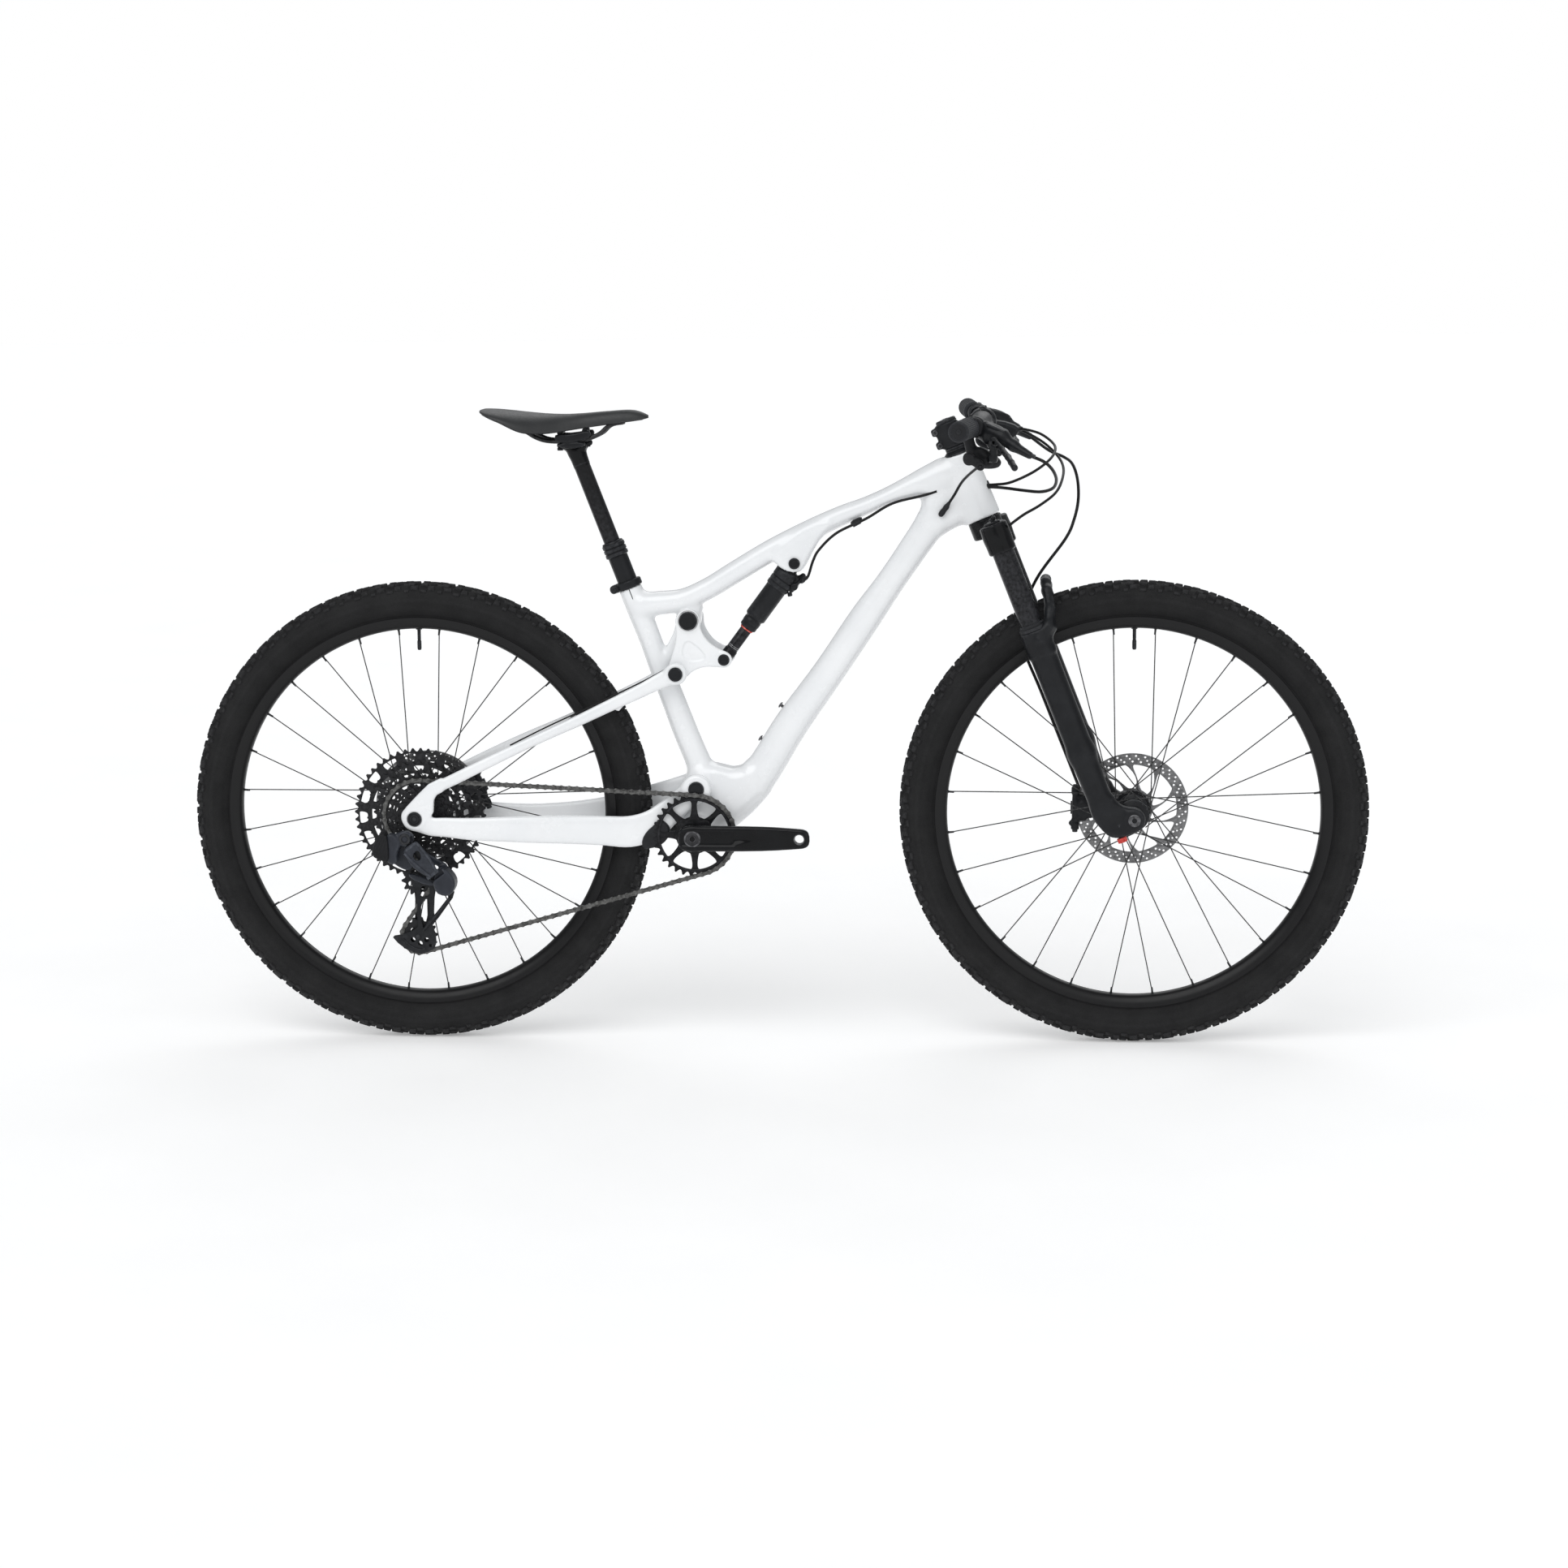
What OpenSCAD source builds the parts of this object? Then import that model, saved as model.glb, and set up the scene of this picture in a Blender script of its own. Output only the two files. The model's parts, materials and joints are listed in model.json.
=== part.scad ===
// Full-suspension mountain bike, millimetres.
// X points forward, Y to the rider's left and Z up. The origin is on the ground,
// in the centre plane, half way between the two wheel axles.

/* [Wheels] */
// Outer radius of the tyres
tyre_r = 375; // [360:1:378]
// Radius of the round tyre section
tyre_section_r = 30.5; // [28:0.5:32]
// Distance between the wheel axles
wheelbase = 1150; // [1140:1:1170]
// Spokes in each wheel
spoke_count = 28; // [24:4:32]
// Outer radius of the brake discs
disc_r = 90; // [80:5:90]

/* [Steering] */
// Head angle from the ground, in degrees
head_angle = 68.7; // [67:0.1:70]
// Length of the head tube
head_len = 108; // [104:1:112]
// Travel of the fork
fork_travel = 120; // [100:5:120]
// Width of the handlebar over its grips
bar_w = 740; // [700:10:760]

/* [Drivetrain] */
// Crank length from spindle to pedal hole
crank_len = 171; // [165:1:175]
// Teeth on the chainring
ring_teeth = 32; // [30:2:32]
// Teeth on the cog that carries the chain
cog_teeth = 28; // [28:1:28]

/* [Seat] */
// Exposed length of the telescopic seat post
post_out = 150; // [140:1:160]

/* [Hidden] */
$fn = 64;

// Colours
paint_c = [0.93, 0.94, 0.95];
black_c = [0.09, 0.09, 0.10];
grey_c = [0.32, 0.33, 0.35];
steel_c = [0.62, 0.63, 0.65];
rubber_c = [0.06, 0.06, 0.07];
red_c = [0.75, 0.08, 0.08];

// Clearances: in a running fit, between touching bodies, and at a glued or pressed joint
run_gap = 0.05;
gap = 0.4;
press_gap = 0.02;

// Wheel axles
rear_x = -wheelbase / 2;
front_x = wheelbase / 2;
axle_z = tyre_r;
rim_seat_r = tyre_r - 2 * tyre_section_r - 3;

// Main points of the frame and its linkage, as [x, z]
bb = [-127, 345];
main_pivot = [-124, 418];
rocker_pivot = [-134.5, 688.5];
stay_pivot = [-154.5, 604.5];
shock_low = [-78, 626];
shock_top = [35.5, 779];
flex_point = [-518, 435];

// A point of the bike, from its place in the steering frame
function steered(f, y, t) = head_base + [
    f * sin(head_angle) - t * cos(head_angle), y, t * sin(head_angle) + f * cos(head_angle)
];

// Steering frame: local z runs up the steering axis, local x forward, local y left
head_base = [335.2, 0, 849.2];
crown_f = 11.9;
leg_y = 66;
crown_low = -60;
crown_high = -8;
leg_high = -188;
axle_t = (head_base[0] - wheelbase / 2) * cos(head_angle) + (tyre_r - head_base[2]) * sin(head_angle);
axle_f = (wheelbase / 2 - head_base[0]) * sin(head_angle) + (tyre_r - head_base[2]) * cos(head_angle);
stem_t = 142;
stem_len = 55;
bar_c = steered(stem_len, 0, stem_t);
bar_bend = [331.5, 75, 1002.5];
bar_end = [304, bar_w / 2 - 3, 1005];

// Seat tube line: a point on it and its upward direction
seat_base = [-222, 716];
seat_lean = 110.7;
post_start = 103;

// Chain and sprockets
pitch = 12.7;
tooth_half = 0.7;
plate_in = 1.15;
plate_out = 2.3;
chain_half = 3.9;
ring_y = -52;
cog_y = -45;
cog_step = 3.45;
cogs = [10, 12, 14, 16, 18, 21, 24, 28, 32, 36, 42, 52];
guide_c = [-579.5, 268.7];
tension_c = [-580, 176];
knuckle_c = [-532, 270];
hanger_c = [-588.5, 345.4];
guide_teeth = 12;
tension_teeth = 14;

function pitch_r(teeth) = pitch / (2 * sin(180 / teeth));
function unit(v) = v / norm(v);
function direction(a) = [cos(a), sin(a)];

// ---------- helpers ----------

// A round bar from p to q
module rod(p, q, r, r2 = undef) {
    d = q - p;
    translate(p)
        rotate([0, acos(d[2] / norm(d)), atan2(d[1], d[0])])
            cylinder(h = norm(d), r1 = r, r2 = is_undef(r2) ? r : r2);
}

// A round bar along Y at c = [x, z], from y0 up to y1
module across(c, y0, y1, r, r2 = undef) {
    translate([c[0], y1, c[1]])
        rotate([90, 0, 0])
            cylinder(h = y1 - y0, r1 = is_undef(r2) ? r : r2, r2 = r);
}

// A plate whose outline is drawn in X and Z, from y0 up to y1
module plate(y0, y1) {
    translate([0, y1, 0])
        rotate([90, 0, 0])
            linear_extrude(y1 - y0)
                children();
}

// A block whose outline is drawn in X and Y, from z0 up to z1
module plan(z0, z1) {
    translate([0, 0, z0])
        linear_extrude(z1 - z0)
            children();
}

// Both sides of the bike
module both_sides() {
    children();
    mirror([0, 1, 0]) children();
}

// Places children in the steering frame
module in_steering() {
    translate(head_base)
        rotate([0, head_angle - 90, 0])
            children();
}

// A turned part about Y at c = [x, z]; its outline is [radius, y]
module turned(c) {
    translate([c[0], 0, c[1]])
        rotate([-90, 0, 0])
            rotate_extrude($fn = 96)
                children();
}

// Places children on the seat tube line, with local z up the tube
module on_seat_line() {
    translate([seat_base[0], 0, seat_base[1]])
        rotate([0, 90 - seat_lean, 0])
            children();
}

// Smooth points through a hand-chosen route
function spline_point(p, i, t) =
    let (
        n = len(p) - 1,
        a = p[max(i - 1, 0)],
        b = p[i],
        c = p[min(i + 1, n)],
        d = p[min(i + 2, n)]
    )
    0.5 * (2 * b + (c - a) * t + (2 * a - 5 * b + 4 * c - d) * t * t
        + (3 * b - a - 3 * c + d) * t * t * t);
function smooth(p, steps) = [
    for (i = [0 : len(p) - 2])
        for (k = [0 : steps - 1])
            spline_point(p, i, k / steps),
    p[len(p) - 1]
];
function tangent(p, i) = unit(p[min(i + 1, len(p) - 1)] - p[max(i - 1, 0)]);
function square_to(t, v) = unit(v - t * (t * v));
// One direction square to the route at each point, carried on without twist
function sides_along(p, v, i = 0) = i == len(p) ? [] :
    let (u = square_to(tangent(p, i), v))
    concat([u], sides_along(p, u, i + 1));
function ring_at(p, i, u, r, sides) =
    let (v = cross(tangent(p, i), u))
    [for (k = [0 : sides - 1]) p[i] + r * (cos(360 * k / sides) * u + sin(360 * k / sides) * v)];

// A cord of radius r along a route, swept as one closed skin
module cord(route, r, steps = 2, sides = 8) {
    path = smooth(route, steps);
    n = len(path);
    across_route = sides_along(path, [0.31, 0.17, 0.93]);
    points = [for (i = [0 : n - 1]) each ring_at(path, i, across_route[i], r, sides)];
    walls = [
        for (i = [0 : n - 2])
            for (k = [0 : sides - 1])
                let (j = (k + 1) % sides)
                [i * sides + k, (i + 1) * sides + k, (i + 1) * sides + j, i * sides + j]
    ];
    start = [[for (k = [0 : sides - 1]) k]];
    finish = [[for (k = [sides - 1 : -1 : 0]) (n - 1) * sides + k]];
    polyhedron(points, concat(walls, start, finish), convexity = 10);
}

// ---------- frame ----------

module down_tube_side() {
    polygon([
        [318, 846], [300, 838], [269, 824], [245, 790], [205, 733], [135, 628], [53, 506],
        [-3, 418], [-47, 372], [-90, 335], [-127, 319], [-152, 335], [-150, 385], [-146, 440],
        [-104, 462], [-57, 446], [-46, 452], [10, 543], [84, 641], [140, 722], [174, 765],
        [209, 819], [240, 878], [290, 925]
    ]);
}

module top_tube_side() {
    polygon([
        [290, 945], [225, 915], [166, 885], [62, 846], [-42, 795], [-95, 759], [-148, 732],
        [-200, 725], [-226, 735], [-240, 700], [-197, 706], [-162, 702], [-154, 690], [-120, 681],
        [-102, 717], [-62, 746], [0, 783], [12, 785], [62, 826], [114, 840], [191, 876], [290, 905]
    ]);
}

module brace_side() {
    polygon([[-117, 694], [-119, 676], [-138, 655], [-172, 606], [-184, 620], [-160, 667], [-155, 690]]);
}

module shock_ears_side() {
    polygon([[5, 780], [22, 766], [48, 766], [60, 785], [72, 812], [96, 838], [60, 836]]);
}

// Left and right shells, ribs and bores are one moulding
module front_triangle() {
    color(paint_c)
    difference() {
        union() {
            plate(-29, 29) down_tube_side();
            plate(-20, 20) top_tube_side();
            plate(-17, 17) brace_side();
            plate(-25, 25) shock_ears_side();
            in_steering() cylinder(h = head_len, r1 = 28, r2 = 25.5);
            rod([-118, 0, 440], [-230.5, 0, 738.4], 18.5);
            across(rocker_pivot, -25, 25, 16);
            across(bb, -46, 46, 26);
            across(main_pivot, -29, 29, 20);
        }
        // Seat post bore
        on_seat_line() translate([0, 0, -210]) cylinder(h = 300, r = 15.87);
        // Headset: bore and bearing seats
        in_steering() translate([0, 0, -20]) cylinder(h = 160, r = 20.6);
        in_steering() translate([0, 0, -5]) cylinder(h = 15, r = 23.6);
        in_steering() translate([0, 0, 96]) cylinder(h = 30, r = 21.6);
        // Bottom bracket and pivots
        across(bb, -60, 60, 20.5);
        across(main_pivot, -60, 60, 10.02);
        across(rocker_pivot, -60, 60, 6.02);
        across(shock_top, -60, 60, 5.02);
        // Room for the shock's can, and the slot between its ears
        on_shock() translate([0, 0, 40]) cylinder(h = 136, r = 23);
        plate(-13.5, 13.5) translate(shock_top) circle(19);
        plate(-13.5, 13.5) polygon([[0, 760], [22, 797], [52, 770], [40, 740]]);
        // Threaded holes for a bottle cage
        for (p = [[15, 545], [-18, 491]])
            translate([p[0], 0, p[1]])
                rotate([0, -53, 0])
                    translate([0, 0, -14])
                        cylinder(h = 30, r = 2.5);
        // Hollow of the down tube
        plate(-25, 25) polygon([
            [236, 848], [212, 806], [178, 755], [88, 630], [28, 548], [-12, 488],
            [8, 446], [50, 512], [132, 634], [200, 734], [240, 792], [262, 830]
        ]);
        // Hollow of the top tube
        plate(-16, 16) polygon([
            [215, 905], [165, 880], [62, 841], [-40, 790], [-90, 755], [-60, 752],
            [0, 790], [62, 832], [114, 846], [190, 881], [240, 902]
        ]);
    }
}

// Headset and bottom-bracket bearings, each a separate ring
module frame_bearings() {
    color(steel_c) {
        in_steering() ring(0.5, 8, 19.95, 23.58);
        in_steering() ring(97, 7, 14.3, 21.58);
        both_sides() difference() {
            union() {
                across(bb, -44, -34, 20.48);
                across(bb, -48, -46.02, 22);
                across(bb, -46.1, -43.9, 20.48);
            }
            across(bb, -60, -20, 14.55);
        }
    }
}

// A ring in the local frame, from z0 with height h
module ring(z0, h, r_in, r_out) {
    translate([0, 0, z0])
        difference() {
            cylinder(h = h, r = r_out);
            translate([0, 0, -1]) cylinder(h = h + 2, r = r_in);
        }
}

// Pins of the swingarm, the rocker and the shock's upper eye
module pivot_axles() {
    color(black_c) {
        across(main_pivot, -47.5, 47.5, 10);
        across(rocker_pivot, -37, 37, 6);
        across(shock_top, -29, 29, 5);
        both_sides() {
            across(main_pivot, -48.6, -46.6, 14);
            across(rocker_pivot, -40, -35, 15);
            across(shock_top, -28.5, -25.02, 9);
        }
    }
}

module seat_clamp() {
    color(black_c) {
        on_seat_line() difference() {
            union() {
                ring(24.4, 12, 15.87, 21.5);
                translate([-30, -9, 24.4]) cube([12, 18, 12]);
            }
            translate([-40, -1, 20]) cube([24, 2, 24]);
            translate([0, 0, 20]) cylinder(h = 24, r = 15.87);
        }
    }
}

// Fixed lower tube of the telescopic seat post
module seatpost_tube() {
    color(black_c)
    on_seat_line() difference() {
        union() {
            translate([0, 0, -190]) cylinder(h = 270, r = 15.85);
            translate([0, 0, 78]) cylinder(h = 25, r = 18.5);
        }
        translate([0, 0, -185]) cylinder(h = 400, r = 13.05);
    }
}

// Screws and blanking plugs on the down tube
module bottle_bolts() {
    color(black_c)
    for (p = [[15, 545], [-18, 491]])
        translate([p[0], 0, p[1]])
            rotate([0, -53, 0]) {
                translate([0, 0, 5.6]) cylinder(h = 3, r = 4.5);
                translate([0, 0, -8]) cylinder(h = 14, r = 2.48);
            }
}

// Rubber plugs where cables enter the frame, and the clip under the top tube
module cable_guides() {
    color(black_c) {
        both_sides() translate([269, -29.02, 857]) rotate([90, 0, 0]) cylinder(h = 4, r = 9);
        both_sides() in_steering() translate([14, -28.6, 46]) rotate([75, 0, 30]) cylinder(h = 6, r = 6);
        plate(-24.5, -20.02) polygon([[128, 838], [144, 842], [144, 852], [128, 848]]);
    }
}

// Hose and cables between the handlebar and the frame's ports
rear_hose_route = [
    [412, -250, 962], [450, -225, 952], [478, -170, 925], [470, -110, 890], [430, -72, 872],
    [380, -55, 884], [345, -42, 898]
];
dropper_route = [
    [392, 158, 981], [440, 140, 975], [478, 90, 950], [462, 20, 905], [420, -35, 882],
    [372, -46, 892], [352, -36, 905]
];
shock_route = [
    [345, -150, 950], [325, -110, 938], [305, -70, 918], [288, -50, 892], [272, -36, 862]
];
shock_low_route = [
    [240, -24, 886], [192, -26, 874], [150, -26.5, 850], [104, -28, 828], [76, -30, 802],
    [66, -34, 784], [58, -33, 760], [50, -26, 752]
];

module frame_cables() {
    color(rubber_c) {
        cord(rear_hose_route, 2.5, 3);
        cord(dropper_route, 2.2, 3);
        cord(shock_route, 2.2, 3);
        cord(shock_low_route, 2.2, 2);
    }
}

// ---------- seat ----------

module seatpost_stanchion() {
    color(black_c)
    on_seat_line() {
        translate([0, 0, -40]) cylinder(h = post_start + post_out + 40 - 4, r = 13);
        translate([0, 0, post_start + post_out - 22]) cylinder(h = 16, r1 = 13.5, r2 = 16);
        translate([0, 15, post_start + post_out - 2]) rotate([90, 0, 0]) cylinder(h = 30, r = 13);
    }
}

rail_r = 3.5;
rail_z = 974;

module saddle_rails() {
    color(grey_c) {
        both_sides() cord([
            [-425, -42, rail_z + 19], [-372, -25, rail_z + 2], [-352, -22, rail_z],
            [-315, -22, rail_z], [-278, -22, rail_z], [-258, -19, rail_z + 3],
            [-226, -8, rail_z + 16]
        ], rail_r, 3, 12);
        difference() {
            translate([-335, -30, rail_z - 4]) cube([42, 60, 14]);
            both_sides() rod([-400, -22, rail_z], [-200, -22, rail_z], rail_r + 0.2);
            translate([-340, -16, rail_z - 20]) cube([60, 32, 21]);
        }
    }
}

module saddle_outline(inset = 0) {
    polygon([
        [-461 + inset, -40], [-461 + inset, 40], [-455, 60 - inset], [-430, 70 - inset],
        [-400, 69 - inset], [-370, 58 - inset], [-330, 36 - inset], [-290, 24 - inset],
        [-230, 20 - inset], [-205, 17 - inset], [-195 - inset, 8], [-195 - inset, -8],
        [-205, -17 + inset], [-230, -20 + inset], [-290, -24 + inset], [-330, -36 + inset],
        [-370, -58 + inset], [-400, -69 + inset], [-430, -70 + inset], [-455, -60 + inset]
    ]);
}

// Stiff shell under the padding, with pockets for the rails
module saddle_base() {
    color(black_c)
    difference() {
        intersection() {
            plan(960, 1040) saddle_outline(5);
            plate(-90, 90) polygon([
                [-470, 1003], [-400, 996], [-300, 994], [-190, 996], [-190, 1000],
                [-300, 999], [-400, 1001], [-470, 1008]
            ]);
        }
        both_sides() rod([-425, -42, 993], [-440, -47, 998], 5);
    }
}

module saddle_cover() {
    color(black_c)
    intersection() {
        plan(960, 1040) saddle_outline();
        plate(-90, 90) polygon([
            [-470, 1008.4], [-470, 1022], [-455, 1027], [-430, 1026], [-380, 1019], [-336, 1017],
            [-280, 1017], [-220, 1016], [-200, 1013], [-190, 1006], [-190, 1000.4],
            [-300, 999.4], [-400, 1001.4]
        ]);
    }
}

// ---------- steering ----------

module fork_crown() {
    color(black_c)
    in_steering() difference() {
        union() {
            translate([0, 0, -6]) cylinder(h = 18, r = 19.9);
            translate([0, 0, 12]) cylinder(h = 34, r1 = 19.9, r2 = 14.25);
            translate([0, 0, 46]) cylinder(h = 114, r = 14.25);
            translate([0, 0, -30]) cylinder(h = 29.5, r = 27);
            intersection() {
                translate([0, 0, -30]) linear_extrude(24) polygon([
                    [-20, -40], [-8, -80], [30, -80], [36, -40], [36, 40], [30, 80], [-8, 80], [-20, 40]
                ]);
                translate([0, 100, 0]) rotate([90, 0, 0]) linear_extrude(200)
                    polygon([[-30, -30], [40, -30], [40, -12], [0, -4], [-30, -12]]);
            }
            for (s = [-1, 1])
                translate([crown_f, s * leg_y, crown_low]) cylinder(h = crown_high - crown_low, r = 22.5);
        }
        for (s = [-1, 1])
            translate([crown_f, s * leg_y, crown_low - 1]) cylinder(h = 46, r = 17.52);
        translate([0, 0, -40]) cylinder(h = 300, r = 11);
    }
}

module stanchions() {
    color(black_c)
    in_steering()
        for (s = [-1, 1])
            translate([crown_f, s * leg_y, 0])
                ring(-385, 369, 15, 17.5);
}

module headset_spacers() {
    color(black_c)
    in_steering() {
        difference() {
            translate([0, 0, head_len + gap]) cylinder(h = 7, r1 = 24.5, r2 = 18);
            translate([0, 0, 90]) cylinder(h = 60, r = 14.27);
        }
        ring(head_len + 7.6, 6, 14.27, 17.5);
        ring(stem_t + 20.2, 6, 3, 16.5);
    }
}

module stem() {
    color(black_c)
    in_steering() difference() {
        union() {
            translate([0, 0, stem_t - 20]) cylinder(h = 40, r = 18.5);
            translate([-27, -13, stem_t - 17]) cube([20, 26, 34]);
            rod([0, 0, stem_t], [stem_len - 17, 0, stem_t], 17, 16);
            translate([stem_len, 22, stem_t]) rotate([90, 0, 0]) cylinder(h = 44, r = 21);
        }
        translate([0, 0, stem_t - 40]) cylinder(h = 80, r = 14.27);
        translate([stem_len, 40, stem_t]) rotate([90, 0, 0]) cylinder(h = 80, r = 17.52);
        translate([stem_len + 2, -40, stem_t - 40]) cube([60, 80, 80]);
        translate([-40, -1.2, stem_t - 30]) cube([30, 2.4, 60]);
    }
}

module stem_faceplate() {
    color(black_c)
    in_steering() {
        difference() {
            translate([stem_len, 22, stem_t]) rotate([90, 0, 0]) cylinder(h = 44, r = 21);
            translate([stem_len, 40, stem_t]) rotate([90, 0, 0]) cylinder(h = 80, r = 17.52);
            translate([stem_len - 40, -40, stem_t - 40]) cube([44, 80, 80]);
        }
        for (s = [-1, 1])
            for (z = [-10, 10])
                translate([-22, s * 13.02, stem_t + z]) rotate([-90 * s, 0, 0]) cylinder(h = 3.5, r = 4);
    }
}

module handlebar() {
    color(black_c) {
        rod(bar_c + [0, -28, 0], bar_c + [0, 28, 0], 17.5);
        both_sides() {
            rod(bar_c + [0, 24, 0], bar_bend, 17.2, 12);
            translate(bar_bend) sphere(r = 12.4);
            rod(bar_bend, bar_end, 11.1);
        }
    }
}

module grips() {
    color(rubber_c)
    both_sides() difference() {
        rod([317.5, 241, 1003.8], bar_end + [0, 3, 0], 16);
        rod(bar_bend, bar_end, 11.14);
    }
}

// Clamp and master cylinder of each brake lever
module brake_masters() {
    color(black_c)
    both_sides() {
        difference() {
            union() {
                translate([324.4, -187, 1003.2]) rotate([90, 0, 0]) cylinder(h = 14, r = 16);
                rod([338, -194, 996], [344, -215, 985], 9);
                rod([344, -205, 988], [405, -246, 964], 10, 6);
            }
            mirror([0, 1, 0]) rod(bar_bend, bar_end, 11.14);
        }
        rod([362, -226, 983], [362, -226, 963], 5);
    }
}

lever_pivot = [352, -232, 978];

// Blade of a brake lever, ending in a hook
module brake_blade() {
    difference() {
        union() {
            translate([lever_pivot[0], lever_pivot[1], lever_pivot[2] - 26]) cylinder(h = 10, r = 8);
            rod([352, -234, 957], [374.5, -262, 962.3], 4.8);
            rod([372.5, -256, 962], [379.3, -320.5, 961], 4.3);
            rod([378.2, -315, 962], [385, -336, 956], 4.6);
        }
        translate([lever_pivot[0], lever_pivot[1], lever_pivot[2] - 40]) cylinder(h = 40, r = 3);
    }
}

module right_brake_lever() {
    color(black_c) brake_blade();
}

module left_brake_lever() {
    color(black_c) mirror([0, 1, 0]) brake_blade();
}

// Pins that the shift paddle and the remote lever turn on
paddle_pin = [334, 946];
remote_pin = [352, 952];
pin_r = 2;

// Electronic shift control under the right side of the bar
module shifter_pod() {
    color(black_c)
    difference() {
        union() {
            rod([312, -210, 992], [322, -210, 955], 8);
            plate(-222, -190) polygon([[314, 968], [318, 944], [340, 936], [364, 940], [355, 958], [336, 973]]);
            across(paddle_pin, -248, -220, pin_r);
        }
        mirror([0, 1, 0]) rod(bar_bend, bar_end, 11.5);
    }
}

module shift_paddle() {
    color(black_c)
    difference() {
        union() {
            plate(-246, -226) polygon([[302, 956], [308, 944], [330, 938], [340, 948], [326, 958], [312, 964]]);
            across(paddle_pin, -246, -226, 6);
        }
        across(paddle_pin, -250, -220, pin_r + press_gap);
    }
}

module remote_pod() {
    color(black_c)
    difference() {
        union() {
            translate([324.1, 160, 1003.2]) rotate([90, 0, 0]) cylinder(h = 12, r = 15);
            plate(140, 176) polygon([
                [328, 994], [336, 962], [342, 946], [362, 946], [366, 956], [392, 976], [390, 986], [356, 994]
            ]);
            across(remote_pin, 175, 217, pin_r);
        }
        rod(bar_bend, bar_end, 11.14);
    }
}

module remote_lever() {
    color(black_c)
    difference() {
        union() {
            plate(177, 215) polygon([[318, 966], [322, 952], [350, 944], [358, 953], [338, 963]]);
            across(remote_pin, 177, 215, 7);
        }
        across(remote_pin, 170, 220, pin_r + press_gap);
    }
}

fork_cable_route = [
    [392, 168, 980], [450, 160, 974], [490, 90, 940], [482, -10, 890], [450, -60, 860],
    [408, -74, 856], [384, -76, 846]
];
front_hose_route = [
    [412, 250, 962], [465, 235, 945], [498, 190, 915], [500, 145, 865], [466, 108, 805],
    [420, 95, 742], [396, 89, 680], [398, 78, 634], [427, 68, 563], [464, 64, 470],
    [482, 58, 425], [492, 46, 402]
];

module fork_cables() {
    color(rubber_c) {
        cord(fork_cable_route, 2.2, 3);
        cord(front_hose_route, 2.5, 3);
    }
}

// ---------- fork lowers ----------

module fork_lowers() {
    color(black_c)
    in_steering() difference() {
        union() {
            for (s = [-1, 1]) {
                translate([crown_f, s * leg_y, -400]) cylinder(h = 400 + leg_high, r = 22);
                translate([crown_f, s * leg_y, -512]) cylinder(h = 113, r1 = 19.5, r2 = 22);
                translate([0, s * leg_y, 0]) leg_foot();
            }
            arch();
        }
        for (s = [-1, 1]) {
            translate([crown_f, s * leg_y, -508]) cylinder(h = 340, r = 17.55);
            translate([axle_f, 90, axle_t]) rotate([90, 0, 0]) cylinder(h = 180, r = 7.52);
        }
    }
}

// Foot of a fork leg, reaching forward to the wheel axle
module leg_foot() {
    translate([0, 11, 0])
        rotate([90, 0, 0])
            linear_extrude(22)
                polygon([
                    [-4, -512], [-2, -535], [10, -547], [40, -549], [60, -545], [66, -530],
                    [62, -515], [44, -508], [31, -500], [30, -512]
                ]);
}

// Bridge that ties the two legs in front of the tyre
module arch() {
    intersection() {
        translate([0, 0, -230]) linear_extrude(120) polygon([
            [36, -74], [44, -46], [44, 46], [36, 74], [16, 79], [16, 88], [40, 84], [62, 56],
            [62, -56], [40, -84], [16, -88], [16, -79]
        ]);
        rotate([90, 0, 90]) linear_extrude(120) polygon([
            [-88, -226], [-88, -202], [-74, -188], [-60, -168], [-46, -134], [-34, -124], [34, -124],
            [46, -134], [60, -168], [74, -188], [88, -202], [88, -226], [66, -226], [58, -194],
            [40, -158], [28, -143], [-28, -143], [-40, -158], [-58, -194], [-66, -226]
        ]);
    }
}

module front_axle() {
    color(grey_c)
    in_steering() {
        translate([axle_f, 77.5, axle_t]) rotate([90, 0, 0]) cylinder(h = 155, r = 7.5);
        translate([axle_f, -77.1, axle_t]) rotate([90, 0, 0]) cylinder(h = 3, r = 10);
    }
}

disc_front_y = 40;
disc_rear_y = 58;

// A brake caliper around the disc's edge; local x points from the axle to the pads
module caliper(disc_y) {
    difference() {
        translate([62, disc_y - 15, -22]) cube([34, 23, 44]);
        translate([50, disc_y - 1.6, -40]) cube([42, 3.2, 80]);
        translate([50, disc_y - 6, -12]) cube([38, 12, 24]);
    }
    for (s = [-1, 1])
        translate([66, disc_y + s * 3.2 - 1.4, -11]) cube([20, 2.8, 22]);
}

module front_caliper() {
    color(black_c)
    in_steering()
        translate([axle_f, 0, axle_t])
            rotate([0, -158, 0])
                caliper(disc_front_y);
}

module rebound_knob() {
    color(red_c)
    in_steering() translate([22, -leg_y, -556.5]) cylinder(h = 8, r = 8);
}

// ---------- wheels ----------

module tyre(c) {
    color(rubber_c)
    turned(c) difference() {
        union() {
            difference() {
                translate([tyre_r - tyre_section_r, 0]) circle(tyre_section_r);
                translate([tyre_r - tyre_section_r, 0]) circle(tyre_section_r - 3.5);
                translate([rim_seat_r - 10, -40]) square([17.5, 80]);
            }
            translate([rim_seat_r + 0.6, 11.4]) square([10, 3]);
            translate([rim_seat_r + 0.6, -14.4]) square([10, 3]);
        }
    }
}

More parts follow.
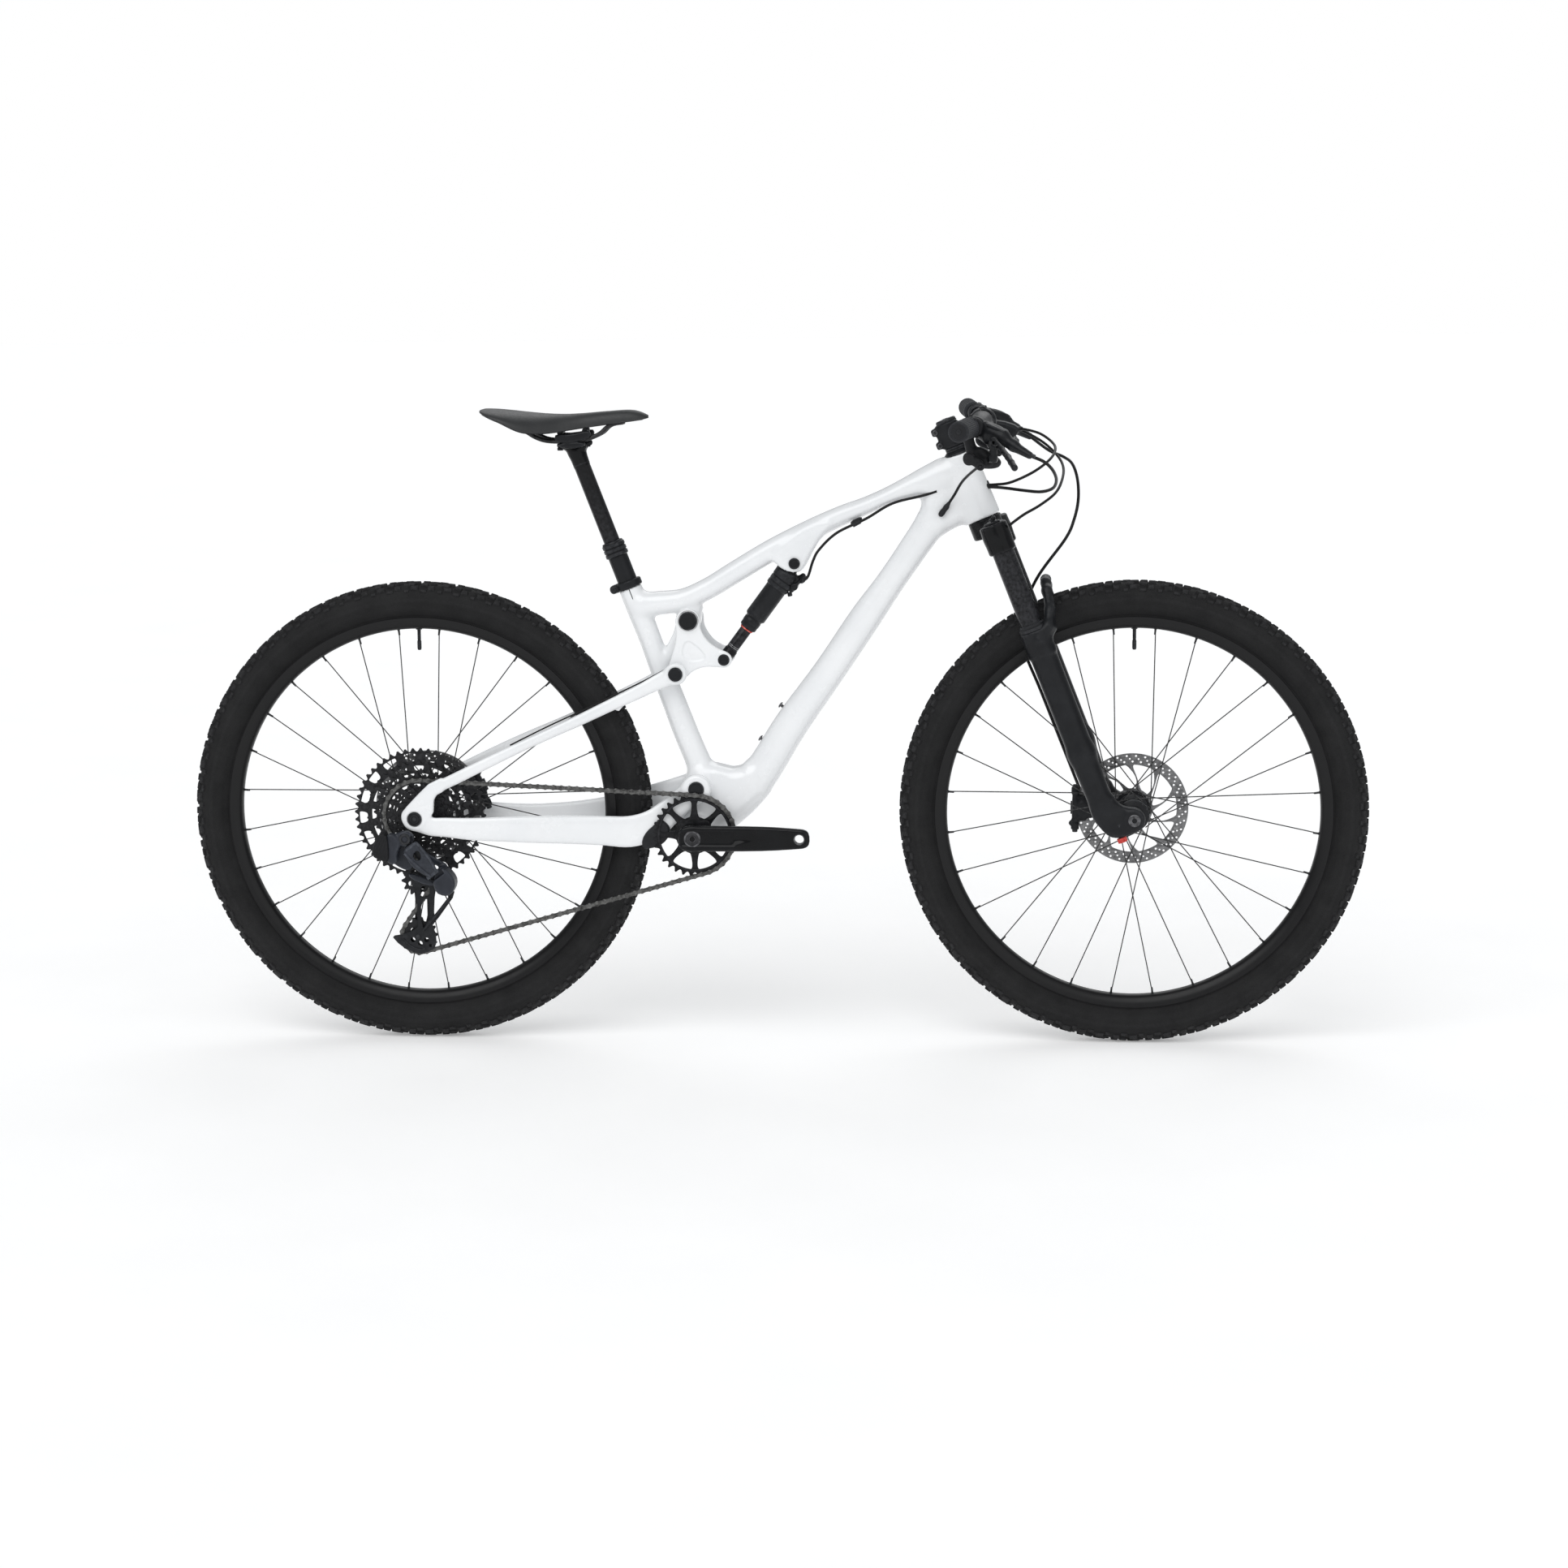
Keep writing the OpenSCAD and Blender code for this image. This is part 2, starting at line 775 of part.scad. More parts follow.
module rim(c) {
    color(black_c)
    turned(c) difference() {
        polygon([
            [rim_seat_r - 13, -6], [rim_seat_r - 7, -14], [rim_seat_r, -16.5], [rim_seat_r + 7, -17.5],
            [rim_seat_r + 7, -15], [rim_seat_r + 0.4, -14.6], [rim_seat_r - 2, -11],
            [rim_seat_r - 2, 11], [rim_seat_r + 0.4, 14.6], [rim_seat_r + 7, 15],
            [rim_seat_r + 7, 17.5], [rim_seat_r, 16.5], [rim_seat_r - 7, 14], [rim_seat_r - 13, 6]
        ]);
        polygon([
            [rim_seat_r - 11, -4], [rim_seat_r - 6, -11], [rim_seat_r - 4, -11],
            [rim_seat_r - 4, 11], [rim_seat_r - 6, 11], [rim_seat_r - 11, 4]
        ]);
    }
}

// Tangential spokes, crossed three times, between two hub flanges and the rim
module spokes(c, left_y, right_y, flange_r) {
    half = spoke_count / 2;
    lace = 3 * 360 / half;
    color(black_c)
    translate([c[0], 0, c[1]])
        for (i = [0 : spoke_count - 1]) {
            side = i % 2;
            lead = floor(i / 2) % 2 == 0 ? 1 : -1;
            rim_a = 90 + 360 / spoke_count * (i + 0.5);
            hub_a = rim_a + lead * lace;
            y = (side == 0 ? left_y : right_y) + lead * 1.7;
            rod(
                [flange_r * cos(hub_a), y, flange_r * sin(hub_a)],
                [(rim_seat_r - 13.3) * cos(rim_a), side == 0 ? 2 : -2, (rim_seat_r - 13.3) * sin(rim_a)],
                0.9
            );
        }
}

module front_tyre() {
    tyre([front_x, axle_z]);
}

module rear_tyre() {
    tyre([rear_x, axle_z]);
}

module front_rim() {
    rim([front_x, axle_z]);
}

module rear_rim() {
    rim([rear_x, axle_z]);
}

module front_spokes() {
    spokes([front_x, axle_z], 27, -27, 27);
}

module rear_spokes() {
    spokes([rear_x, axle_z], 38, -22, 27);
}

module front_hub() {
    color(black_c)
    turned([front_x, axle_z]) difference() {
        polygon([
            [7.6, -54.6], [11, -54.6], [12, -44], [15, -40], [16, -32], [24, -29.5], [25.2, -29],
            [25.2, -25], [16, -22], [14, 0], [16, 22], [25.2, 25], [25.2, 29], [17, 31], [17, 43],
            [12, 46], [11, 54.6], [7.6, 54.6]
        ]);
    }
}

module rear_hub() {
    color(black_c)
    turned([rear_x, axle_z])
        polygon([
            [6.1, -27], [16, -27], [22, -25], [25.2, -24], [25.2, -20], [18, -17], [15, 0],
            [17, 32], [25.2, 36], [25.2, 40], [17, 43], [17, 61], [11, 64], [11, 73.6], [6.1, 73.6]
        ]);
}

// A disc with a ring for the pads and curved spokes in to the hub
module rotor(c, y) {
    color(steel_c)
    difference() {
        across(c, y - 0.9, y + 0.9, disc_r);
        across(c, y - 5, y + 5, 17.05);
        for (i = [0 : 7])
            translate([c[0], y, c[1]])
                rotate([0, i * 45, 0])
                    translate([49, 5, 0])
                        rotate([90, 0, 0])
                            cylinder(h = 10, r = 15);
        for (i = [0 : 31])
            translate([c[0], y, c[1]])
                rotate([0, i * 11.25, 0])
                    translate([disc_r - 8 + 4 * (i % 2 == 0 ? 0.6 : -0.6), 5, 0])
                        rotate([90, 0, 0])
                            cylinder(h = 10, r = 2);
    }
}

module front_rotor() {
    rotor([front_x, axle_z], disc_front_y);
}

module rear_rotor() {
    rotor([rear_x, axle_z], disc_rear_y);
}

// ---------- rear end ----------

// The left chainstay's outline climbs straight to the pivot; no chain runs beside it
module left_chainstay_side() {
    polygon([
        [-462, 345], [-356, 336], [-278, 340], [-212, 350], [-170, 376], [-140, 396], [-110, 430],
        [-128, 440], [-152, 424], [-208, 411], [-286, 390], [-394, 368], [-462, 366]
    ]);
}

// One chainstay on the right side, from the main pivot to the dropout
module right_chainstay() {
    intersection() {
        plate(-90, 0) polygon([
            [-596, 352], [-575, 350], [-514, 343], [-462, 338], [-356, 332], [-278, 327],
            [-212, 323], [-199, 356], [-170, 376], [-140, 392], [-104, 410], [-102, 426],
            [-116, 440], [-136, 438], [-165, 412], [-185, 394], [-198, 382], [-251, 375],
            [-540, 377], [-552, 388], [-546, 410], [-525.5, 426], [-531, 448],
            [-553, 430], [-595, 388]
        ]);
        stay_room();
    }
}

// How a right chainstay runs in plan, past the tyre and inside the chainring
module stay_room() {
    plan(300, 460) polygon([
        [-600, -85], [-600, -74.3], [-470, -74.3], [-440, -66], [-330, -46], [-240, -38],
        [-190, -34], [-140, -31], [-95, -31], [-95, -46], [-190, -46.5], [-250, -52],
        [-330, -62], [-440, -80], [-470, -85]
    ]);
}

module chainstays() {
    color(paint_c)
    difference() {
        union() {
            mirror([0, 1, 0]) intersection() {
                plate(-90, 0) left_chainstay_side();
                stay_room();
            }
            both_sides() {
                right_chainstay();
                across([rear_x, axle_z], -85, -74.3, 22);
                across(main_pivot, -46, -31, 21);
            }
            plate(-46, 46) polygon([[-196, 362], [-196, 378], [-176, 392], [-164, 388], [-166, 376]]);
        }
        across([rear_x, axle_z], -100, 100, 6.02);
        across(main_pivot, -100, 100, 10.05);
        // Room for the tyre
        across([rear_x, axle_z], -34, 34, tyre_r + 4.5);
    }
}

module seatstays() {
    color(paint_c)
    difference() {
        union() {
            both_sides() intersection() {
                plate(-90, 0) polygon([
                    [-530.6, 449], [-525, 426.5], [-520, 423], [-473, 446], [-433, 467],
                    [-380, 493], [-314, 520], [-235, 555], [-180, 577], [-154, 590], [-140, 600],
                    [-140, 612], [-154, 621], [-168, 614], [-195, 600], [-274, 561], [-353, 523],
                    [-433, 489], [-493, 459]
                ]);
                plan(400, 640) polygon([
                    [-540, -85], [-540, -73], [-500, -73], [-430, -66], [-330, -50], [-230, -40],
                    [-200, -38], [-130, -38], [-130, -48], [-230, -50], [-330, -62], [-430, -80],
                    [-500, -85]
                ]);
            }
            // Bridge between the two stays, over the tyre
            plate(-45, 45) polygon([[-250, 540], [-262, 566], [-244, 571], [-236, 554]]);
        }
        across(stay_pivot, -60, 60, 6.05);
        across([rear_x, axle_z], -33, 33, tyre_r + 5);
    }
}

module rear_axle() {
    color(black_c) {
        across([rear_x, axle_z], -86.5, 86, 6);
        across([rear_x, axle_z], 85.02, 88, 10);
        across([rear_x, axle_z], -88, -85.02, 10);
    }
}

module rear_caliper() {
    color(black_c)
    translate([rear_x, 0, axle_z])
        rotate([0, -20, 0])
            caliper(disc_rear_y);
}

// ---------- linkage and shock ----------

module rocker_plate() {
    difference() {
        union() {
            across(rocker_pivot, -34, -27, 18);
            across(stay_pivot, -34, -27, 14);
            across(shock_low, -34, -27, 12);
            plate(-34, -27) polygon([
                [-152, 691], [-168, 604], [-156, 591], [-140, 607], [-113, 617], [-80, 614],
                [-74, 638], [-90, 645], [-102, 652], [-112, 664], [-117, 684]
            ]);
        }
        across(rocker_pivot, -40, -20, 10.5);
        across(stay_pivot, -40, -20, 6.02);
        across(shock_low, -40, -20, 4.52);
    }
}

module rocker_link() {
    color(paint_c) {
        both_sides() rocker_plate();
        across([-112, 634], -27, 27, 6);
    }
}

module rocker_bolts() {
    color(black_c) {
        both_sides() {
            across(stay_pivot, -50, -27, 6);
            across(stay_pivot, -52, -49.1, 11.5);
            across(shock_low, -37, -34.02, 9.5);
        }
        across(shock_low, -35, 35, 4.5);
    }
}

// Places children along the shock, with local z from the lower eye to the upper one
module on_shock() {
    d = shock_top - shock_low;
    translate([shock_low[0], 0, shock_low[1]])
        rotate([0, 90 - atan2(d[1], d[0]), 0])
            children();
}
shaft_r = 9.6;

module shock_can() {
    color(black_c)
    difference() {
        union() {
            on_shock() {
                translate([0, 0, 60]) cylinder(h = 20, r = 14);
                translate([0, 0, 79]) cylinder(h = 61, r = 17.2);
                translate([0, 0, 139]) cylinder(h = 33, r = 19.5);
                translate([0, 0, 171]) cylinder(h = 12, r1 = 13, r2 = 11);
                // Housing of the lockout
                translate([10, -8, 148]) cube([16, 16, 26]);
            }
            across(shock_top, -12.5, 12.5, 11);
        }
        on_shock() translate([0, 0, 50]) cylinder(h = 119.5, r = shaft_r + press_gap);
        across(shock_top, -20, 20, 5.05);
    }
}

module shock_shaft() {
    color(black_c)
    difference() {
        union() {
            on_shock() translate([0, 0, 9]) cylinder(h = 111, r = shaft_r);
            across(shock_low, -12.5, 12.5, 11);
            both_sides() across(shock_low, -26.6, -12.5, 8.5);
        }
        across(shock_low, -40, 40, 8);
    }
}

// ---------- drivetrain ----------

// A toothed wheel blank at c = [x, z] and y
module sprocket(c, y, teeth, bore_r) {
    r = pitch_r(teeth);
    difference() {
        across(c, y - tooth_half, y + tooth_half, r + 3);
        across(c, y - 5, y + 5, bore_r);
        for (i = [0 : teeth - 1])
            translate([c[0] + (r + 3) * cos(360 * (i + 0.5) / teeth), y, c[1] + (r + 3) * sin(360 * (i + 0.5) / teeth)])
                rotate([90, 0, 0])
                    cylinder(h = 5, r = 4.2, center = true, $fn = 16);
    }
}

module crank_arm_side(dir) {
    polygon([
        [bb[0], bb[1] + 19], [bb[0] + dir * 24, bb[1] + 20.4], [bb[0] + dir * 75, bb[1] + 20.4],
        [bb[0] + dir * 122, bb[1] + 19.4], [bb[0] + dir * crank_len, bb[1] + 16],
        [bb[0] + dir * crank_len, bb[1] - 16], [bb[0] + dir * 122, bb[1] - 19.4],
        [bb[0] + dir * 75, bb[1] - 20.4], [bb[0] + dir * 24, bb[1] - 20.4], [bb[0], bb[1] - 19]
    ]);
}

module crank_arms() {
    color(black_c) {
        difference() {
            union() {
                plate(-90, -77) crank_arm_side(1);
                across(bb, -88, -58, 19);
                across([bb[0] + crank_len, bb[1]], -92, -78, 16);
                across(bb, -59, 60, 14.5);
            }
            across([bb[0] + crank_len, bb[1]], -100, -70, 7.14);
            across(bb, -56, 70, 12);
        }
        difference() {
            union() {
                plate(77, 90) crank_arm_side(-1);
                across(bb, 60.02, 88, 19);
                across([bb[0] - crank_len, bb[1]], 78, 92, 16);
            }
            across([bb[0] - crank_len, bb[1]], 70, 100, 7.14);
        }
        both_sides() across(bb, -92, -88.02, 10);
    }
}

module chainring() {
    color(black_c)
    difference() {
        union() {
            sprocket(bb, ring_y, ring_teeth, 20);
            across(bb, -57.9, ring_y - tooth_half - 0.02, 24);
            across(bb, ring_y - tooth_half - 0.1, ring_y + tooth_half + 0.1, 24);
        }
        across(bb, -65, -45, 14.6);
        for (a = [0 : 45 : 315])
            across(bb + 42 * direction(a + 22), -60, -45, 10.5);
    }
}

module cassette() {
    color(steel_c)
    for (i = [0 : len(cogs) - 1])
        difference() {
            sprocket([rear_x, axle_z], cog_y - (7 - i) * cog_step, cogs[i], 12.6);
            if (cogs[i] > 20)
                for (a = [0 : 60 : 300])
                    across([rear_x, axle_z] + (pitch_r(cogs[i]) * 0.66) * direction(a + 4 * i), -80, -20, pitch_r(cogs[i]) * 0.16);
        }
    color(steel_c)
    difference() {
        across([rear_x, axle_z], -72.5, -28, 13);
        across([rear_x, axle_z], -80, -20, 6.1);
    }
}

// Chain loop: arcs about the sprockets joined by their common tangents. Each wheel is
// [centre, radius, turn], with turn 1 where the chain runs clockwise seen from the right.
chain_wheels = [
    [[rear_x, axle_z], pitch_r(cog_teeth), 1, cog_y],
    [bb, pitch_r(ring_teeth), 1, ring_y],
    [tension_c, pitch_r(tension_teeth), 1, cog_y],
    [guide_c, pitch_r(guide_teeth), -1, cog_y]
];
function on_wheel(w, a) = w[0] + w[1] * direction(a);
// The contact normal is shared by both ends of a tangent
function contact(a, b) =
    let (
        d = b[0] - a[0],
        base = atan2(d[1], d[0]),
        lean = acos((a[1] * a[2] - b[1] * b[2]) / norm(d))
    )
    base + lean;
function arc_points(w, from, to, y) =
    let (
        span = w[2] > 0 ? (((from - to) % 360) + 360) % 360 : (((to - from) % 360) + 360) % 360,
        n = max(3, ceil(span / 15))
    )
    [for (k = [0 : n]) let (p = on_wheel(w, from - w[2] * span * k / n)) [p[0], y, p[1]]];
function wheel(i) = chain_wheels[(i + 4) % 4];
function link_normal(i) = contact(wheel(i), wheel(i + 1));
function arrive(i) = link_normal(i - 1) + (wheel(i)[2] < 0 ? 180 : 0);
function depart(i) = link_normal(i) + (wheel(i)[2] < 0 ? 180 : 0);
chain_path = [
    for (i = [0 : 3])
        each arc_points(wheel(i), arrive(i), depart(i), wheel(i)[3])
];

// One run of side plates at the offset y from the sprockets' plane
module chain_band(y0, y1) {
    n = len(chain_path);
    points = [
        for (i = [0 : n - 1])
            let (
                p = chain_path[i],
                q = chain_path[(i + 1) % n],
                o = chain_path[(i + n - 1) % n],
                t = unit([q[0] - o[0], 0, q[2] - o[2]]),
                s = [-t[2], 0, t[0]] * chain_half
            )
            each [
                p + s + [0, y0, 0], p + s + [0, y1, 0], p - s + [0, y1, 0], p - s + [0, y0, 0]
            ]
    ];
    faces = [
        for (i = [0 : n - 1])
            for (k = [0 : 3])
                let (a = i * 4, b = ((i + 1) % n) * 4, j = (k + 1) % 4)
                each [[a + k, b + k, b + j], [a + k, b + j, a + j]]
    ];
    polyhedron(points, faces, convexity = 10);
}

module chain() {
    color(grey_c) {
        chain_band(-plate_out, -plate_in);
        chain_band(plate_in, plate_out);
    }
}

// ---------- rear derailleur ----------

link_dir = unit(knuckle_c - hanger_c);
link_len = 56;
link_start = hanger_c + link_dir * 16;
link_side = [link_dir[1], -link_dir[0]];

// A bar of the derailleur's parallelogram at y
module mech_link(y, width, height) {
    a = link_start;
    b = link_start + link_dir * link_len;
    plate(y - width / 2, y + width / 2)
        polygon([
            a + link_side * height, b + link_side * height, b - link_side * height, a - link_side * height
        ]);
    // Barrels at the two hinge axes
    reach = link_side * (height - 2);
    for (c = [a, b])
        rod([c[0] + reach[0], y, c[1] + reach[1]], [c[0] - reach[0], y, c[1] - reach[1]], width / 2 + 0.8);
}

module mech_mount() {
    color(black_c) {
        across(hanger_c, -101, -85.4, 12);
        plate(-103, -87) polygon([[-612, 352], [-590, 362], [-580, 354], [-580, 344], [-598, 332], [-616, 338]]);
        // Hanger under the dropout
        plate(-84, -76) polygon([[-599, 352.1], [-596, 351.9], [-578, 350.2], [-578, 338], [-599, 338]]);
        across(hanger_c, -86, -80, 5);
    }
}

module mech_outer_link() {
    color(black_c) mech_link(-99, 5, 13);
}

module mech_inner_link() {
    color(black_c) mech_link(-88, 4, 9);
}

module mech_knuckle() {
    color(black_c)
    difference() {
        across(knuckle_c, -94, -55, 16);
        across(knuckle_c, -64, -50, 6.05);
        link_room();
    }
}

// Space that the parallelogram's bars swing in
module link_room() {
    a = link_start;
    b = link_start + link_dir * (link_len + 6);
    plate(-110, -78)
        polygon([
            a + link_side * 16, b + link_side * 16, b - link_side * 16, a - link_side * 16
        ]);
}

module cage_plate(y0, y1) {
    plate(y0, y1) polygon([
        knuckle_c + [9, 6], knuckle_c + [10, -8], tension_c + [14, -14], tension_c + [0, -20],
        tension_c + [-16, -12], tension_c + [-14, 8], tension_c + [-4, 16], guide_c + [-10, -12],
        guide_c + [-10, 8], guide_c + [2, 12], guide_c + [24, 8]
    ]);
}

module mech_cage() {
    color(black_c)
    difference() {
        union() {
            cage_plate(-53.5, -51.5);
            cage_plate(-38.6, -36.8);
            across(knuckle_c, -64, -53.4, 6);
            across(guide_c, -51.6, -38.5, 2.5);
            across(tension_c, -51.6, -38.5, 2.5);
        }
        for (y = [-60, -42])
            plate(y, y + 12) polygon([
                tension_c + [2, 30], tension_c + [12, 22], guide_c + [14, -18], guide_c + [2, -22]
            ]);
    }
}

module pulley(c, teeth) {
    difference() {
        union() {
            sprocket(c, cog_y, teeth, 2.55);
            across(c, cog_y - 5.5, cog_y + 5.5, 7);
        }
        across(c, cog_y - 10, cog_y + 10, 2.55);
    }
}

module guide_pulley() {
    color(black_c) pulley(guide_c, guide_teeth);
}

module tension_pulley() {
    color(black_c) pulley(tension_c, tension_teeth);
}

front_triangle();
frame_bearings();
pivot_axles();
seat_clamp();
seatpost_tube();
bottle_bolts();
cable_guides();
frame_cables();
seatpost_stanchion();
saddle_rails();
saddle_base();
saddle_cover();
fork_crown();
stanchions();
headset_spacers();
stem();
stem_faceplate();
handlebar();
grips();
brake_masters();
shifter_pod();
remote_pod();
fork_cables();
right_brake_lever();
left_brake_lever();
shift_paddle();
remote_lever();
fork_lowers();
front_axle();
front_caliper();
rebound_knob();
front_tyre();
front_rim();
front_spokes();
front_hub();
front_rotor();
rear_tyre();
rear_rim();
rear_spokes();
rear_hub();
rear_rotor();
chainstays();
rear_axle();
rear_caliper();
chain();
mech_mount();
seatstays();
rocker_link();
rocker_bolts();
shock_can();
shock_shaft();
crank_arms();
chainring();
cassette();
mech_outer_link();
mech_inner_link();
mech_knuckle();
mech_cage();
guide_pulley();
tension_pulley();
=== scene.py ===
"""Looks of the mountain bike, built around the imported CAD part.

Shapes are worked out in millimetres in the row frame (X forward, Y to the left, Z up) and turned
into metres when a mesh is made.
"""

import json
import math

import bmesh
import bpy
import numpy as np
from mathutils import Matrix, Vector


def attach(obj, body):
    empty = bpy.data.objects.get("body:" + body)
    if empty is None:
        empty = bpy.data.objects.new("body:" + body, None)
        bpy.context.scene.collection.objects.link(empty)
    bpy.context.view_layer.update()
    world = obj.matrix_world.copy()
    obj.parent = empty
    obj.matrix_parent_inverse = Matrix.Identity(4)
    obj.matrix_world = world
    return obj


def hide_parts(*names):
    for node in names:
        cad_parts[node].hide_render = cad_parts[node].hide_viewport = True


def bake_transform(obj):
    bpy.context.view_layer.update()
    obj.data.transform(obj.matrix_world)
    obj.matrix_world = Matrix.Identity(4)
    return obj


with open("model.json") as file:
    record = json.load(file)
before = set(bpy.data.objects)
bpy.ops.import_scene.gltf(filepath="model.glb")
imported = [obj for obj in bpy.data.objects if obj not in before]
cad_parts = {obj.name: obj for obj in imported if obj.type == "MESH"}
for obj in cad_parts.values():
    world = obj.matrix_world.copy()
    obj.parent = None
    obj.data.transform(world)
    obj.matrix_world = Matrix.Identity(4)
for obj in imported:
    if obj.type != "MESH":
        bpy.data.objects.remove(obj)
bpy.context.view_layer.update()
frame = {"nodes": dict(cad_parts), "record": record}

MM = 0.001
# Axes across the bike and up
CROSS = (0, 1, 0)
UP = (0, 0, 1)

# ---------- places on the bike, in millimetres ----------

WHEEL_R = 375
WHEELBASE = 1150
FRONT = (WHEELBASE / 2, WHEEL_R)
REAR = (-WHEELBASE / 2, WHEEL_R)
BB = (-127, 345)
MAIN_PIVOT = (-124, 418)
ROCKER_PIVOT = (-134.5, 688.5)
STAY_PIVOT = (-154.5, 604.5)
SHOCK_LOW = (-78, 626)
SHOCK_TOP = (35.5, 779)
HEAD_ANGLE = math.radians(68.7)
HEAD_BASE = (335.2, 849.2)
SEAT_BASE = (-222, 716)
SEAT_LEAN = math.radians(110.7)
# In the steering's frame: F ahead of its axis, T up along it
LEG_Y = 66
LEG_F = 11.9
AXLE_F = 51.17
AXLE_T = -528.92


def slanted(base, angle):
    """A frame (origin, x, y, z) in the bike's centre plane; its z points at angle above forward."""
    up, side = np.array([math.cos(angle), 0, math.sin(angle)]), np.array(CROSS)
    return np.array([base[0], 0, base[1]], float), np.cross(side, up), side, up


STEER = slanted(HEAD_BASE, math.pi - HEAD_ANGLE)
SEAT = slanted(SEAT_BASE, SEAT_LEAN)


def point_of(place, y=0):
    """A place of the side view as a point, y to the left of the centre plane."""
    return (place[0], y, place[1])


def placed(local, points):
    """Points given in a local frame, in the row frame."""
    origin, x, y, z = local
    p = np.asarray(points, float)
    return origin + p[:, :1] * x + p[:, 1:2] * y + p[:, 2:3] * z


def spot(local, *point):
    """One point given in a local frame, in the row frame."""
    return placed(local, [point])[0]


# ---------- meshes ----------


def make(name, mesh_data, look, body=None, stands_for=(), sharp=None):
    """A shown piece from (points in mm, faces), riding on a body and standing for CAD nodes."""
    points, faces = mesh_data
    mesh = bpy.data.meshes.new(name)
    mesh.from_pydata((np.asarray(points, float) * MM).tolist(), [], [list(map(int, f)) for f in faces])
    tidy = bmesh.new()
    tidy.from_mesh(mesh)
    bmesh.ops.recalc_face_normals(tidy, faces=tidy.faces)
    tidy.to_mesh(mesh)
    tidy.free()
    mesh.shade_smooth()
    if sharp:
        mesh.set_sharp_from_angle(angle=math.radians(sharp))
    mesh.materials.append(LOOK[look])
    obj = bpy.data.objects.new(name, mesh)
    bpy.context.scene.collection.objects.link(obj)
    if stands_for:
        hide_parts(*stands_for)
    if body:
        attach(obj, body)
    return obj


def join(*parts):
    """Several (points, faces) as one."""
    points, faces, start = [], [], 0
    for p, f in parts:
        p = np.asarray(p, float)
        points.append(p)
        faces += [[start + i for i in face] for face in f]
        start += len(p)
    return np.concatenate(points), faces


def mirrored(part):
    """The same part on the bike's other side."""
    p = np.array(part[0], float)
    p[:, 1] *= -1
    return p, [list(f)[::-1] for f in part[1]]


def both(part):
    """A part with its mirror image."""
    return join(part, mirrored(part))


def unit(v):
    return np.asarray(v, float) / np.linalg.norm(v)


def basis(axis):
    """Two directions square to an axis."""
    axis = unit(axis)
    other = np.array([0, 0, 1.0]) if abs(axis[2]) < 0.9 else np.array([1.0, 0, 0])
    u = unit(np.cross(axis, other))
    return u, np.cross(axis, u)


def band(rings, sides, closed=False):
    """Quads between rings that follow each other; closed joins the last ring to the first."""
    return [(i * sides + k, i * sides + (k + 1) % sides, (i + 1) % rings * sides + (k + 1) % sides,
             (i + 1) % rings * sides + k)
            for i in range(rings if closed else rings - 1) for k in range(sides)]


def closing(rings, sides):
    """The faces that close the first and the last ring."""
    return [list(range(sides))[::-1], [(rings - 1) * sides + k for k in range(sides)]]


def lofted(rings):
    """A closed shape through rings of the same number of points."""
    return np.concatenate(rings), band(len(rings), len(rings[0])) + closing(len(rings), len(rings[0]))


def lathe(profile, centre, axis=CROSS, sides=64, loop=False):
    """Turns a profile of (radius, distance along the axis) about an axis through centre."""
    u, v = basis(axis)
    a = np.arange(sides) * 2 * math.pi / sides
    spoke = np.cos(a)[:, None] * u + np.sin(a)[:, None] * v
    rings = [np.asarray(centre, float) + r * spoke + h * unit(axis) for r, h in profile]
    ends = [] if loop else closing(len(rings), sides)
    return np.concatenate(rings), band(len(rings), sides, loop) + ends


def spline(points, steps):
    """A smooth line through points of any dimension."""
    p = np.asarray(points, float)
    out = []
    for i in range(len(p) - 1):
        a, b, c, d = p[max(i - 1, 0)], p[i], p[i + 1], p[min(i + 2, len(p) - 1)]
        for k in range(steps):
            t = k / steps
            out.append(0.5 * (2 * b + (c - a) * t + (2 * a - 5 * b + 4 * c - d) * t * t
                              + (3 * b - a - 3 * c + d) * t ** 3))
    out.append(p[-1])
    return np.array(out)


def tube(route, radius, sides=12, steps=6):
    """A round tube along a smooth route; radius is one number or one for each route point."""
    given = np.asarray(route, float)
    sized = np.c_[given, np.broadcast_to(radius, len(given))]
    line = spline(sized, steps) if steps > 1 else sized
    path, radii = line[:, :3], line[:, 3]
    tangents = np.gradient(path, axis=0)
    a = np.arange(sides) * 2 * math.pi / sides
    u = basis(tangents[0])[0]
    rings = []
    for p, t, r in zip(path, tangents, radii):
        t = unit(t)
        u = unit(u - t * np.dot(u, t))
        rings.append(p + r * (np.cos(a)[:, None] * u + np.sin(a)[:, None] * np.cross(t, u)))
    return np.concatenate(rings), band(len(rings), sides) + closing(len(rings), sides)


def polar(centre, r, angle):
    """A place of the side view from its distance and angle in degrees."""
    a = math.radians(angle)
    return (centre[0] + r * math.cos(a), centre[1] + r * math.sin(a))


def arc(centre, r, a0, a1, n):
    """n places of the side view round a centre, from angle a0 to a1 in degrees."""
    return [polar(centre, r, a) for a in np.linspace(a0, a1, n)]


def circle(centre, r, n=32):
    return arc(centre, r, 0, 360 - 360 / n, n)


def rounded(outline, passes=2):
    """An outline with its corners cut softer."""
    p = np.asarray(outline, float)
    for _ in range(passes):
        q = np.roll(p, -1, axis=0)
        p = np.stack([0.75 * p + 0.25 * q, 0.25 * p + 0.75 * q], axis=1).reshape(-1, 2)
    return [tuple(x) for x in p]


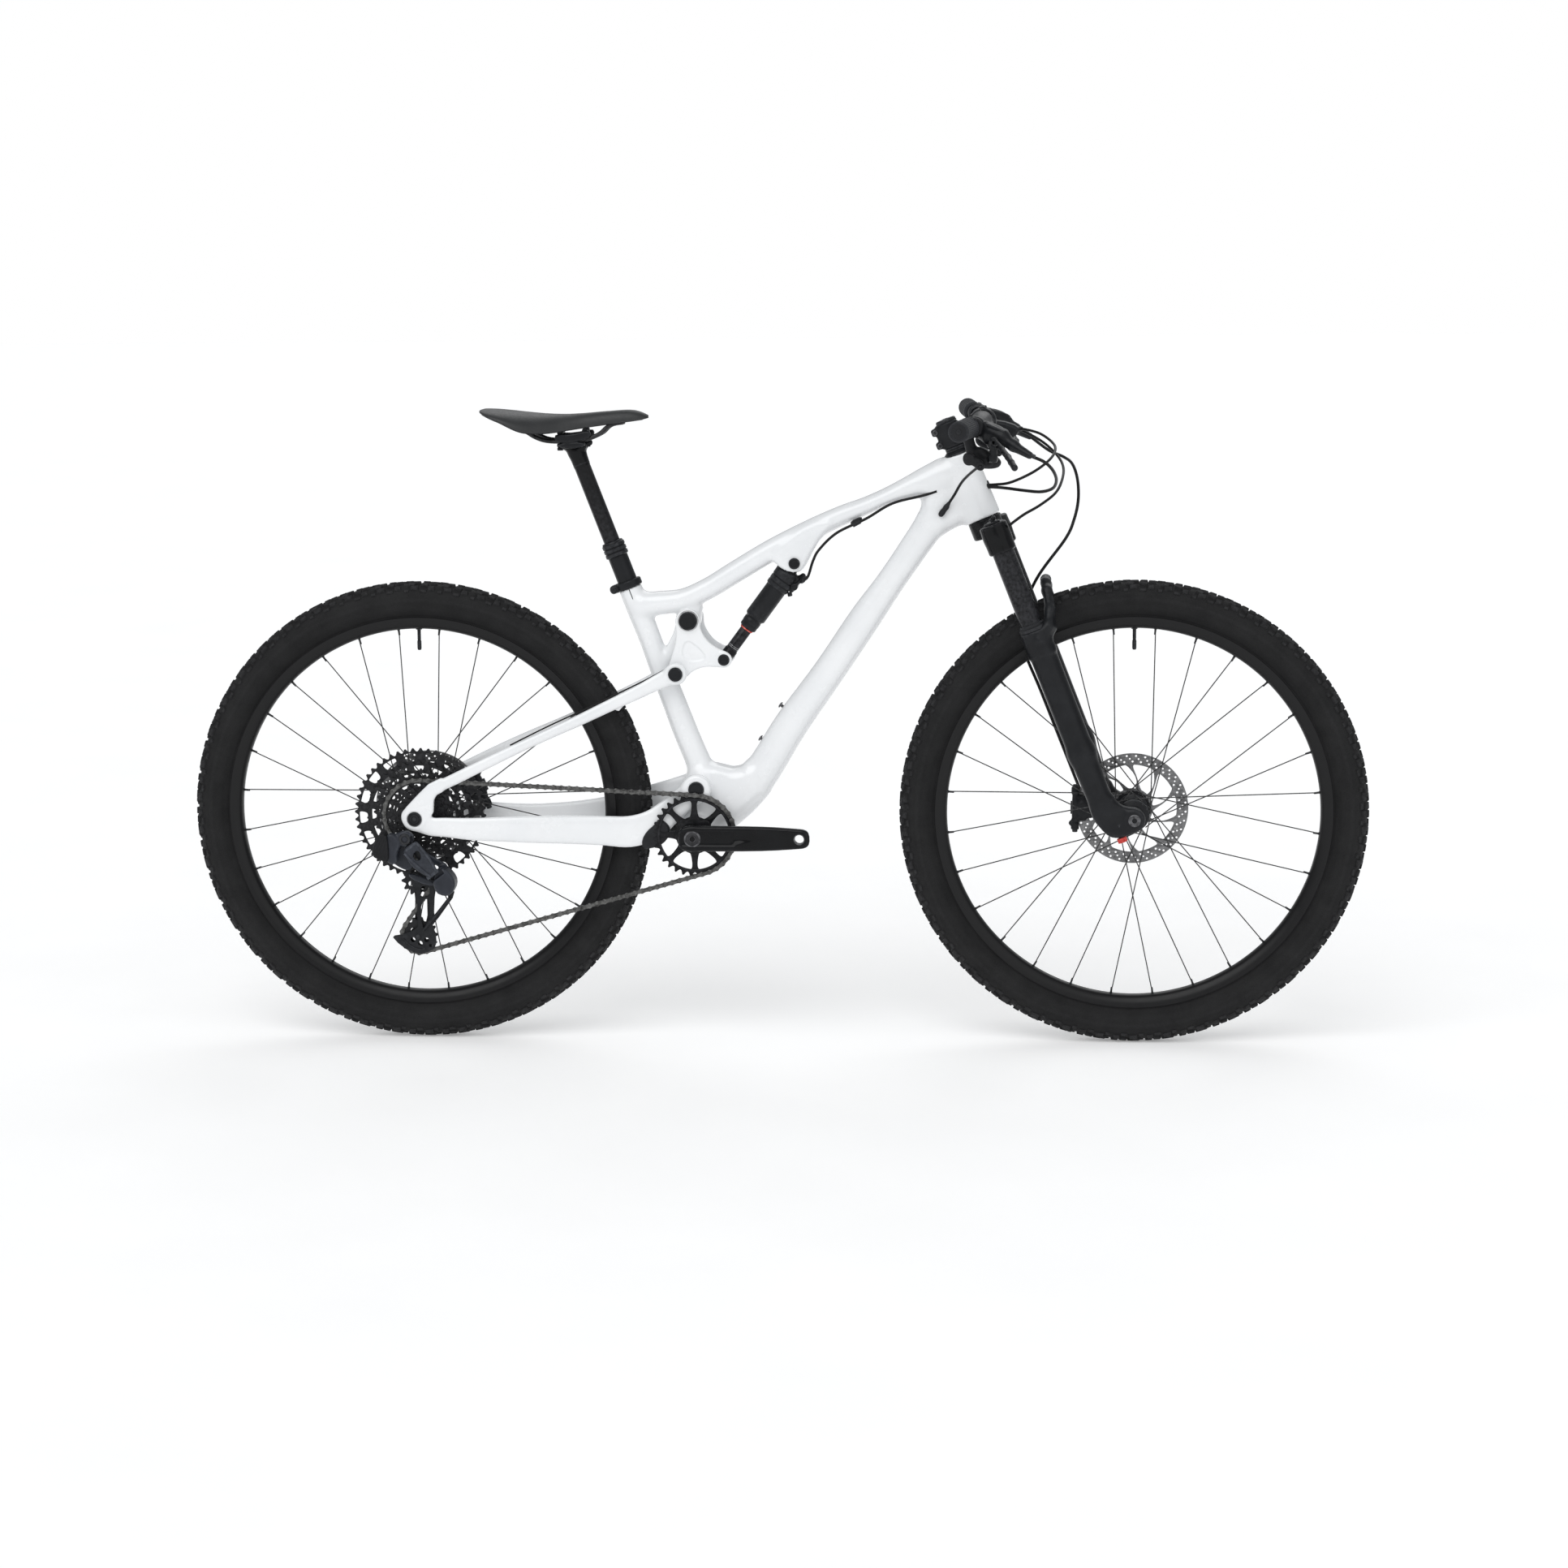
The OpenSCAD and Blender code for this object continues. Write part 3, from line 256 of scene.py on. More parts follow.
def plate(loops, y0, y1, bevel=0.6, local=None, steps=2):
    """A flat plate with rounded edges from an outline and its holes, drawn in the XZ plane."""
    curve = bpy.data.curves.new("plate", "CURVE")
    curve.dimensions = "2D"
    curve.fill_mode = "BOTH"
    curve.extrude = (y1 - y0) / 2 - bevel
    curve.bevel_depth = bevel
    curve.bevel_resolution = steps
    curve.offset = -bevel
    for loop in loops:
        s = curve.splines.new("POLY")
        s.points.add(len(loop) - 1)
        for point, (x, z) in zip(s.points, loop):
            point.co = (x, z, 0, 1)
        s.use_cyclic_u = True
    obj = bpy.data.objects.new("plate", curve)
    bpy.context.scene.collection.objects.link(obj)
    done = bpy.data.meshes.new_from_object(obj.evaluated_get(bpy.context.evaluated_depsgraph_get()))
    bpy.data.objects.remove(obj)
    bpy.data.curves.remove(curve)
    work = bmesh.new()
    work.from_mesh(done)
    bpy.data.meshes.remove(done)
    bmesh.ops.remove_doubles(work, verts=work.verts, dist=0.002)
    points = np.array([(v.co.x, v.co.z + (y0 + y1) / 2, v.co.y) for v in work.verts])
    faces = [[v.index for v in f.verts] for f in work.faces]
    work.free()
    return (placed(local, points) if local else points), faces


# ---------- shapes grown together from a field of distances ----------


def space(lo, hi, step):
    """Sample lines of a box, shaped so that fields broadcast over it."""
    x, y, z = (np.arange(a, b + step, step) for a, b in zip(lo, hi))
    return x[:, None, None], y[None, :, None], z[None, None, :]


def rod(P, a, b, ra, rb=None):
    """A round bar from a to b, its ends rounded."""
    rb = ra if rb is None else rb
    a, d = np.asarray(a, float), np.asarray(b, float) - np.asarray(a, float)
    x, y, z = P[0] - a[0], P[1] - a[1], P[2] - a[2]
    t = np.clip((x * d[0] + y * d[1] + z * d[2]) / max(np.dot(d, d), 1e-9), 0, 1)
    return np.sqrt((x - t * d[0]) ** 2 + (y - t * d[1]) ** 2 + (z - t * d[2]) ** 2) - (ra + (rb - ra) * t)


def disc(P, centre, axis, r, h0, h1, edge=1.0):
    """A short round bar with rounded edges, from h0 to h1 along its axis."""
    n = unit(axis)
    x, y, z = P[0] - centre[0], P[1] - centre[1], P[2] - centre[2]
    h = x * n[0] + y * n[1] + z * n[2]
    radial = np.sqrt(np.maximum((x - h * n[0]) ** 2 + (y - h * n[1]) ** 2 + (z - h * n[2]) ** 2, 0))
    return rounded_corner(radial - r, np.abs(h - (h0 + h1) / 2) - (h1 - h0) / 2, edge)


def rounded_corner(a, b, edge):
    """Where two fields are both negative, the corner between them rounded to the radius edge."""
    p, q = a + edge, b + edge
    return (np.minimum(np.maximum(p, q), 0) + np.sqrt(np.maximum(p, 0) ** 2 + np.maximum(q, 0) ** 2) - edge)


def block(P, centre, half, edge=2.0, turn=None):
    """A box with rounded edges; turn is a 3x3 matrix whose rows are the box's own axes."""
    turn = np.eye(3) if turn is None else np.asarray(turn, float)
    x, y, z = P[0] - centre[0], P[1] - centre[1], P[2] - centre[2]
    q = [np.abs(x * r[0] + y * r[1] + z * r[2]) - h + edge for r, h in zip(turn, half)]
    outside = np.sqrt(sum(np.maximum(c, 0) ** 2 for c in q))
    return outside + np.minimum(np.maximum(np.maximum(q[0], q[1]), q[2]), 0) - edge


def outline_distance(x, z, outline):
    """Signed distance to a closed outline, negative inside."""
    p = np.asarray(outline, float)
    best = np.full(np.broadcast(x, z).shape, 1e9)
    inside = np.zeros(best.shape, bool)
    for (ax, az), (bx, bz) in zip(p, np.roll(p, -1, axis=0)):
        dx, dz = bx - ax, bz - az
        t = np.clip(((x - ax) * dx + (z - az) * dz) / max(dx * dx + dz * dz, 1e-9), 0, 1)
        best = np.minimum(best, (x - ax - t * dx) ** 2 + (z - az - t * dz) ** 2)
        if az != bz:
            inside ^= ((az > z) != (bz > z)) & (x < ax + (z - az) * dx / dz)
    return np.sqrt(best) * np.where(inside, -1, 1)


def barrel(P, place, r, y0, y1, edge):
    """A disc across the bike at a place of the side view."""
    return disc(P, point_of(place), CROSS, r, y0, y1, edge)


def slab(P, outline, y0, y1, edge, soft=0):
    """A side-view outline, thick from y0 to y1, with rounded edges and its corners softened soft times."""
    distance = outline_distance(P[0], P[2], rounded(outline, soft))
    return rounded_corner(distance, np.abs(P[1] - (y0 + y1) / 2) - (y1 - y0) / 2, edge)


def sweep(P, stations, power):
    """A tube with an oval section through stations (x, y, z, half height, half width)."""
    line = spline(stations, 5)
    best = np.full(np.broadcast(P[0], P[2]).shape, 1e9)
    value = [np.zeros(best.shape) for _ in range(3)]
    for s, e in zip(line[:-1], line[1:]):
        dx, dz = e[0] - s[0], e[2] - s[2]
        t = np.clip(((P[0] - s[0]) * dx + (P[2] - s[2]) * dz) / (dx * dx + dz * dz), 0, 1)
        d = np.sqrt((P[0] - s[0] - t * dx) ** 2 + (P[2] - s[2] - t * dz) ** 2)
        near = d < best
        best = np.where(near, d, best)
        for v, i in zip(value, (1, 3, 4)):
            np.copyto(v, s[i] + (e[i] - s[i]) * t, where=near)
    yc, h, w = value
    size = np.minimum(h, w)
    return (((best / h) ** power + (np.abs(P[1] - yc) / w) ** power) ** (1 / power) - 1) * size


def merge(k, *fields):
    """The shapes together, with a fillet of about k where they meet."""
    out = fields[0]
    for f in fields[1:]:
        if k > 0:
            h = np.clip(0.5 + 0.5 * (f - out) / k, 0, 1)
            out = f * (1 - h) + out * h - k * h * (1 - h)
        else:
            out = np.minimum(out, f)
    return out


def cut(shape, tool, k=0.0):
    """The shape without the tool's, with a fillet of about k along the cut."""
    return -merge(k, -shape, tool)


def skin(field, P, step):
    """The surface where a field is zero, as (points, faces)."""
    lo = np.array([c.flat[0] for c in P])
    f = np.ascontiguousarray(np.broadcast_to(field, tuple(max(c.shape) for c in P)), dtype=float)
    dims = f.shape
    solid = f < 0
    cells, crossings, quads = [], [], []
    for axis in range(3):
        first = [slice(None)] * 3
        second = [slice(None)] * 3
        first[axis], second[axis] = slice(0, -1), slice(1, None)
        at = np.argwhere(solid[tuple(first)] != solid[tuple(second)])
        u, v = (axis + 1) % 3, (axis + 2) % 3
        at = at[(at[:, u] > 0) & (at[:, v] > 0) & (at[:, u] < dims[u] - 1) & (at[:, v] < dims[v] - 1)]
        after = at.copy()
        after[:, axis] += 1
        fa, fb = f[tuple(at.T)], f[tuple(after.T)]
        point = at.astype(float)
        point[:, axis] += fa / (fa - fb)
        corners = []
        for du, dv in ((0, 0), (1, 0), (1, 1), (0, 1)):
            c = at.copy()
            c[:, u] -= du
            c[:, v] -= dv
            number = (c[:, 0] * dims[1] + c[:, 1]) * dims[2] + c[:, 2]
            corners.append(number)
            cells.append(number)
            crossings.append(point)
        quad = np.stack(corners, axis=1)
        out = ~solid[tuple(at.T)]
        quad[out] = quad[out][:, ::-1]
        quads.append(quad)
    used, place = np.unique(np.concatenate(cells), return_inverse=True)
    place = place.ravel()
    spread = np.concatenate(crossings)
    count = np.bincount(place)
    points = np.stack([np.bincount(place, weights=spread[:, k]) / count for k in range(3)], axis=1)
    return lo + points * step, np.searchsorted(used, np.concatenate(quads)).tolist()


def grown(lo, hi, step, shape, local=None):
    """The skin of shape(P) inside a box, moved out of its local frame if it has one."""
    P = space(lo, hi, step)
    points, faces = skin(shape(P), P, step)
    return (placed(local, points) if local else points), faces


# ---------- materials ----------


class Nodes:
    """Short ways to build one material's node tree."""

    def __init__(self, name):
        self.material = bpy.data.materials.new(name)
        self.material.use_nodes = True
        self.tree = self.material.node_tree
        self.shader = self.tree.nodes["Principled BSDF"]
        self.place = self.tree.nodes.new("ShaderNodeTexCoord").outputs["Object"]

    def feed(self, socket, value):
        if isinstance(value, bpy.types.NodeSocket):
            self.tree.links.new(value, socket)
        else:
            socket.default_value = value

    def node(self, kind, **inputs):
        """A new node; its inputs are named with _ for each space."""
        n = self.tree.nodes.new("ShaderNode" + kind)
        for key, value in inputs.items():
            self.feed(n.inputs[key.replace("_", " ")], value)
        return n

    def surface(self, **inputs):
        """Inputs of the material's own shader, named like those of node."""
        for key, value in inputs.items():
            self.feed(self.shader.inputs[key.replace("_", " ")], value)

    def noise(self, scale, detail=4.0):
        return self.node("TexNoise", Vector=self.place, Scale=scale, Detail=detail,
                         Roughness=0.55).outputs["Fac"]

    def ranged(self, value, low, high, from_low=0.3, from_high=0.7):
        return self.node("MapRange", Value=value, From_Min=from_low, From_Max=from_high, To_Min=low,
                         To_Max=high).outputs[0]

    def mixed(self, factor, a, b):
        n = self.tree.nodes.new("ShaderNodeMix")
        n.data_type = "RGBA"
        for number, value in ((0, factor), (6, a), (7, b)):
            self.feed(n.inputs[number], value)
        return n.outputs[2]

    def product(self, a, b):
        n = self.tree.nodes.new("ShaderNodeMath")
        n.operation = "MULTIPLY"
        self.feed(n.inputs[0], a)
        self.feed(n.inputs[1], b)
        return n.outputs[0]

    def bump(self, height, distance, strength=1.0):
        return self.node("Bump", Height=height, Distance=distance, Strength=strength).outputs[0]

    def edges(self):
        """1 on convex edges, 0 elsewhere."""
        point = self.tree.nodes.new("ShaderNodeNewGeometry").outputs["Pointiness"]
        return self.ranged(point, 0.0, 1.0, 0.505, 0.56)


def rgb(r, g, b):
    return (r, g, b, 1.0)


def finish_of(name, dark, light, rough, metallic=0.0, patch=25.0, grain=1200.0, depth=0.00004,
              wear=None, coat=0.0, specular=0.5):
    """A worked surface: two close tones in patches, fine grain in gloss and relief, worn edges."""
    n = Nodes(name)
    colour = n.mixed(n.ranged(n.noise(patch), 0.0, 1.0), dark, light)
    fine = n.noise(grain, detail=3.0)
    if wear:
        colour = n.mixed(n.product(n.edges(), n.ranged(n.noise(180.0), 0.0, 0.8)), colour, wear)
    n.surface(Base_Color=colour, Roughness=n.ranged(fine, *rough, 0.35, 0.65), Normal=n.bump(fine, depth),
              Metallic=metallic, Coat_Weight=coat, Coat_Roughness=0.08, Specular_IOR_Level=specular)
    return n


def white_paint():
    """Gloss lacquer over white, with a faint orange peel and a trace of dust in patches."""
    n = Nodes("white_paint")
    tone = n.mixed(n.ranged(n.noise(9.0), 0.0, 1.0), rgb(0.80, 0.815, 0.83), rgb(0.86, 0.87, 0.88))
    dust = n.ranged(n.noise(70.0, detail=6.0), 0.0, 0.10, 0.55, 0.75)
    n.surface(Base_Color=n.mixed(dust, tone, rgb(0.66, 0.66, 0.65)),
              Roughness=n.ranged(n.noise(40.0), 0.20, 0.30),
              Normal=n.bump(n.noise(420.0, detail=2.0), 0.000012), Coat_Weight=0.5, Coat_Roughness=0.06)
    return n


def woven_carbon(name, dark, light, rough, size):
    """Carbon cloth under lacquer: two crossed sets of fine ribs."""
    n = Nodes(name)
    ribs = []
    for turn in (0.785, -0.785):
        place = n.node("Mapping", Vector=n.place, Rotation=(0.0, turn, 0.0)).outputs[0]
        ribs.append(n.node("TexWave", Vector=place, Scale=size, Distortion=0.6, Detail=1.0).outputs["Fac"])
    cloth = n.product(*ribs)
    n.surface(Base_Color=n.mixed(cloth, dark, light), Roughness=n.ranged(n.noise(60.0), *rough),
              Normal=n.bump(cloth, 0.00001), Coat_Weight=0.04, Coat_Roughness=0.2, Specular_IOR_Level=0.22)
    return n


def tyre_rubber():
    """Matt rubber: fine grain, faint mould rings of dust."""
    return finish_of("tyre_rubber", rgb(0.0085, 0.0085, 0.009), rgb(0.0145, 0.0145, 0.015), (0.62, 0.82),
                     patch=30.0, grain=700.0, depth=0.00012, wear=rgb(0.033, 0.033, 0.035), specular=0.2)


def brushed_steel(name, dark, light, rough, metallic, wear, specular=0.5):
    return finish_of(name, dark, light, rough, metallic=metallic, patch=90.0, grain=1500.0, depth=0.00003,
                     wear=wear, specular=specular)


def saddle_skin():
    """Smooth cover with a fine leather grain."""
    n = Nodes("saddle_skin")
    cells = n.node("TexVoronoi", Vector=n.place, Scale=900.0).outputs["Distance"]
    tone = n.mixed(n.ranged(n.noise(35.0), 0.0, 1.0), rgb(0.011, 0.012, 0.013), rgb(0.02, 0.021, 0.022))
    n.surface(Base_Color=tone, Roughness=n.ranged(n.noise(300.0), 0.38, 0.55),
              Normal=n.bump(cells, 0.00006, 0.7),
              Sheen_Weight=0.05)
    return n


FINISH = {
    "white_paint": white_paint(),
    "steel": brushed_steel("steel", rgb(0.03, 0.03, 0.032), rgb(0.06, 0.06, 0.063), (0.28, 0.42), 0.8,
                           rgb(0.2, 0.2, 0.21)),
    "black_alloy": finish_of("black_alloy", rgb(0.0075, 0.008, 0.0095), rgb(0.0125, 0.0135, 0.0155),
                             (0.30, 0.42),
                             metallic=0.1, patch=40.0, wear=rgb(0.05, 0.052, 0.057), coat=0.03,
                             specular=0.2),
    "gloss_black": finish_of("gloss_black", rgb(0.0035, 0.0037, 0.0042), rgb(0.006, 0.0064, 0.0072),
                             (0.16, 0.24),
                             patch=30.0, depth=0.000008, wear=rgb(0.04, 0.04, 0.045), coat=0.05,
                             specular=0.14),
    "black_plastic": finish_of("black_plastic", rgb(0.0085, 0.009, 0.0105), rgb(0.014, 0.0148, 0.0168),
                               (0.45, 0.6), patch=50.0, grain=1800.0, depth=0.00006,
                               wear=rgb(0.035, 0.036, 0.04),
                               specular=0.25),
    "cable_black": finish_of("cable_black", rgb(0.005, 0.005, 0.0055), rgb(0.009, 0.009, 0.0095),
                             (0.3, 0.45),
                             patch=60.0, grain=2500.0, depth=0.00002, specular=0.2),
    "rail_metal": brushed_steel("rail_metal", rgb(0.01, 0.01, 0.011), rgb(0.022, 0.022, 0.024), (0.3, 0.42),
                                0.5,
                                rgb(0.1, 0.1, 0.1), 0.3),
    "saddle_skin": saddle_skin(),
    "bar_carbon": woven_carbon("bar_carbon", rgb(0.006, 0.006, 0.007), rgb(0.012, 0.012, 0.0135),
                               (0.32, 0.42), 300.0),
    "grip_rubber": finish_of("grip_rubber", rgb(0.016, 0.0175, 0.021), rgb(0.026, 0.028, 0.033), (0.6, 0.8),
                             patch=60.0, grain=900.0, depth=0.0001, specular=0.35),
    "knob_red": finish_of("knob_red", rgb(0.45, 0.012, 0.012), rgb(0.6, 0.02, 0.018), (0.25, 0.38),
                          metallic=0.5, patch=80.0, wear=rgb(0.8, 0.25, 0.2)),
    "tyre": tyre_rubber(),
    "rim_carbon": woven_carbon("rim_carbon", rgb(0.0055, 0.0055, 0.006), rgb(0.010, 0.010, 0.0108),
                               (0.3, 0.42), 160.0),
    "spoke_steel": brushed_steel("spoke_steel", rgb(0.010, 0.010, 0.011), rgb(0.022, 0.022, 0.024),
                                 (0.3, 0.42), 0.5,
                                 rgb(0.1, 0.1, 0.1), 0.3),
    "chain_steel": brushed_steel("chain_steel", rgb(0.028, 0.0275, 0.027), rgb(0.065, 0.064, 0.062),
                                 (0.3, 0.45), 0.7,
                                 rgb(0.2, 0.2, 0.195), 0.4),
    "cog_steel": brushed_steel("cog_steel", rgb(0.007, 0.0072, 0.008), rgb(0.013, 0.0133, 0.0145),
                               (0.35, 0.5), 0.3,
                               rgb(0.04, 0.04, 0.043), 0.22),
    "bright_steel": brushed_steel("bright_steel", rgb(0.35, 0.35, 0.36), rgb(0.5, 0.5, 0.51), (0.2, 0.32),
                                  1.0,
                                  rgb(0.6, 0.6, 0.6)),
    "rotor_steel": brushed_steel("rotor_steel", rgb(0.11, 0.11, 0.113), rgb(0.2, 0.2, 0.205), (0.28, 0.4),
                                 1.0,
                                 rgb(0.4, 0.4, 0.4)),
    "grey_plastic": finish_of("grey_plastic", rgb(0.015, 0.0175, 0.0245), rgb(0.024, 0.0275, 0.037),
                              (0.33, 0.48),
                              patch=60.0, depth=0.00005, wear=rgb(0.08, 0.088, 0.105), specular=0.3),
    "battery_plastic": finish_of("battery_plastic", rgb(0.007, 0.0074, 0.0085), rgb(0.011, 0.0115, 0.013),
                                 (0.45, 0.6),
                                 patch=60.0, depth=0.00005, wear=rgb(0.03, 0.03, 0.034), specular=0.2),
}
LOOK = {name: n.material for name, n in FINISH.items()}


# ---------- frame, rear triangle and links ----------


def front_frame():
    """The main moulding: head tube, top tube, down tube, seat tube, brace and shock mount."""
    step = 2.4

    def shape(P):
        down = sweep(P, [
            (250, 0, 838, 25, 26), (237, 0, 819, 23.5, 25.5), (190, 0, 751, 22.3, 26),
            (145, 0, 687, 25.2, 28), (88, 0, 603, 25.4, 29), (27, 0, 518, 27.5, 30), (-22, 0, 440, 29, 31),
            (-60, 0, 400, 34, 31), (-108, 0, 368, 38, 30)], power=2.5)
        top = sweep(P, [
            (268, 0, 917, 21, 23), (240, 0, 906, 18, 22), (189, 0, 886, 11.2, 20),
            (150, 0, 869, 10.8, 19.5), (110, 0, 853, 12.6, 19.5), (60, 0, 830, 13.8, 19.5),
            (0, 0, 799.5, 14.3, 19), (-60, 0, 764, 14.4, 18.5), (-105, 0, 737, 14, 18),
            (-150, 0, 718, 14.5, 18), (-205, 0, 712, 16, 18.6)], power=2.5)
        seat = sweep(P, [
            (-112, 0, 425, 22, 22), (-128, 0, 465, 20, 19.5), (-145, 0, 507, 19.8, 19),
            (-165, 0, 561, 19, 19), (-184, 0, 612, 18, 18.8), (-199, 0, 655, 17.6, 18.7),
            (-217, 0, 702.7, 18.4, 18.7), (-233, 0, 745, 18.6, 18.6)], power=2.0)
        h = (P[0] - HEAD_BASE[0]) * STEER[3][0] + (P[2] - HEAD_BASE[1]) * STEER[3][2]
        f = (P[0] - HEAD_BASE[0]) * STEER[1][0] + (P[2] - HEAD_BASE[1]) * STEER[1][2]
        head = rounded_corner(np.sqrt(f ** 2 + P[1] ** 2) - (28.2 - 2.6 * h / 108), np.abs(h - 54) - 54,
                              2.0)
        gusset = slab(P, [
            (322, 850), (298, 837), (280, 828), (262, 826), (240, 850), (236, 876), (238, 890), (226, 896),
            (226, 912), (268, 937), (300, 948)], -24, 24, 20, 1)
        bracket = slab(P, [
            (-3, 420), (-47, 376), (-90, 336), (-127, 319), (-150, 335), (-151, 385), (-146, 440),
            (-106, 456), (-57, 444), (-40, 456)], -29, 29, 16, 1)
        shell = barrel(P, BB, 26, -45.5, 45.5, 2)
        pivot = barrel(P, MAIN_PIVOT, 20, -29.5, 29.5, 2)
        brace = slab(P, [
            (-117, 700), (-118, 678), (-138, 655), (-170, 610), (-186, 622), (-172, 645), (-158, 672),
            (-156, 700)], -15, 15, 9, 1)
        web = slab(P, [
            (-196, 728), (-150, 728), (-112, 712), (-118, 690), (-150, 700), (-165, 705), (-196, 706)],
            -17, 17, 12, 1)
        boss = barrel(P, ROCKER_PIVOT, 17, -25.5, 25.5, 2.5)
        ears = slab(P, [
            (-4, 788), (14, 770), (30, 763), (47, 766), (56, 780), (68, 804), (86, 830), (98, 846),
            (60, 842), (20, 812)], -24.5, 24.5, 6, 1)
        solid = merge(14, down, gusset)
        solid = merge(16, solid, head)
        solid = merge(12, solid, top)
        solid = merge(14, solid, bracket, shell)
        solid = merge(12, solid, pivot, seat)
        solid = merge(12, solid, merge(8, web, top))
        solid = merge(7, solid, brace)
        solid = merge(6, solid, boss)
        solid = merge(7, solid, ears)
        gap = slab(P, [(-6, 752), (16, 796), (52, 776), (64, 792), (60, 740), (10, 730)], -14, 14, 2)
        can = rod(P, (-55, 0, 657), (14, 0, 750), 24)
        neck = rod(P, (14, 0, 750), (30, 0, 771.6), 20)
        solid = cut(solid, merge(2, gap, can, neck), 2)
        # The seat tube ends flat under its clamp
        top_end = (P[0] - SEAT_BASE[0]) * SEAT[3][0] + (P[2] - SEAT_BASE[1]) * SEAT[3][2] - 24
        return np.where(P[0] < -190, rounded_corner(solid, top_end, 1.0), solid)

    part = grown((-262, -52, 306), (372, 52, 962), step, shape)
    return make("front_frame", part, "white_paint", "frame", ["front_triangle"])


def rear_triangle():
    """Chainstays and seatstays, grown as one and parted at the flexing point by the dropouts."""

    def side(P, s):
        mid = [(-578, 79.6, 374, 17, 5.4), (-550, 79.6, 362.5, 15.2, 5.4), (-527, 79.4, 361, 15.8, 5.8),
               (-482, 77.5, 358, 18.2, 6.5)]
        if s < 0:
            stay = mid + [(-432, 72, 357, 20.2, 7.5), (-385, 64.5, 355.5, 22, 8),
                          (-330, 54, 353.5, 23.2, 8), (-278, 47.5, 351, 24, 7.2),
                          (-232, 43.6, 349, 25.5, 6.4), (-196, 41.2, 360, 24, 6), (-165, 39, 384, 21, 7),
                          (-124, 38.5, 418, 19, 7.5)]
        else:
            stay = mid + [(-432, 72, 355, 19.5, 7.5), (-385, 64.5, 354, 22, 8), (-330, 54, 358, 24, 8),
                          (-278, 47.5, 366, 25, 7.2), (-232, 43.6, 378, 26, 6.4), (-196, 41.2, 390, 24, 6),
                          (-165, 39, 402, 21.5, 7), (-124, 38.5, 418, 19, 7.5)]
        chain = sweep(P, [(x, s * y, z, h, w) for x, y, z, h, w in stay], power=3.0)
        seat = sweep(P, [(x, s * y, z, h, w) for x, y, z, h, w in [
            (-584, 79.6, 380, 12, 5.4), (-566, 79.6, 401, 11.5, 5.4), (-545, 79.5, 421.5, 9.2, 5.8),
            (-504, 79, 442, 9.2, 6), (-455, 75, 466, 8.9, 6.4), (-407, 68.5, 488.5, 8.4, 6.4),
            (-358, 60, 510, 8.2, 6.2), (-308, 52, 532, 9, 5.8), (-259, 46.5, 555, 9.8, 5.2),
            (-215, 44.2, 575.5, 10.8, 5), (-182, 43.2, 592, 12.5, 4.8), (-154.5, 43, 604.5, 15, 4.8)]],
            power=2.6)
        foot = barrel(P, REAR, 18.4, *sorted((s * 74.5, s * 85.2)), 2)
        dropout = slab(P, [(-593, 380), (-587, 393.5), (-551.5, 431.5), (-532, 441), (-518, 434),
                           (-530.5, 418.5), (-539, 414.5), (-543.5, 405), (-544.5, 386),
                           (-560, 364)], *sorted((s * 74.3, s * 85.1)), 2)
        pivot = barrel(P, MAIN_PIVOT, 21, *sorted((s * 31, s * 46.2)), 2.5)
        eye = barrel(P, STAY_PIVOT, 15.5, *sorted((s * 38.2, s * 48.4)), 2)
        # Seats for the axle's head and the pivot's cap
        axle_seat = barrel(P, REAR, 12.4, *sorted((s * 84.4, s * 100)), 0.2)
        cap_seat = barrel(P, MAIN_PIVOT, 13.2, *sorted((s * 46.2, s * 60)), 0.2)
        eye_seat = barrel(P, STAY_PIVOT, 12.2, *sorted((s * 48.4, s * 60)), 0.2)
        whole = merge(3, merge(9, merge(4, chain, foot), pivot), merge(6, seat, eye), dropout)
        return cut(whole, merge(0, axle_seat, cap_seat, eye_seat), 0.4)

    step = 2.0
    pieces = []
    for s, lo, hi in ((-1, -90, -28), (1, 28, 90)):
        P = space((-602, lo, 312), (-98, hi, 626), step)
        pieces.append(skin(side(P, s), P, step))
    points, faces = join(*pieces)
    faces = np.array(faces)
    middle = points[faces].mean(axis=1)
    # Seatstays are what lies above a line from the flexing point to the seat tube
    above = (middle[:, 2] - 432) * 0.86 + (middle[:, 0] + 532) * 0.5
    upper = (above > 0) & (middle[:, 2] > 424 + (middle[:, 0] + 532) * 0.18)
    bridge_low = grown((-204, -44, 352), (-156, 44, 398), 1.6, lambda P: cut(
        slab(P, [(-198, 362), (-197, 378), (-176, 394), (-163, 390), (-165, 374)], -42, 42, 4, 1),
        barrel(P, REAR, 379.5, -34, 34, 3)))
    bridge_high = grown((-266, -50, 534), (-228, 50, 580), 1.2, lambda P: cut(
        slab(P, [(-250, 541), (-260, 562), (-245, 569), (-237, 556)], -46, 46, 2.5, 1),
        barrel(P, REAR, 380, -33, 33, 2)))

    def part_of(keep):
        used, inverse = np.unique(faces[keep], return_inverse=True)
        return points[used], inverse.reshape(-1, 4).tolist()

    make("chainstays_mould", join(part_of(~upper), bridge_low), "white_paint", "swingarm",
         ["chainstays"])
    stays = make("seatstays_mould", join(part_of(upper), bridge_high), "white_paint", None,
                 ["seatstays"])
    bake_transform(stays)


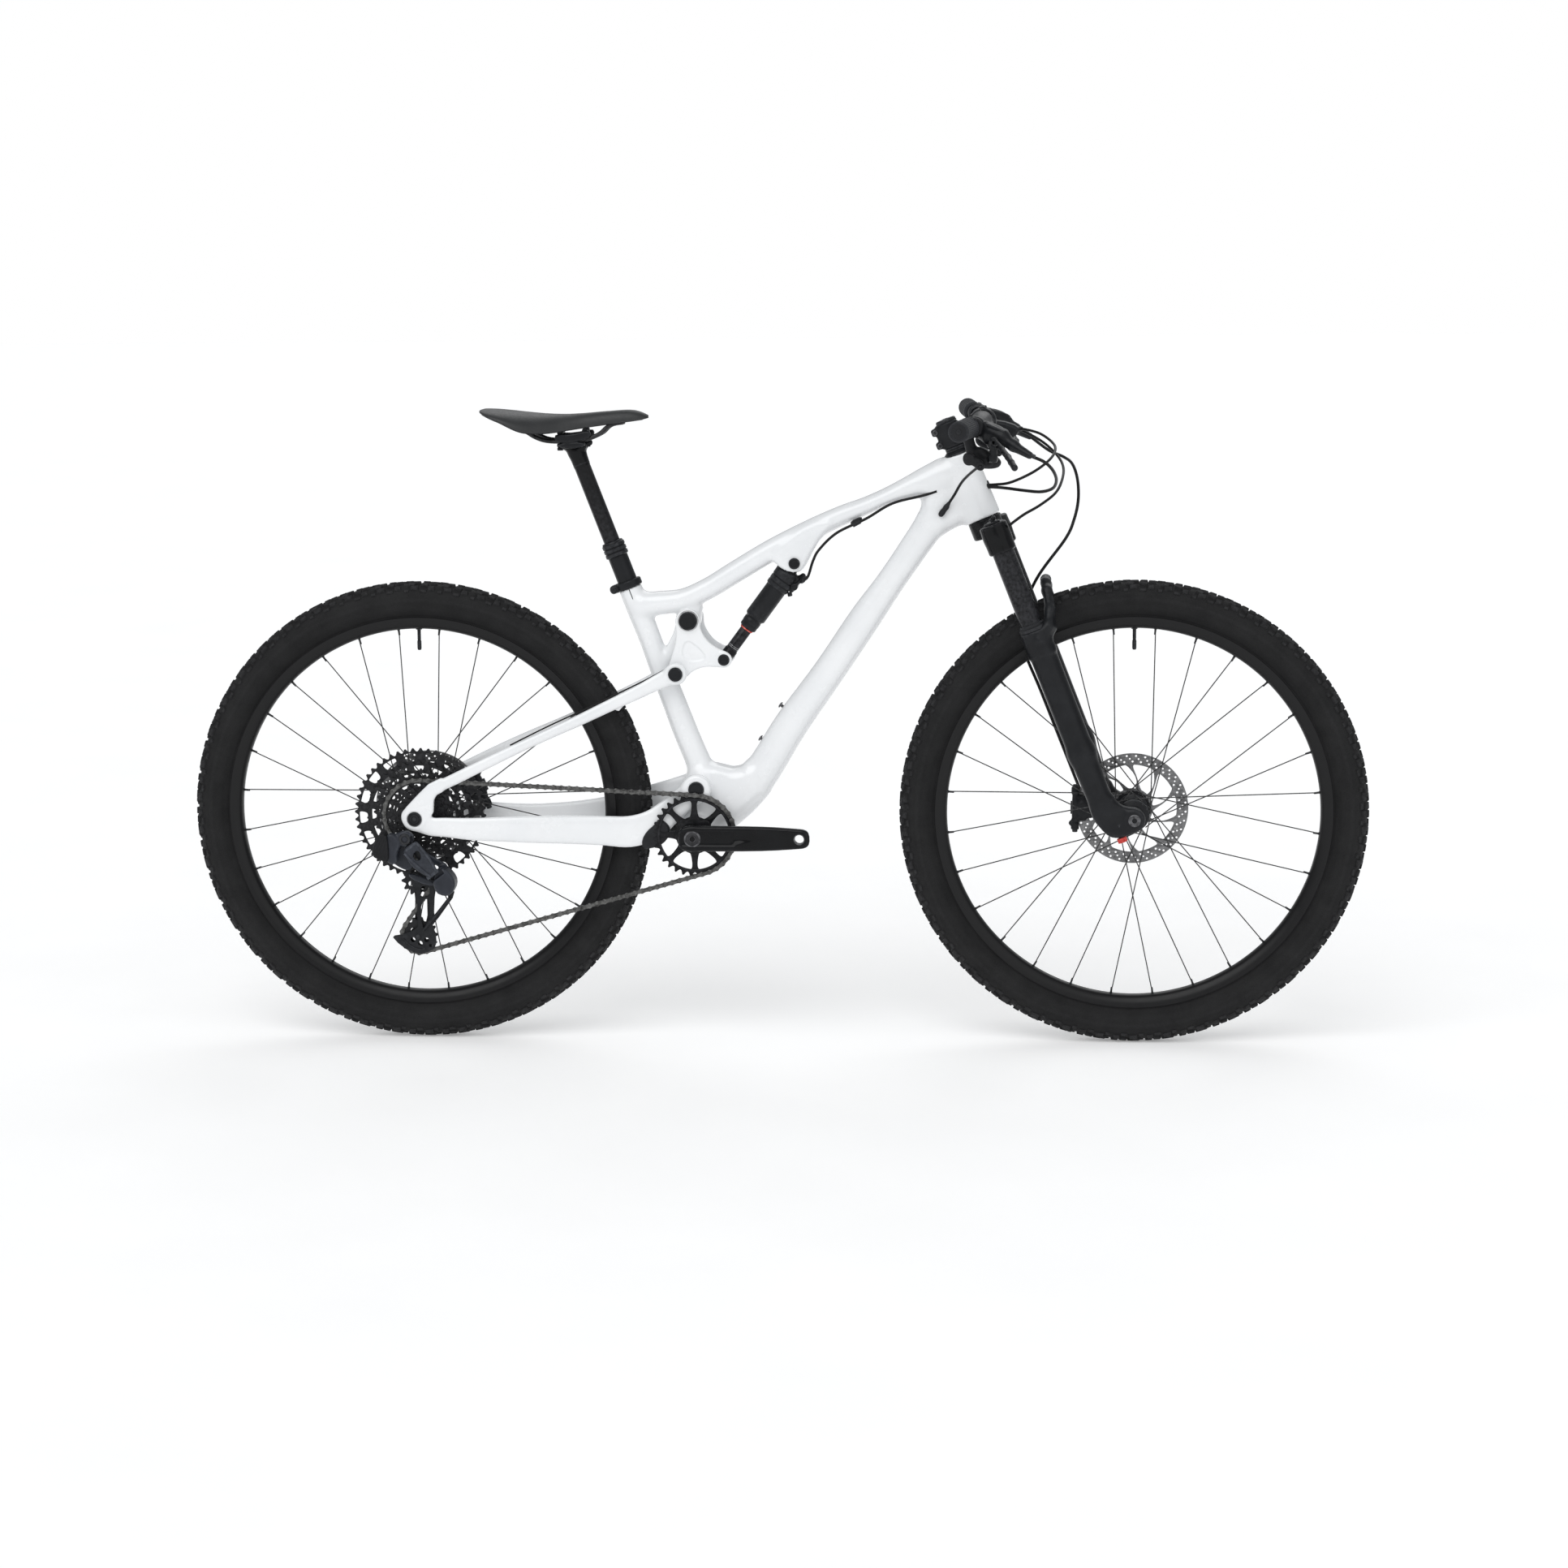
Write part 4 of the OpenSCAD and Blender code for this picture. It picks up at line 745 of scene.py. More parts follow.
def rocker():
    """The three-armed white link between seat tube, stays and shock."""

    def shape(P):
        arms = slab(P, [
            (-150, 700), (-156, 690), (-153, 662), (-163, 628), (-171, 605), (-163, 592), (-149, 590),
            (-136, 603), (-112, 615.5), (-84, 613.5), (-69, 618), (-67, 630), (-76, 639), (-92, 646),
            (-104, 656), (-114, 672), (-117, 688), (-123, 701), (-136, 706)], -34, -26.6, 3, 2)
        b = barrel(P, ROCKER_PIVOT, 18.6, -34.3, -26.4, 2)
        c = barrel(P, STAY_PIVOT, 14.6, -35, -26.4, 2)
        d = barrel(P, SHOCK_LOW, 12.4, -34.4, -26.4, 2)
        dish = slab(P, [(-139, 660), (-147, 632), (-130, 622), (-104, 628), (-118, 646)],
                    -37, -32, 1.2, 2)
        return cut(merge(4, arms, b, c, d), dish, 2)

    side = grown((-178, -38, 582), (-58, -24, 714), 1.2, shape)
    bar = lathe([(5.5, -27), (6, -26), (6, 26), (5.5, 27)], (-112, 0, 634))
    make("rocker_mould", join(both(side), bar), "white_paint", "rocker", ["rocker_link"])


def capped_bolt(centre, y, r, height=2.4, socket=3.0):
    """A bolt head on the right, with a raised rim, a dish and a hex socket; y is its seat."""
    s = -1 if y < 0 else 1
    head = lathe([(r - 0.8, 0), (r, s * 0.8), (r, s * (height - 0.8)), (r - 0.8, s * height),
                  (r - 2.4, s * height), (r - 3.2, s * (height - 0.7)),
                  (socket + 0.6, s * (height - 0.7))],
                 point_of(centre, y), sides=48)
    ring_in = [(centre[0] + socket * math.cos(math.radians(a)) * 1.12,
                centre[1] + socket * math.sin(math.radians(a)) * 1.12)
               for a in range(0, 360, 60)]
    inner = plate([circle(centre, socket + 0.7, 24), ring_in],
                  *sorted((y + s * 0.3, y + s * (height - 0.66))), 0.15)
    return join(head, inner)


def link_hardware():
    """Caps, pins and bright washers at the pivots."""
    caps = []
    rims = []
    for s in (-1, 1):
        caps.append(capped_bolt(ROCKER_PIVOT, s * 35.2, 14.6, 4.0, 4.0))
        caps.append(capped_bolt(MAIN_PIVOT, s * 46.6, 12.5, 2.4, 4.0))
        caps.append(capped_bolt(SHOCK_TOP, s * 25.2, 9.0, 3.0, 3.0))
        rims.append(lathe([(14.0, s * 34.3), (16.6, s * 34.3), (16.9, s * 34.8), (16.4, s * 35.4),
                           (14.0, s * 35.4)],
                          point_of(ROCKER_PIVOT), sides=64))
    pins = [lathe([(10, -46), (10, 46)], point_of(MAIN_PIVOT)),
            lathe([(5.98, -36), (5.98, 36)], point_of(ROCKER_PIVOT)),
            lathe([(4.98, -27), (4.98, 27)], point_of(SHOCK_TOP))]
    make("frame_pivot_caps", join(*caps, *pins), "black_alloy", "frame", ["pivot_axles"], 35)
    make("rocker_pivot_washers", join(*rims), "bright_steel", "frame", (), 35)
    bolts = []
    for s in (-1, 1):
        bolts.append(capped_bolt(STAY_PIVOT, s * 49.1, 11.4, 3.0, 3.5))
        bolts.append(capped_bolt(SHOCK_LOW, s * 34.5, 9.3, 2.6, 3.0))
    bolts.append(lathe([(5.98, -49.5), (5.98, -27)], point_of(STAY_PIVOT)))
    bolts.append(lathe([(5.98, 27), (5.98, 49.5)], point_of(STAY_PIVOT)))
    bolts.append(lathe([(4.98, -35), (4.98, 35)], point_of(SHOCK_LOW)))
    make("rocker_caps", join(*bolts), "black_alloy", "rocker", ["rocker_bolts"], 35)


front_frame()
rear_triangle()
rocker()
link_hardware()


# ---------- wheels ----------

TUBE_R = 30.5
CORE_R = WHEEL_R - TUBE_R
CASING_R = TUBE_R - 3.6
RIM_R = 311
SPOKES = 28
KNOB_ROWS = 84
ROTOR_R = 90
FRONT_DISC_Y = 40
REAR_DISC_Y = 58


def on_wheel(centre, r, y, angle):
    """A point of a wheel from its radius, side and angle in degrees."""
    x, z = polar(centre, r, angle)
    return np.array([x, y, z])


def knob(centre, turn, across, length, width, height, skew=0.0):
    """A tapered tread block, turn degrees round the wheel and across degrees off the casing's crown."""
    a, b = math.radians(turn), math.radians(across)
    outward = np.array([math.cos(a) * math.cos(b), math.sin(b), math.sin(a) * math.cos(b)])
    along = np.array([-math.sin(a), 0, math.cos(a)])
    side = np.cross(along, outward)
    along = along * math.cos(skew) + side * math.sin(skew)
    side = np.cross(along, outward)
    sunk = 1.2
    foot = on_wheel(centre, CORE_R, 0, turn) + outward * (CASING_R - sunk)
    points = []
    for lift, scale in ((0.0, 1.16), (sunk + height * 0.8, 1.0), (sunk + height, 0.86)):
        for s, t in ((-1, -1), (1, -1), (1, 1), (-1, 1)):
            points.append(foot + outward * lift + along * s * length / 2 * scale
                          + side * t * width / 2 * scale)
    return np.array(points), [(8, 9, 10, 11)] + band(3, 4)


def tyre(name, centre, body, node):
    """Casing with moulded rings, and rows of tread blocks."""
    profile = [(CORE_R + CASING_R * math.cos(math.radians(a)), CASING_R * math.sin(math.radians(a)))
               for a in np.linspace(-128, 128, 41)]
    # Faint moulded ridges on the side wall
    for i in (6, 7, 33, 34):
        r, y = profile[i]
        profile[i] = (r, y * 1.022)
    well = [(RIM_R + 9, 14.2), (RIM_R + 1, 14.2), (RIM_R + 1, 11.5), (RIM_R + 8, 11.5), (RIM_R + 20, 18),
            (CORE_R, 24)]
    profile += well + [(CORE_R + 24, 0)] + [(r, -y) for r, y in well[::-1]]
    casing = lathe(profile, point_of(centre), sides=180, loop=True)
    blocks = []
    half = 180 / KNOB_ROWS
    for i in range(KNOB_ROWS):
        turn = 360 / KNOB_ROWS * i
        odd = i % 2
        for s in (-1, 1):
            # Across the crown: centre, two transition rows and the shoulder
            for later, across, length, width, height, skew in (
                    ((half if s > 0 else 0) * 0.9, 8.5, 12.5 if odd else 10.5, 6.6, 3.4, 0.12),
                    (half + 1.0 * s * odd, 25, 11.0, 7.6 if odd else 6.0, 3.4, -0.25),
                    (half * 0.2, 41, 12.0 if odd else 9.5, 7.0, 3.3, 0.1),
                    (half * 1.1, 53.5, 7.0 if odd else 10.0, 4.2, 2.2, 0.0)):
                blocks.append(knob(centre, turn + later, s * across, length, width, height, s * skew))
    return make(name, join(casing, *blocks), "tyre", body, [node], 40)


def rim(name, centre, body, node):
    """Carbon rim with a deep rounded well and hookless walls."""
    side = [(298.2, 4.5), (299.4, 8.5), (302.5, 12), (307, 14.6), (311, 16), (317.2, 17.0), (317.8, 16.4),
            (317.6, 14.9), (311.4, 14.6), (309, 11)]
    profile = [(r, -y) for r, y in side] + side[::-1] + [(297.9, 0)]
    make(name, lathe(profile, point_of(centre), sides=192, loop=True), "rim_carbon", body, [node], 40)


def nipples_and_valve(name, centre, body):
    """Spoke nipples round the rim, and the tyre valve at its top."""
    parts = []
    for i in range(SPOKES):
        angle = 90 + 360 / SPOKES * (i + 0.5)
        foot = on_wheel(centre, 298.6, 0, angle)
        head = on_wheel(centre, 288.5, -1.2 if i % 2 else 1.2, angle)
        length = np.linalg.norm(head - foot)
        nipple = [(2.6, 0), (2.6, 1.2), (1.9, 1.6), (1.7, length - 1.0), (1.1, length)]
        parts.append(lathe(nipple, foot, head - foot, 6))
    foot = on_wheel(centre, 299, 0, 90)
    valve = [(5.2, 0), (5.2, 2.0), (4.4, 2.6), (3.0, 2.8)]
    for k in range(7):
        valve += [(3.0, 4.0 + 2.2 * k), (2.7, 4.8 + 2.2 * k)]
    valve += [(2.7, 20), (3.2, 21), (3.4, 22.5), (3.4, 32.5), (2.8, 35.5), (1.4, 36)]
    parts.append(lathe(valve, foot, (0, 0, -1), 24))
    make(name, join(*parts), "black_alloy", body, (), 35)


def hub(name, centre, body, node, profile):
    """Hub shell with spoke heads round its flanges."""
    parts = [lathe(profile, (centre[0], 0, centre[1]), sides=72, loop=True)]
    flanges = sorted({y for r, y in profile if r > 25})
    for y, s in ((flanges[0], -1), (flanges[-1], 1)):
        for i in range(SPOKES // 2):
            at = on_wheel(centre, 22.6, y, i * 720 / SPOKES + (0 if s < 0 else 12))
            parts.append(lathe([(1.9, 0), (1.8, s * 0.7), (1.0, s * 1.1)], at, CROSS, 10))
    make(name, join(*parts), "black_alloy", body, [node], 35)


def rotor(name, centre, body, node, y):
    """Brake disc: drilled track, slanted arms and a black carrier."""
    def places(r, angles):
        return [polar(centre, r, a) for a in angles]

    loops = [circle(centre, ROTOR_R, 144)]
    for i in range(36):
        for k, (r, hole) in enumerate(((76.5, 1.75), (81, 1.45), (85.8, 1.75))):
            loops.append(circle(polar(centre, r, i * 10 + k * 3.2), hole, 10))
    for i in range(10):
        a = i * 36.0
        window = (places(33, (a + 6, a + 14, a + 22, a + 30)) + places(52, (a + 46,))
                  + places(71.5, (a + 55, a + 47, a + 39, a + 31, a + 25.5)) + places(52, (a + 11,)))
        loops.append(rounded(window, 2))
    loops.append(circle(centre, 17.3, 48))
    make(name, plate(loops, y - 0.9, y + 0.9, 0.2, steps=1), "rotor_steel", body, [node], 35)
    teeth = [polar(centre, 28.4 if k % 2 else 30, k * 7.5) for k in range(48)]
    carrier = plate([teeth, circle(centre, 17.2, 48)], y - 2.2, y + 2.2, 0.5)
    lock = lathe([(12.5, 2.2), (21, 2.2), (21.5, 3.0), (21.5, 5.0), (20.6, 6.0), (14, 6.4), (12.5, 5.6)],
                 point_of(centre, y), CROSS, 48, loop=True)
    make(name + "_carrier", join(carrier, lock), "black_alloy", body, (), 35)


FRONT_HUB = [(7.6, -54.6), (10.6, -54.6), (11, -54), (12, -44), (15, -40), (16, -32), (24, -29.5),
             (25.2, -29), (25.2, -25.4), (24.4, -24.8), (18, -22.5), (15.5, -18), (14, -8), (14, 8),
             (15.5, 18), (18, 22.5), (24.4, 24.8), (25.2, 25.4), (25.2, 29), (17, 31), (17, 43), (12, 46),
             (11, 54), (10.6, 54.6), (7.6, 54.6)]
REAR_HUB = [(6.1, -27), (16, -27), (22, -25), (25.2, -24), (25.2, -20.4), (24.4, -19.8), (19, -17.5),
            (16.5, -10), (15.2, 0), (15.2, 14), (16.5, 26), (20, 33), (24.4, 35.8), (25.2, 36.4),
            (25.2, 39.6), (24.4, 40.2), (17, 43), (17, 61), (11, 64), (10.6, 73.6), (6.1, 73.6)]


def wheels():
    for end, centre, profile, disc_y in (("front", FRONT, FRONT_HUB, FRONT_DISC_Y),
                                       ("rear", REAR, REAR_HUB, REAR_DISC_Y)):
        body = end + "_wheel"
        tyre(end + "_tyre_tread", centre, body, end + "_tyre")
        rim(end + "_rim_carbon", centre, body, end + "_rim")
        nipples_and_valve(end + "_nipples", centre, body)
        hub(end + "_hub_shell", centre, body, end + "_hub", profile)
        rotor(end + "_rotor_disc", centre, body, end + "_rotor", disc_y)


# ---------- fork ----------


def caliper_shape(P):
    """Brake caliper about the origin: local x from the axle out to the pads, y across the disc."""
    shell = merge(4, block(P, (79, -2, 0), (16.5, 10, 16), 4.5), block(P, (84, -2, 0), (11, 8.5, 21), 4.5))
    domes = merge(2, disc(P, (78, 0, 0), CROSS, 12.5, -13.4, 9.5, 3), shell)
    lugs = merge(2, rod(P, (92, -7, -30), (92, -7, 30), 5), disc(P, (92, -7, -31), UP, 6.6, -4, 8, 2),
                 disc(P, (92, -7, 31), UP, 6.6, -8, 4, 2))
    port = rod(P, (86, -8, 14), (98, -9, 24), 4.2)
    body = merge(3, domes, lugs, port)
    return cut(cut(body, block(P, (71, 0, 0), (22, 1.6, 40), 0.5)), block(P, (66, 0, 0), (14, 5.5, 12), 1))


def caliper(name, local, body, node, disc_y):
    at = (local[0] + disc_y * local[2], *local[1:])
    shell = grown((58, -20, -40), (104, 14, 40), 0.9, caliper_shape, at)
    bolts = []
    for s in (-1, 1):
        bolts.append(lathe([(4.4, 0), (4.4, 3.6), (3.8, 4.2), (2.4, 4.2), (2.4, 2.0)],
                           spot(at, 92, -7, s * 34.6), s * at[3], 24))
    pads = [grown((62, 0.5, -14), (90, 6, 14), 0.8, lambda P: block(P, (76, 3.2, 0), (11, 1.5, 11.5), 0.8),
                  at),
            grown((62, -6, -14), (90, -0.5, 14), 0.8, lambda P: block(P, (76, -3.2, 0), (11, 1.5, 11.5),
                0.8), at)]
    fins = grown((84, -7, -12), (101, 7, 12), 0.8, lambda P: merge(0.5, *[
        block(P, (92, y, 0), (7.5, 0.9, 10), 0.5) for y in (-4.4, 4.4)]), at)
    make(name, join(shell, *bolts, *pads, fins), "black_alloy", body, [node], 40)


def turned_about(local, origin, degrees):
    """A local frame moved to origin and turned about the bike's cross axis."""
    a = math.radians(degrees)
    x = local[1] * math.cos(a) + local[3] * math.sin(a)
    z = -local[1] * math.sin(a) + local[3] * math.cos(a)
    return np.asarray(origin, float), x, local[2], z


def on_leg(profile, sides, y=LEG_Y):
    """A ring turned about a fork leg, at distances above the crown's base."""
    return lathe(profile, spot(STEER, LEG_F, y, 0), STEER[3], sides, True)


def fork_crown():
    def shape(P):
        boss = disc(P, (0, 0, 0), UP, 26.6, -31, -0.6, 3)
        arms = [merge(8, rod(P, (0, 0, -17), (LEG_F, s * 48, -22), 15.5, 13.5),
                      rod(P, (LEG_F, s * 48, -22), (LEG_F, s * LEG_Y, -30), 14, 18)) for s in (-1, 1)]
        sockets = [disc(P, (LEG_F, s * LEG_Y, 0), UP, 22.2, -57.3, -10, 3.5) for s in (-1, 1)]
        top = np.maximum(merge(10, boss, *arms, *sockets), P[2] + 0.6)
        return cut(top, block(P, (4, 0, -52), (60, 40, 17), 8), 6)

    crown = grown((-34, -94, -64), (42, 94, 4), 1.6, shape, STEER)
    steerer = lathe([(11, -6), (19.85, -6), (19.85, 12), (14.2, 46), (14.2, 158), (11, 158)], STEER[0],
                    STEER[3], 48, True)
    cap = [(4, -10.2), (12.5, -10.2), (13.2, -9.6), (13.2, -7.4), (12.4, -6.6), (9.5, -6.4), (7, -7.2),
           (4, -7.4)]
    tops = [on_leg(cap, 36, y) for y in (-LEG_Y, LEG_Y)]
    make("fork_crown_steerer", join(crown, steerer, *tops), "gloss_black", "steering", ["fork_crown"], 50)
    anchor = spot(STEER, 12, -60, -7)
    barrel = lathe([(5.2, 0), (5.2, 3), (3.6, 4), (3.6, 8), (2.8, 10)], anchor,
                   unit(np.array([0.35, 0, 0.9])), 24)
    make("lockout_anchor", barrel, "black_alloy", "steering", (), 35)
    legs = [on_leg([(15, -385), (17.5, -385), (17.5, -18), (15, -18)], 72, y) for y in (-LEG_Y, LEG_Y)]
    make("stanchion_tubes", join(*legs), "gloss_black", "steering", ["stanchions"], 50)


def fork_lowers():
    def leg(P):
        barrel = merge(10, rod(P, (LEG_F, LEG_Y, -214), (LEG_F, LEG_Y, -400), 21.6, 21.4),
                       rod(P, (LEG_F, LEG_Y, -400), (LEG_F, LEG_Y, -500), 21.4, 19))
        lip = disc(P, (LEG_F, LEG_Y, 0), UP, 22.6, -232, -189, 2.5)
        foot = slab((P[0], P[1] - LEG_Y, P[2]), [
            (-5, -495), (-4, -522), (4, -540), (18, -548), (42, -549), (60, -545), (67, -530), (63, -514),
            (46, -505), (33, -492), (32, -480), (0, -480)], -10.5, 10.5, 6, 1)
        eye = disc(P, (AXLE_F, 0, AXLE_T), CROSS, 16, 56, 76.6, 2.5)
        arch = merge(8, rod(P, (16, 82, -206), (35, 75, -191), 8.5, 8),
                     rod(P, (35, 75, -191), (47, 62, -170), 8, 7.4),
                     rod(P, (47, 62, -170), (53, 44, -141), 7.4, 7.2),
                     rod(P, (53, 44, -141), (55.5, 26, -130.5), 7.4, 7.0),
                     rod(P, (55.5, 26, -130.5), (56, -2, -128.5), 7.0, 6.8))
        inner = merge(8, rod(P, (14, 78, -222), (40, 66, -196), 7, 6.5),
                      rod(P, (40, 66, -196), (52, 50, -160), 6.5, 6))
        whole = merge(14, merge(6, barrel, lip), foot)
        whole = merge(8, whole, eye)
        whole = merge(7, whole, arch, inner)
        bore = rod(P, (LEG_F, LEG_Y, -150), (LEG_F, LEG_Y, -300), 17.9)
        return cut(whole, bore, 0.5)

    part = grown((-18, -1.5, -556), (74, 94, -112), 2.0, leg, STEER)
    seal = [(17.7, -189), (22.2, -189), (22.2, -184.5), (20.4, -183), (20.4, -180.5), (18.6, -178.5),
            (17.7, -178.5)]
    seals = [on_leg(seal, 64, y) for y in (-LEG_Y, LEG_Y)]
    make("fork_lowers_cast", both(part), "black_alloy", "lowers", ["fork_lowers"], 60)
    make("fork_dust_seals", join(*seals), "black_plastic", "lowers", (), 35)
    nut = lathe([(4.2, 0), (7.6, 0), (7.6, 4.5), (6.6, 5.5), (4.2, 5.5)], spot(STEER, LEG_F, LEG_Y, -549),
                -STEER[3], 6, True)
    hub_centre = spot(STEER, AXLE_F, 0, AXLE_T)
    axle = lathe([(7.45, -76.6), (7.45, 76.6)], hub_centre, CROSS, 40)
    head = lathe([(4, -79.8), (8.6, -79.8), (9.8, -79), (9.8, -76.8), (4, -76.8)], hub_centre, CROSS, 40,
                 True)
    make("front_axle_bolt", join(axle, head, nut), "steel", "lowers", ["front_axle"], 35)


def rebound_dial():
    """The fluted red knob under the right leg."""
    turns = [(7.9 if k % 2 else 7.1) for k in range(36)]
    rim_points = [(22 + r * math.cos(k * math.pi / 18), r * math.sin(k * math.pi / 18)) for k,
                  r in enumerate(turns)]
    # The outline is drawn in the side view, then laid square to the leg
    points, faces = plate([rim_points], 548.6, 556.4, 0.7)
    points = placed((spot(STEER, 0, -LEG_Y, 0), *STEER[1:]), points[:, [0, 2, 1]] * (1, 1, -1))
    make("rebound_dial", (points, faces), "knob_red", "knob", ["rebound_knob"], 35)


def calipers():
    front = turned_about(STEER, spot(STEER, AXLE_F, 0, AXLE_T), 158)
    caliper("front_caliper_body", front, "lowers", "front_caliper", FRONT_DISC_Y)
    rear = turned_about((None, *np.eye(3)), point_of(REAR), 20)
    caliper("rear_caliper_body", rear, "swingarm", "rear_caliper", REAR_DISC_Y)


wheels()
fork_crown()
fork_lowers()
rebound_dial()
calipers()


# ---------- bar, stem and controls ----------

STEM_T = 142
CUP = (55, 0, STEM_T)
BAR_C = spot(STEER, *CUP)
BAR_BEND = np.array([331.5, 75, 1002.5])
BAR_END = np.array([304, 367, 1005])


def on_bar(y, offset=(0, 0, 0)):
    """A point of the bar's axis beyond the bend, for y to the left."""
    t = (abs(y) - BAR_BEND[1]) / (BAR_END[1] - BAR_BEND[1])
    p = BAR_BEND + t * (BAR_END - BAR_BEND)
    return np.array([p[0], y, p[2]]) + offset


def bar_bore(P, s, r=11.15):
    """The room for the bar through a clamp on the right (s = -1) or the left (1)."""
    return rod(P, on_bar(s * 60), on_bar(s * 400), r)


def ribbed(profile, foot, axis, sides, ribs):
    """A turned shape of (radius, distance, rib depth), with ribs running along it."""
    u, v = basis(axis)
    a = np.arange(sides) * 2 * math.pi / sides
    wave = np.clip(1.6 * np.cos(a * ribs), -1, 1) * 0.5 - 0.5
    spoke = np.cos(a)[:, None] * u + np.sin(a)[:, None] * v
    rings = [np.asarray(foot, float) + unit(axis) * h + (r + depth * wave)[:, None] * spoke
             for r, h, depth in profile]
    return np.concatenate(rings), band(len(rings), sides, True)


def screw(centre, axis, r, height=3.0, hexagon=2.0):
    """A socket-head screw whose head rises along the axis from centre."""
    return lathe([(r, 0), (r, height - 0.5), (r - 0.5, height), (hexagon * 1.2, height),
                  (hexagon * 1.1, height - 0.3), (hexagon, height - 0.4), (hexagon, height - 1.8),
                  (0.05, height - 1.8)], centre, axis, 28)


def handlebar():
    line = [(BAR_C + (BAR_BEND * (1, 0, 1) - BAR_C) * t + (0, BAR_BEND[1] * t, 0), r) for t, r in (
        (0.35, 17.5), (0.5, 17.2), (0.72, 14.6), (0.92, 12.4))]
    side = line + [(on_bar(y), r) for y, r in ((95, 11.3), (120, 11.1), (200, 11.1), (300, 11.1),
                                               (365.5, 11.1))]
    route = [(p * (1, -1, 1), r) for p, r in side[::-1]] + [(BAR_C, 17.5)] + side
    make("handlebar_carbon", tube([p for p, _ in route], [r for _, r in route], 40, 4), "bar_carbon",
         "steering",
         ["handlebar"], 60)


def grips():
    foot, end = on_bar(241), on_bar(370)
    axis = unit(end - foot)
    length = float(np.linalg.norm(end - foot))
    profile = [(11.3, 0, 0), (15.2, 0, 0), (16.2, 0.8, 0), (16.2, 9.5, 0), (15.4, 10.3, 0), (15.2, 12.5, 0),
               (15.6, 14, 0.1), (15.8, 17, 1.1), (15.8, 44, 1.1), (15.4, 46, 0.3), (15.4, 48, 0.3),
               (15.8, 50, 1.1), (15.8, 84, 1.1), (15.4, 86, 0.3), (15.4, 88, 0.3), (15.8, 90, 1.1),
               (15.8, length - 12, 1.1), (15.4, length - 9, 0.1), (15.2, length - 6, 0),
               (15.6, length - 4, 0), (15.6, length - 1.4, 0), (14.8, length - 0.4, 0),
               (11.3, length - 0.4, 0)]
    cap = [(10.6, -8), (14.9, -0.8), (14.4, 0.2), (12.6, 0.4), (12.0, -0.6), (4.4, -1.6), (3.8, -1.0),
           (1.6, -1.0), (0.05, -1.8)]
    plug = lathe([(r, length + h) for r, h in cap], foot, axis, 64)
    clamp = screw(on_bar(246, (10, 0, 12.2)), (0.35, 0, 1), 3.0, 2.6, 1.3)
    make("grip_sleeves", both(ribbed(profile, foot, axis, 288, 34)), "grip_rubber", "steering", ["grips"],
         50)
    make("bar_end_caps", both(join(plug, clamp)), "black_plastic", "steering", (), 40)


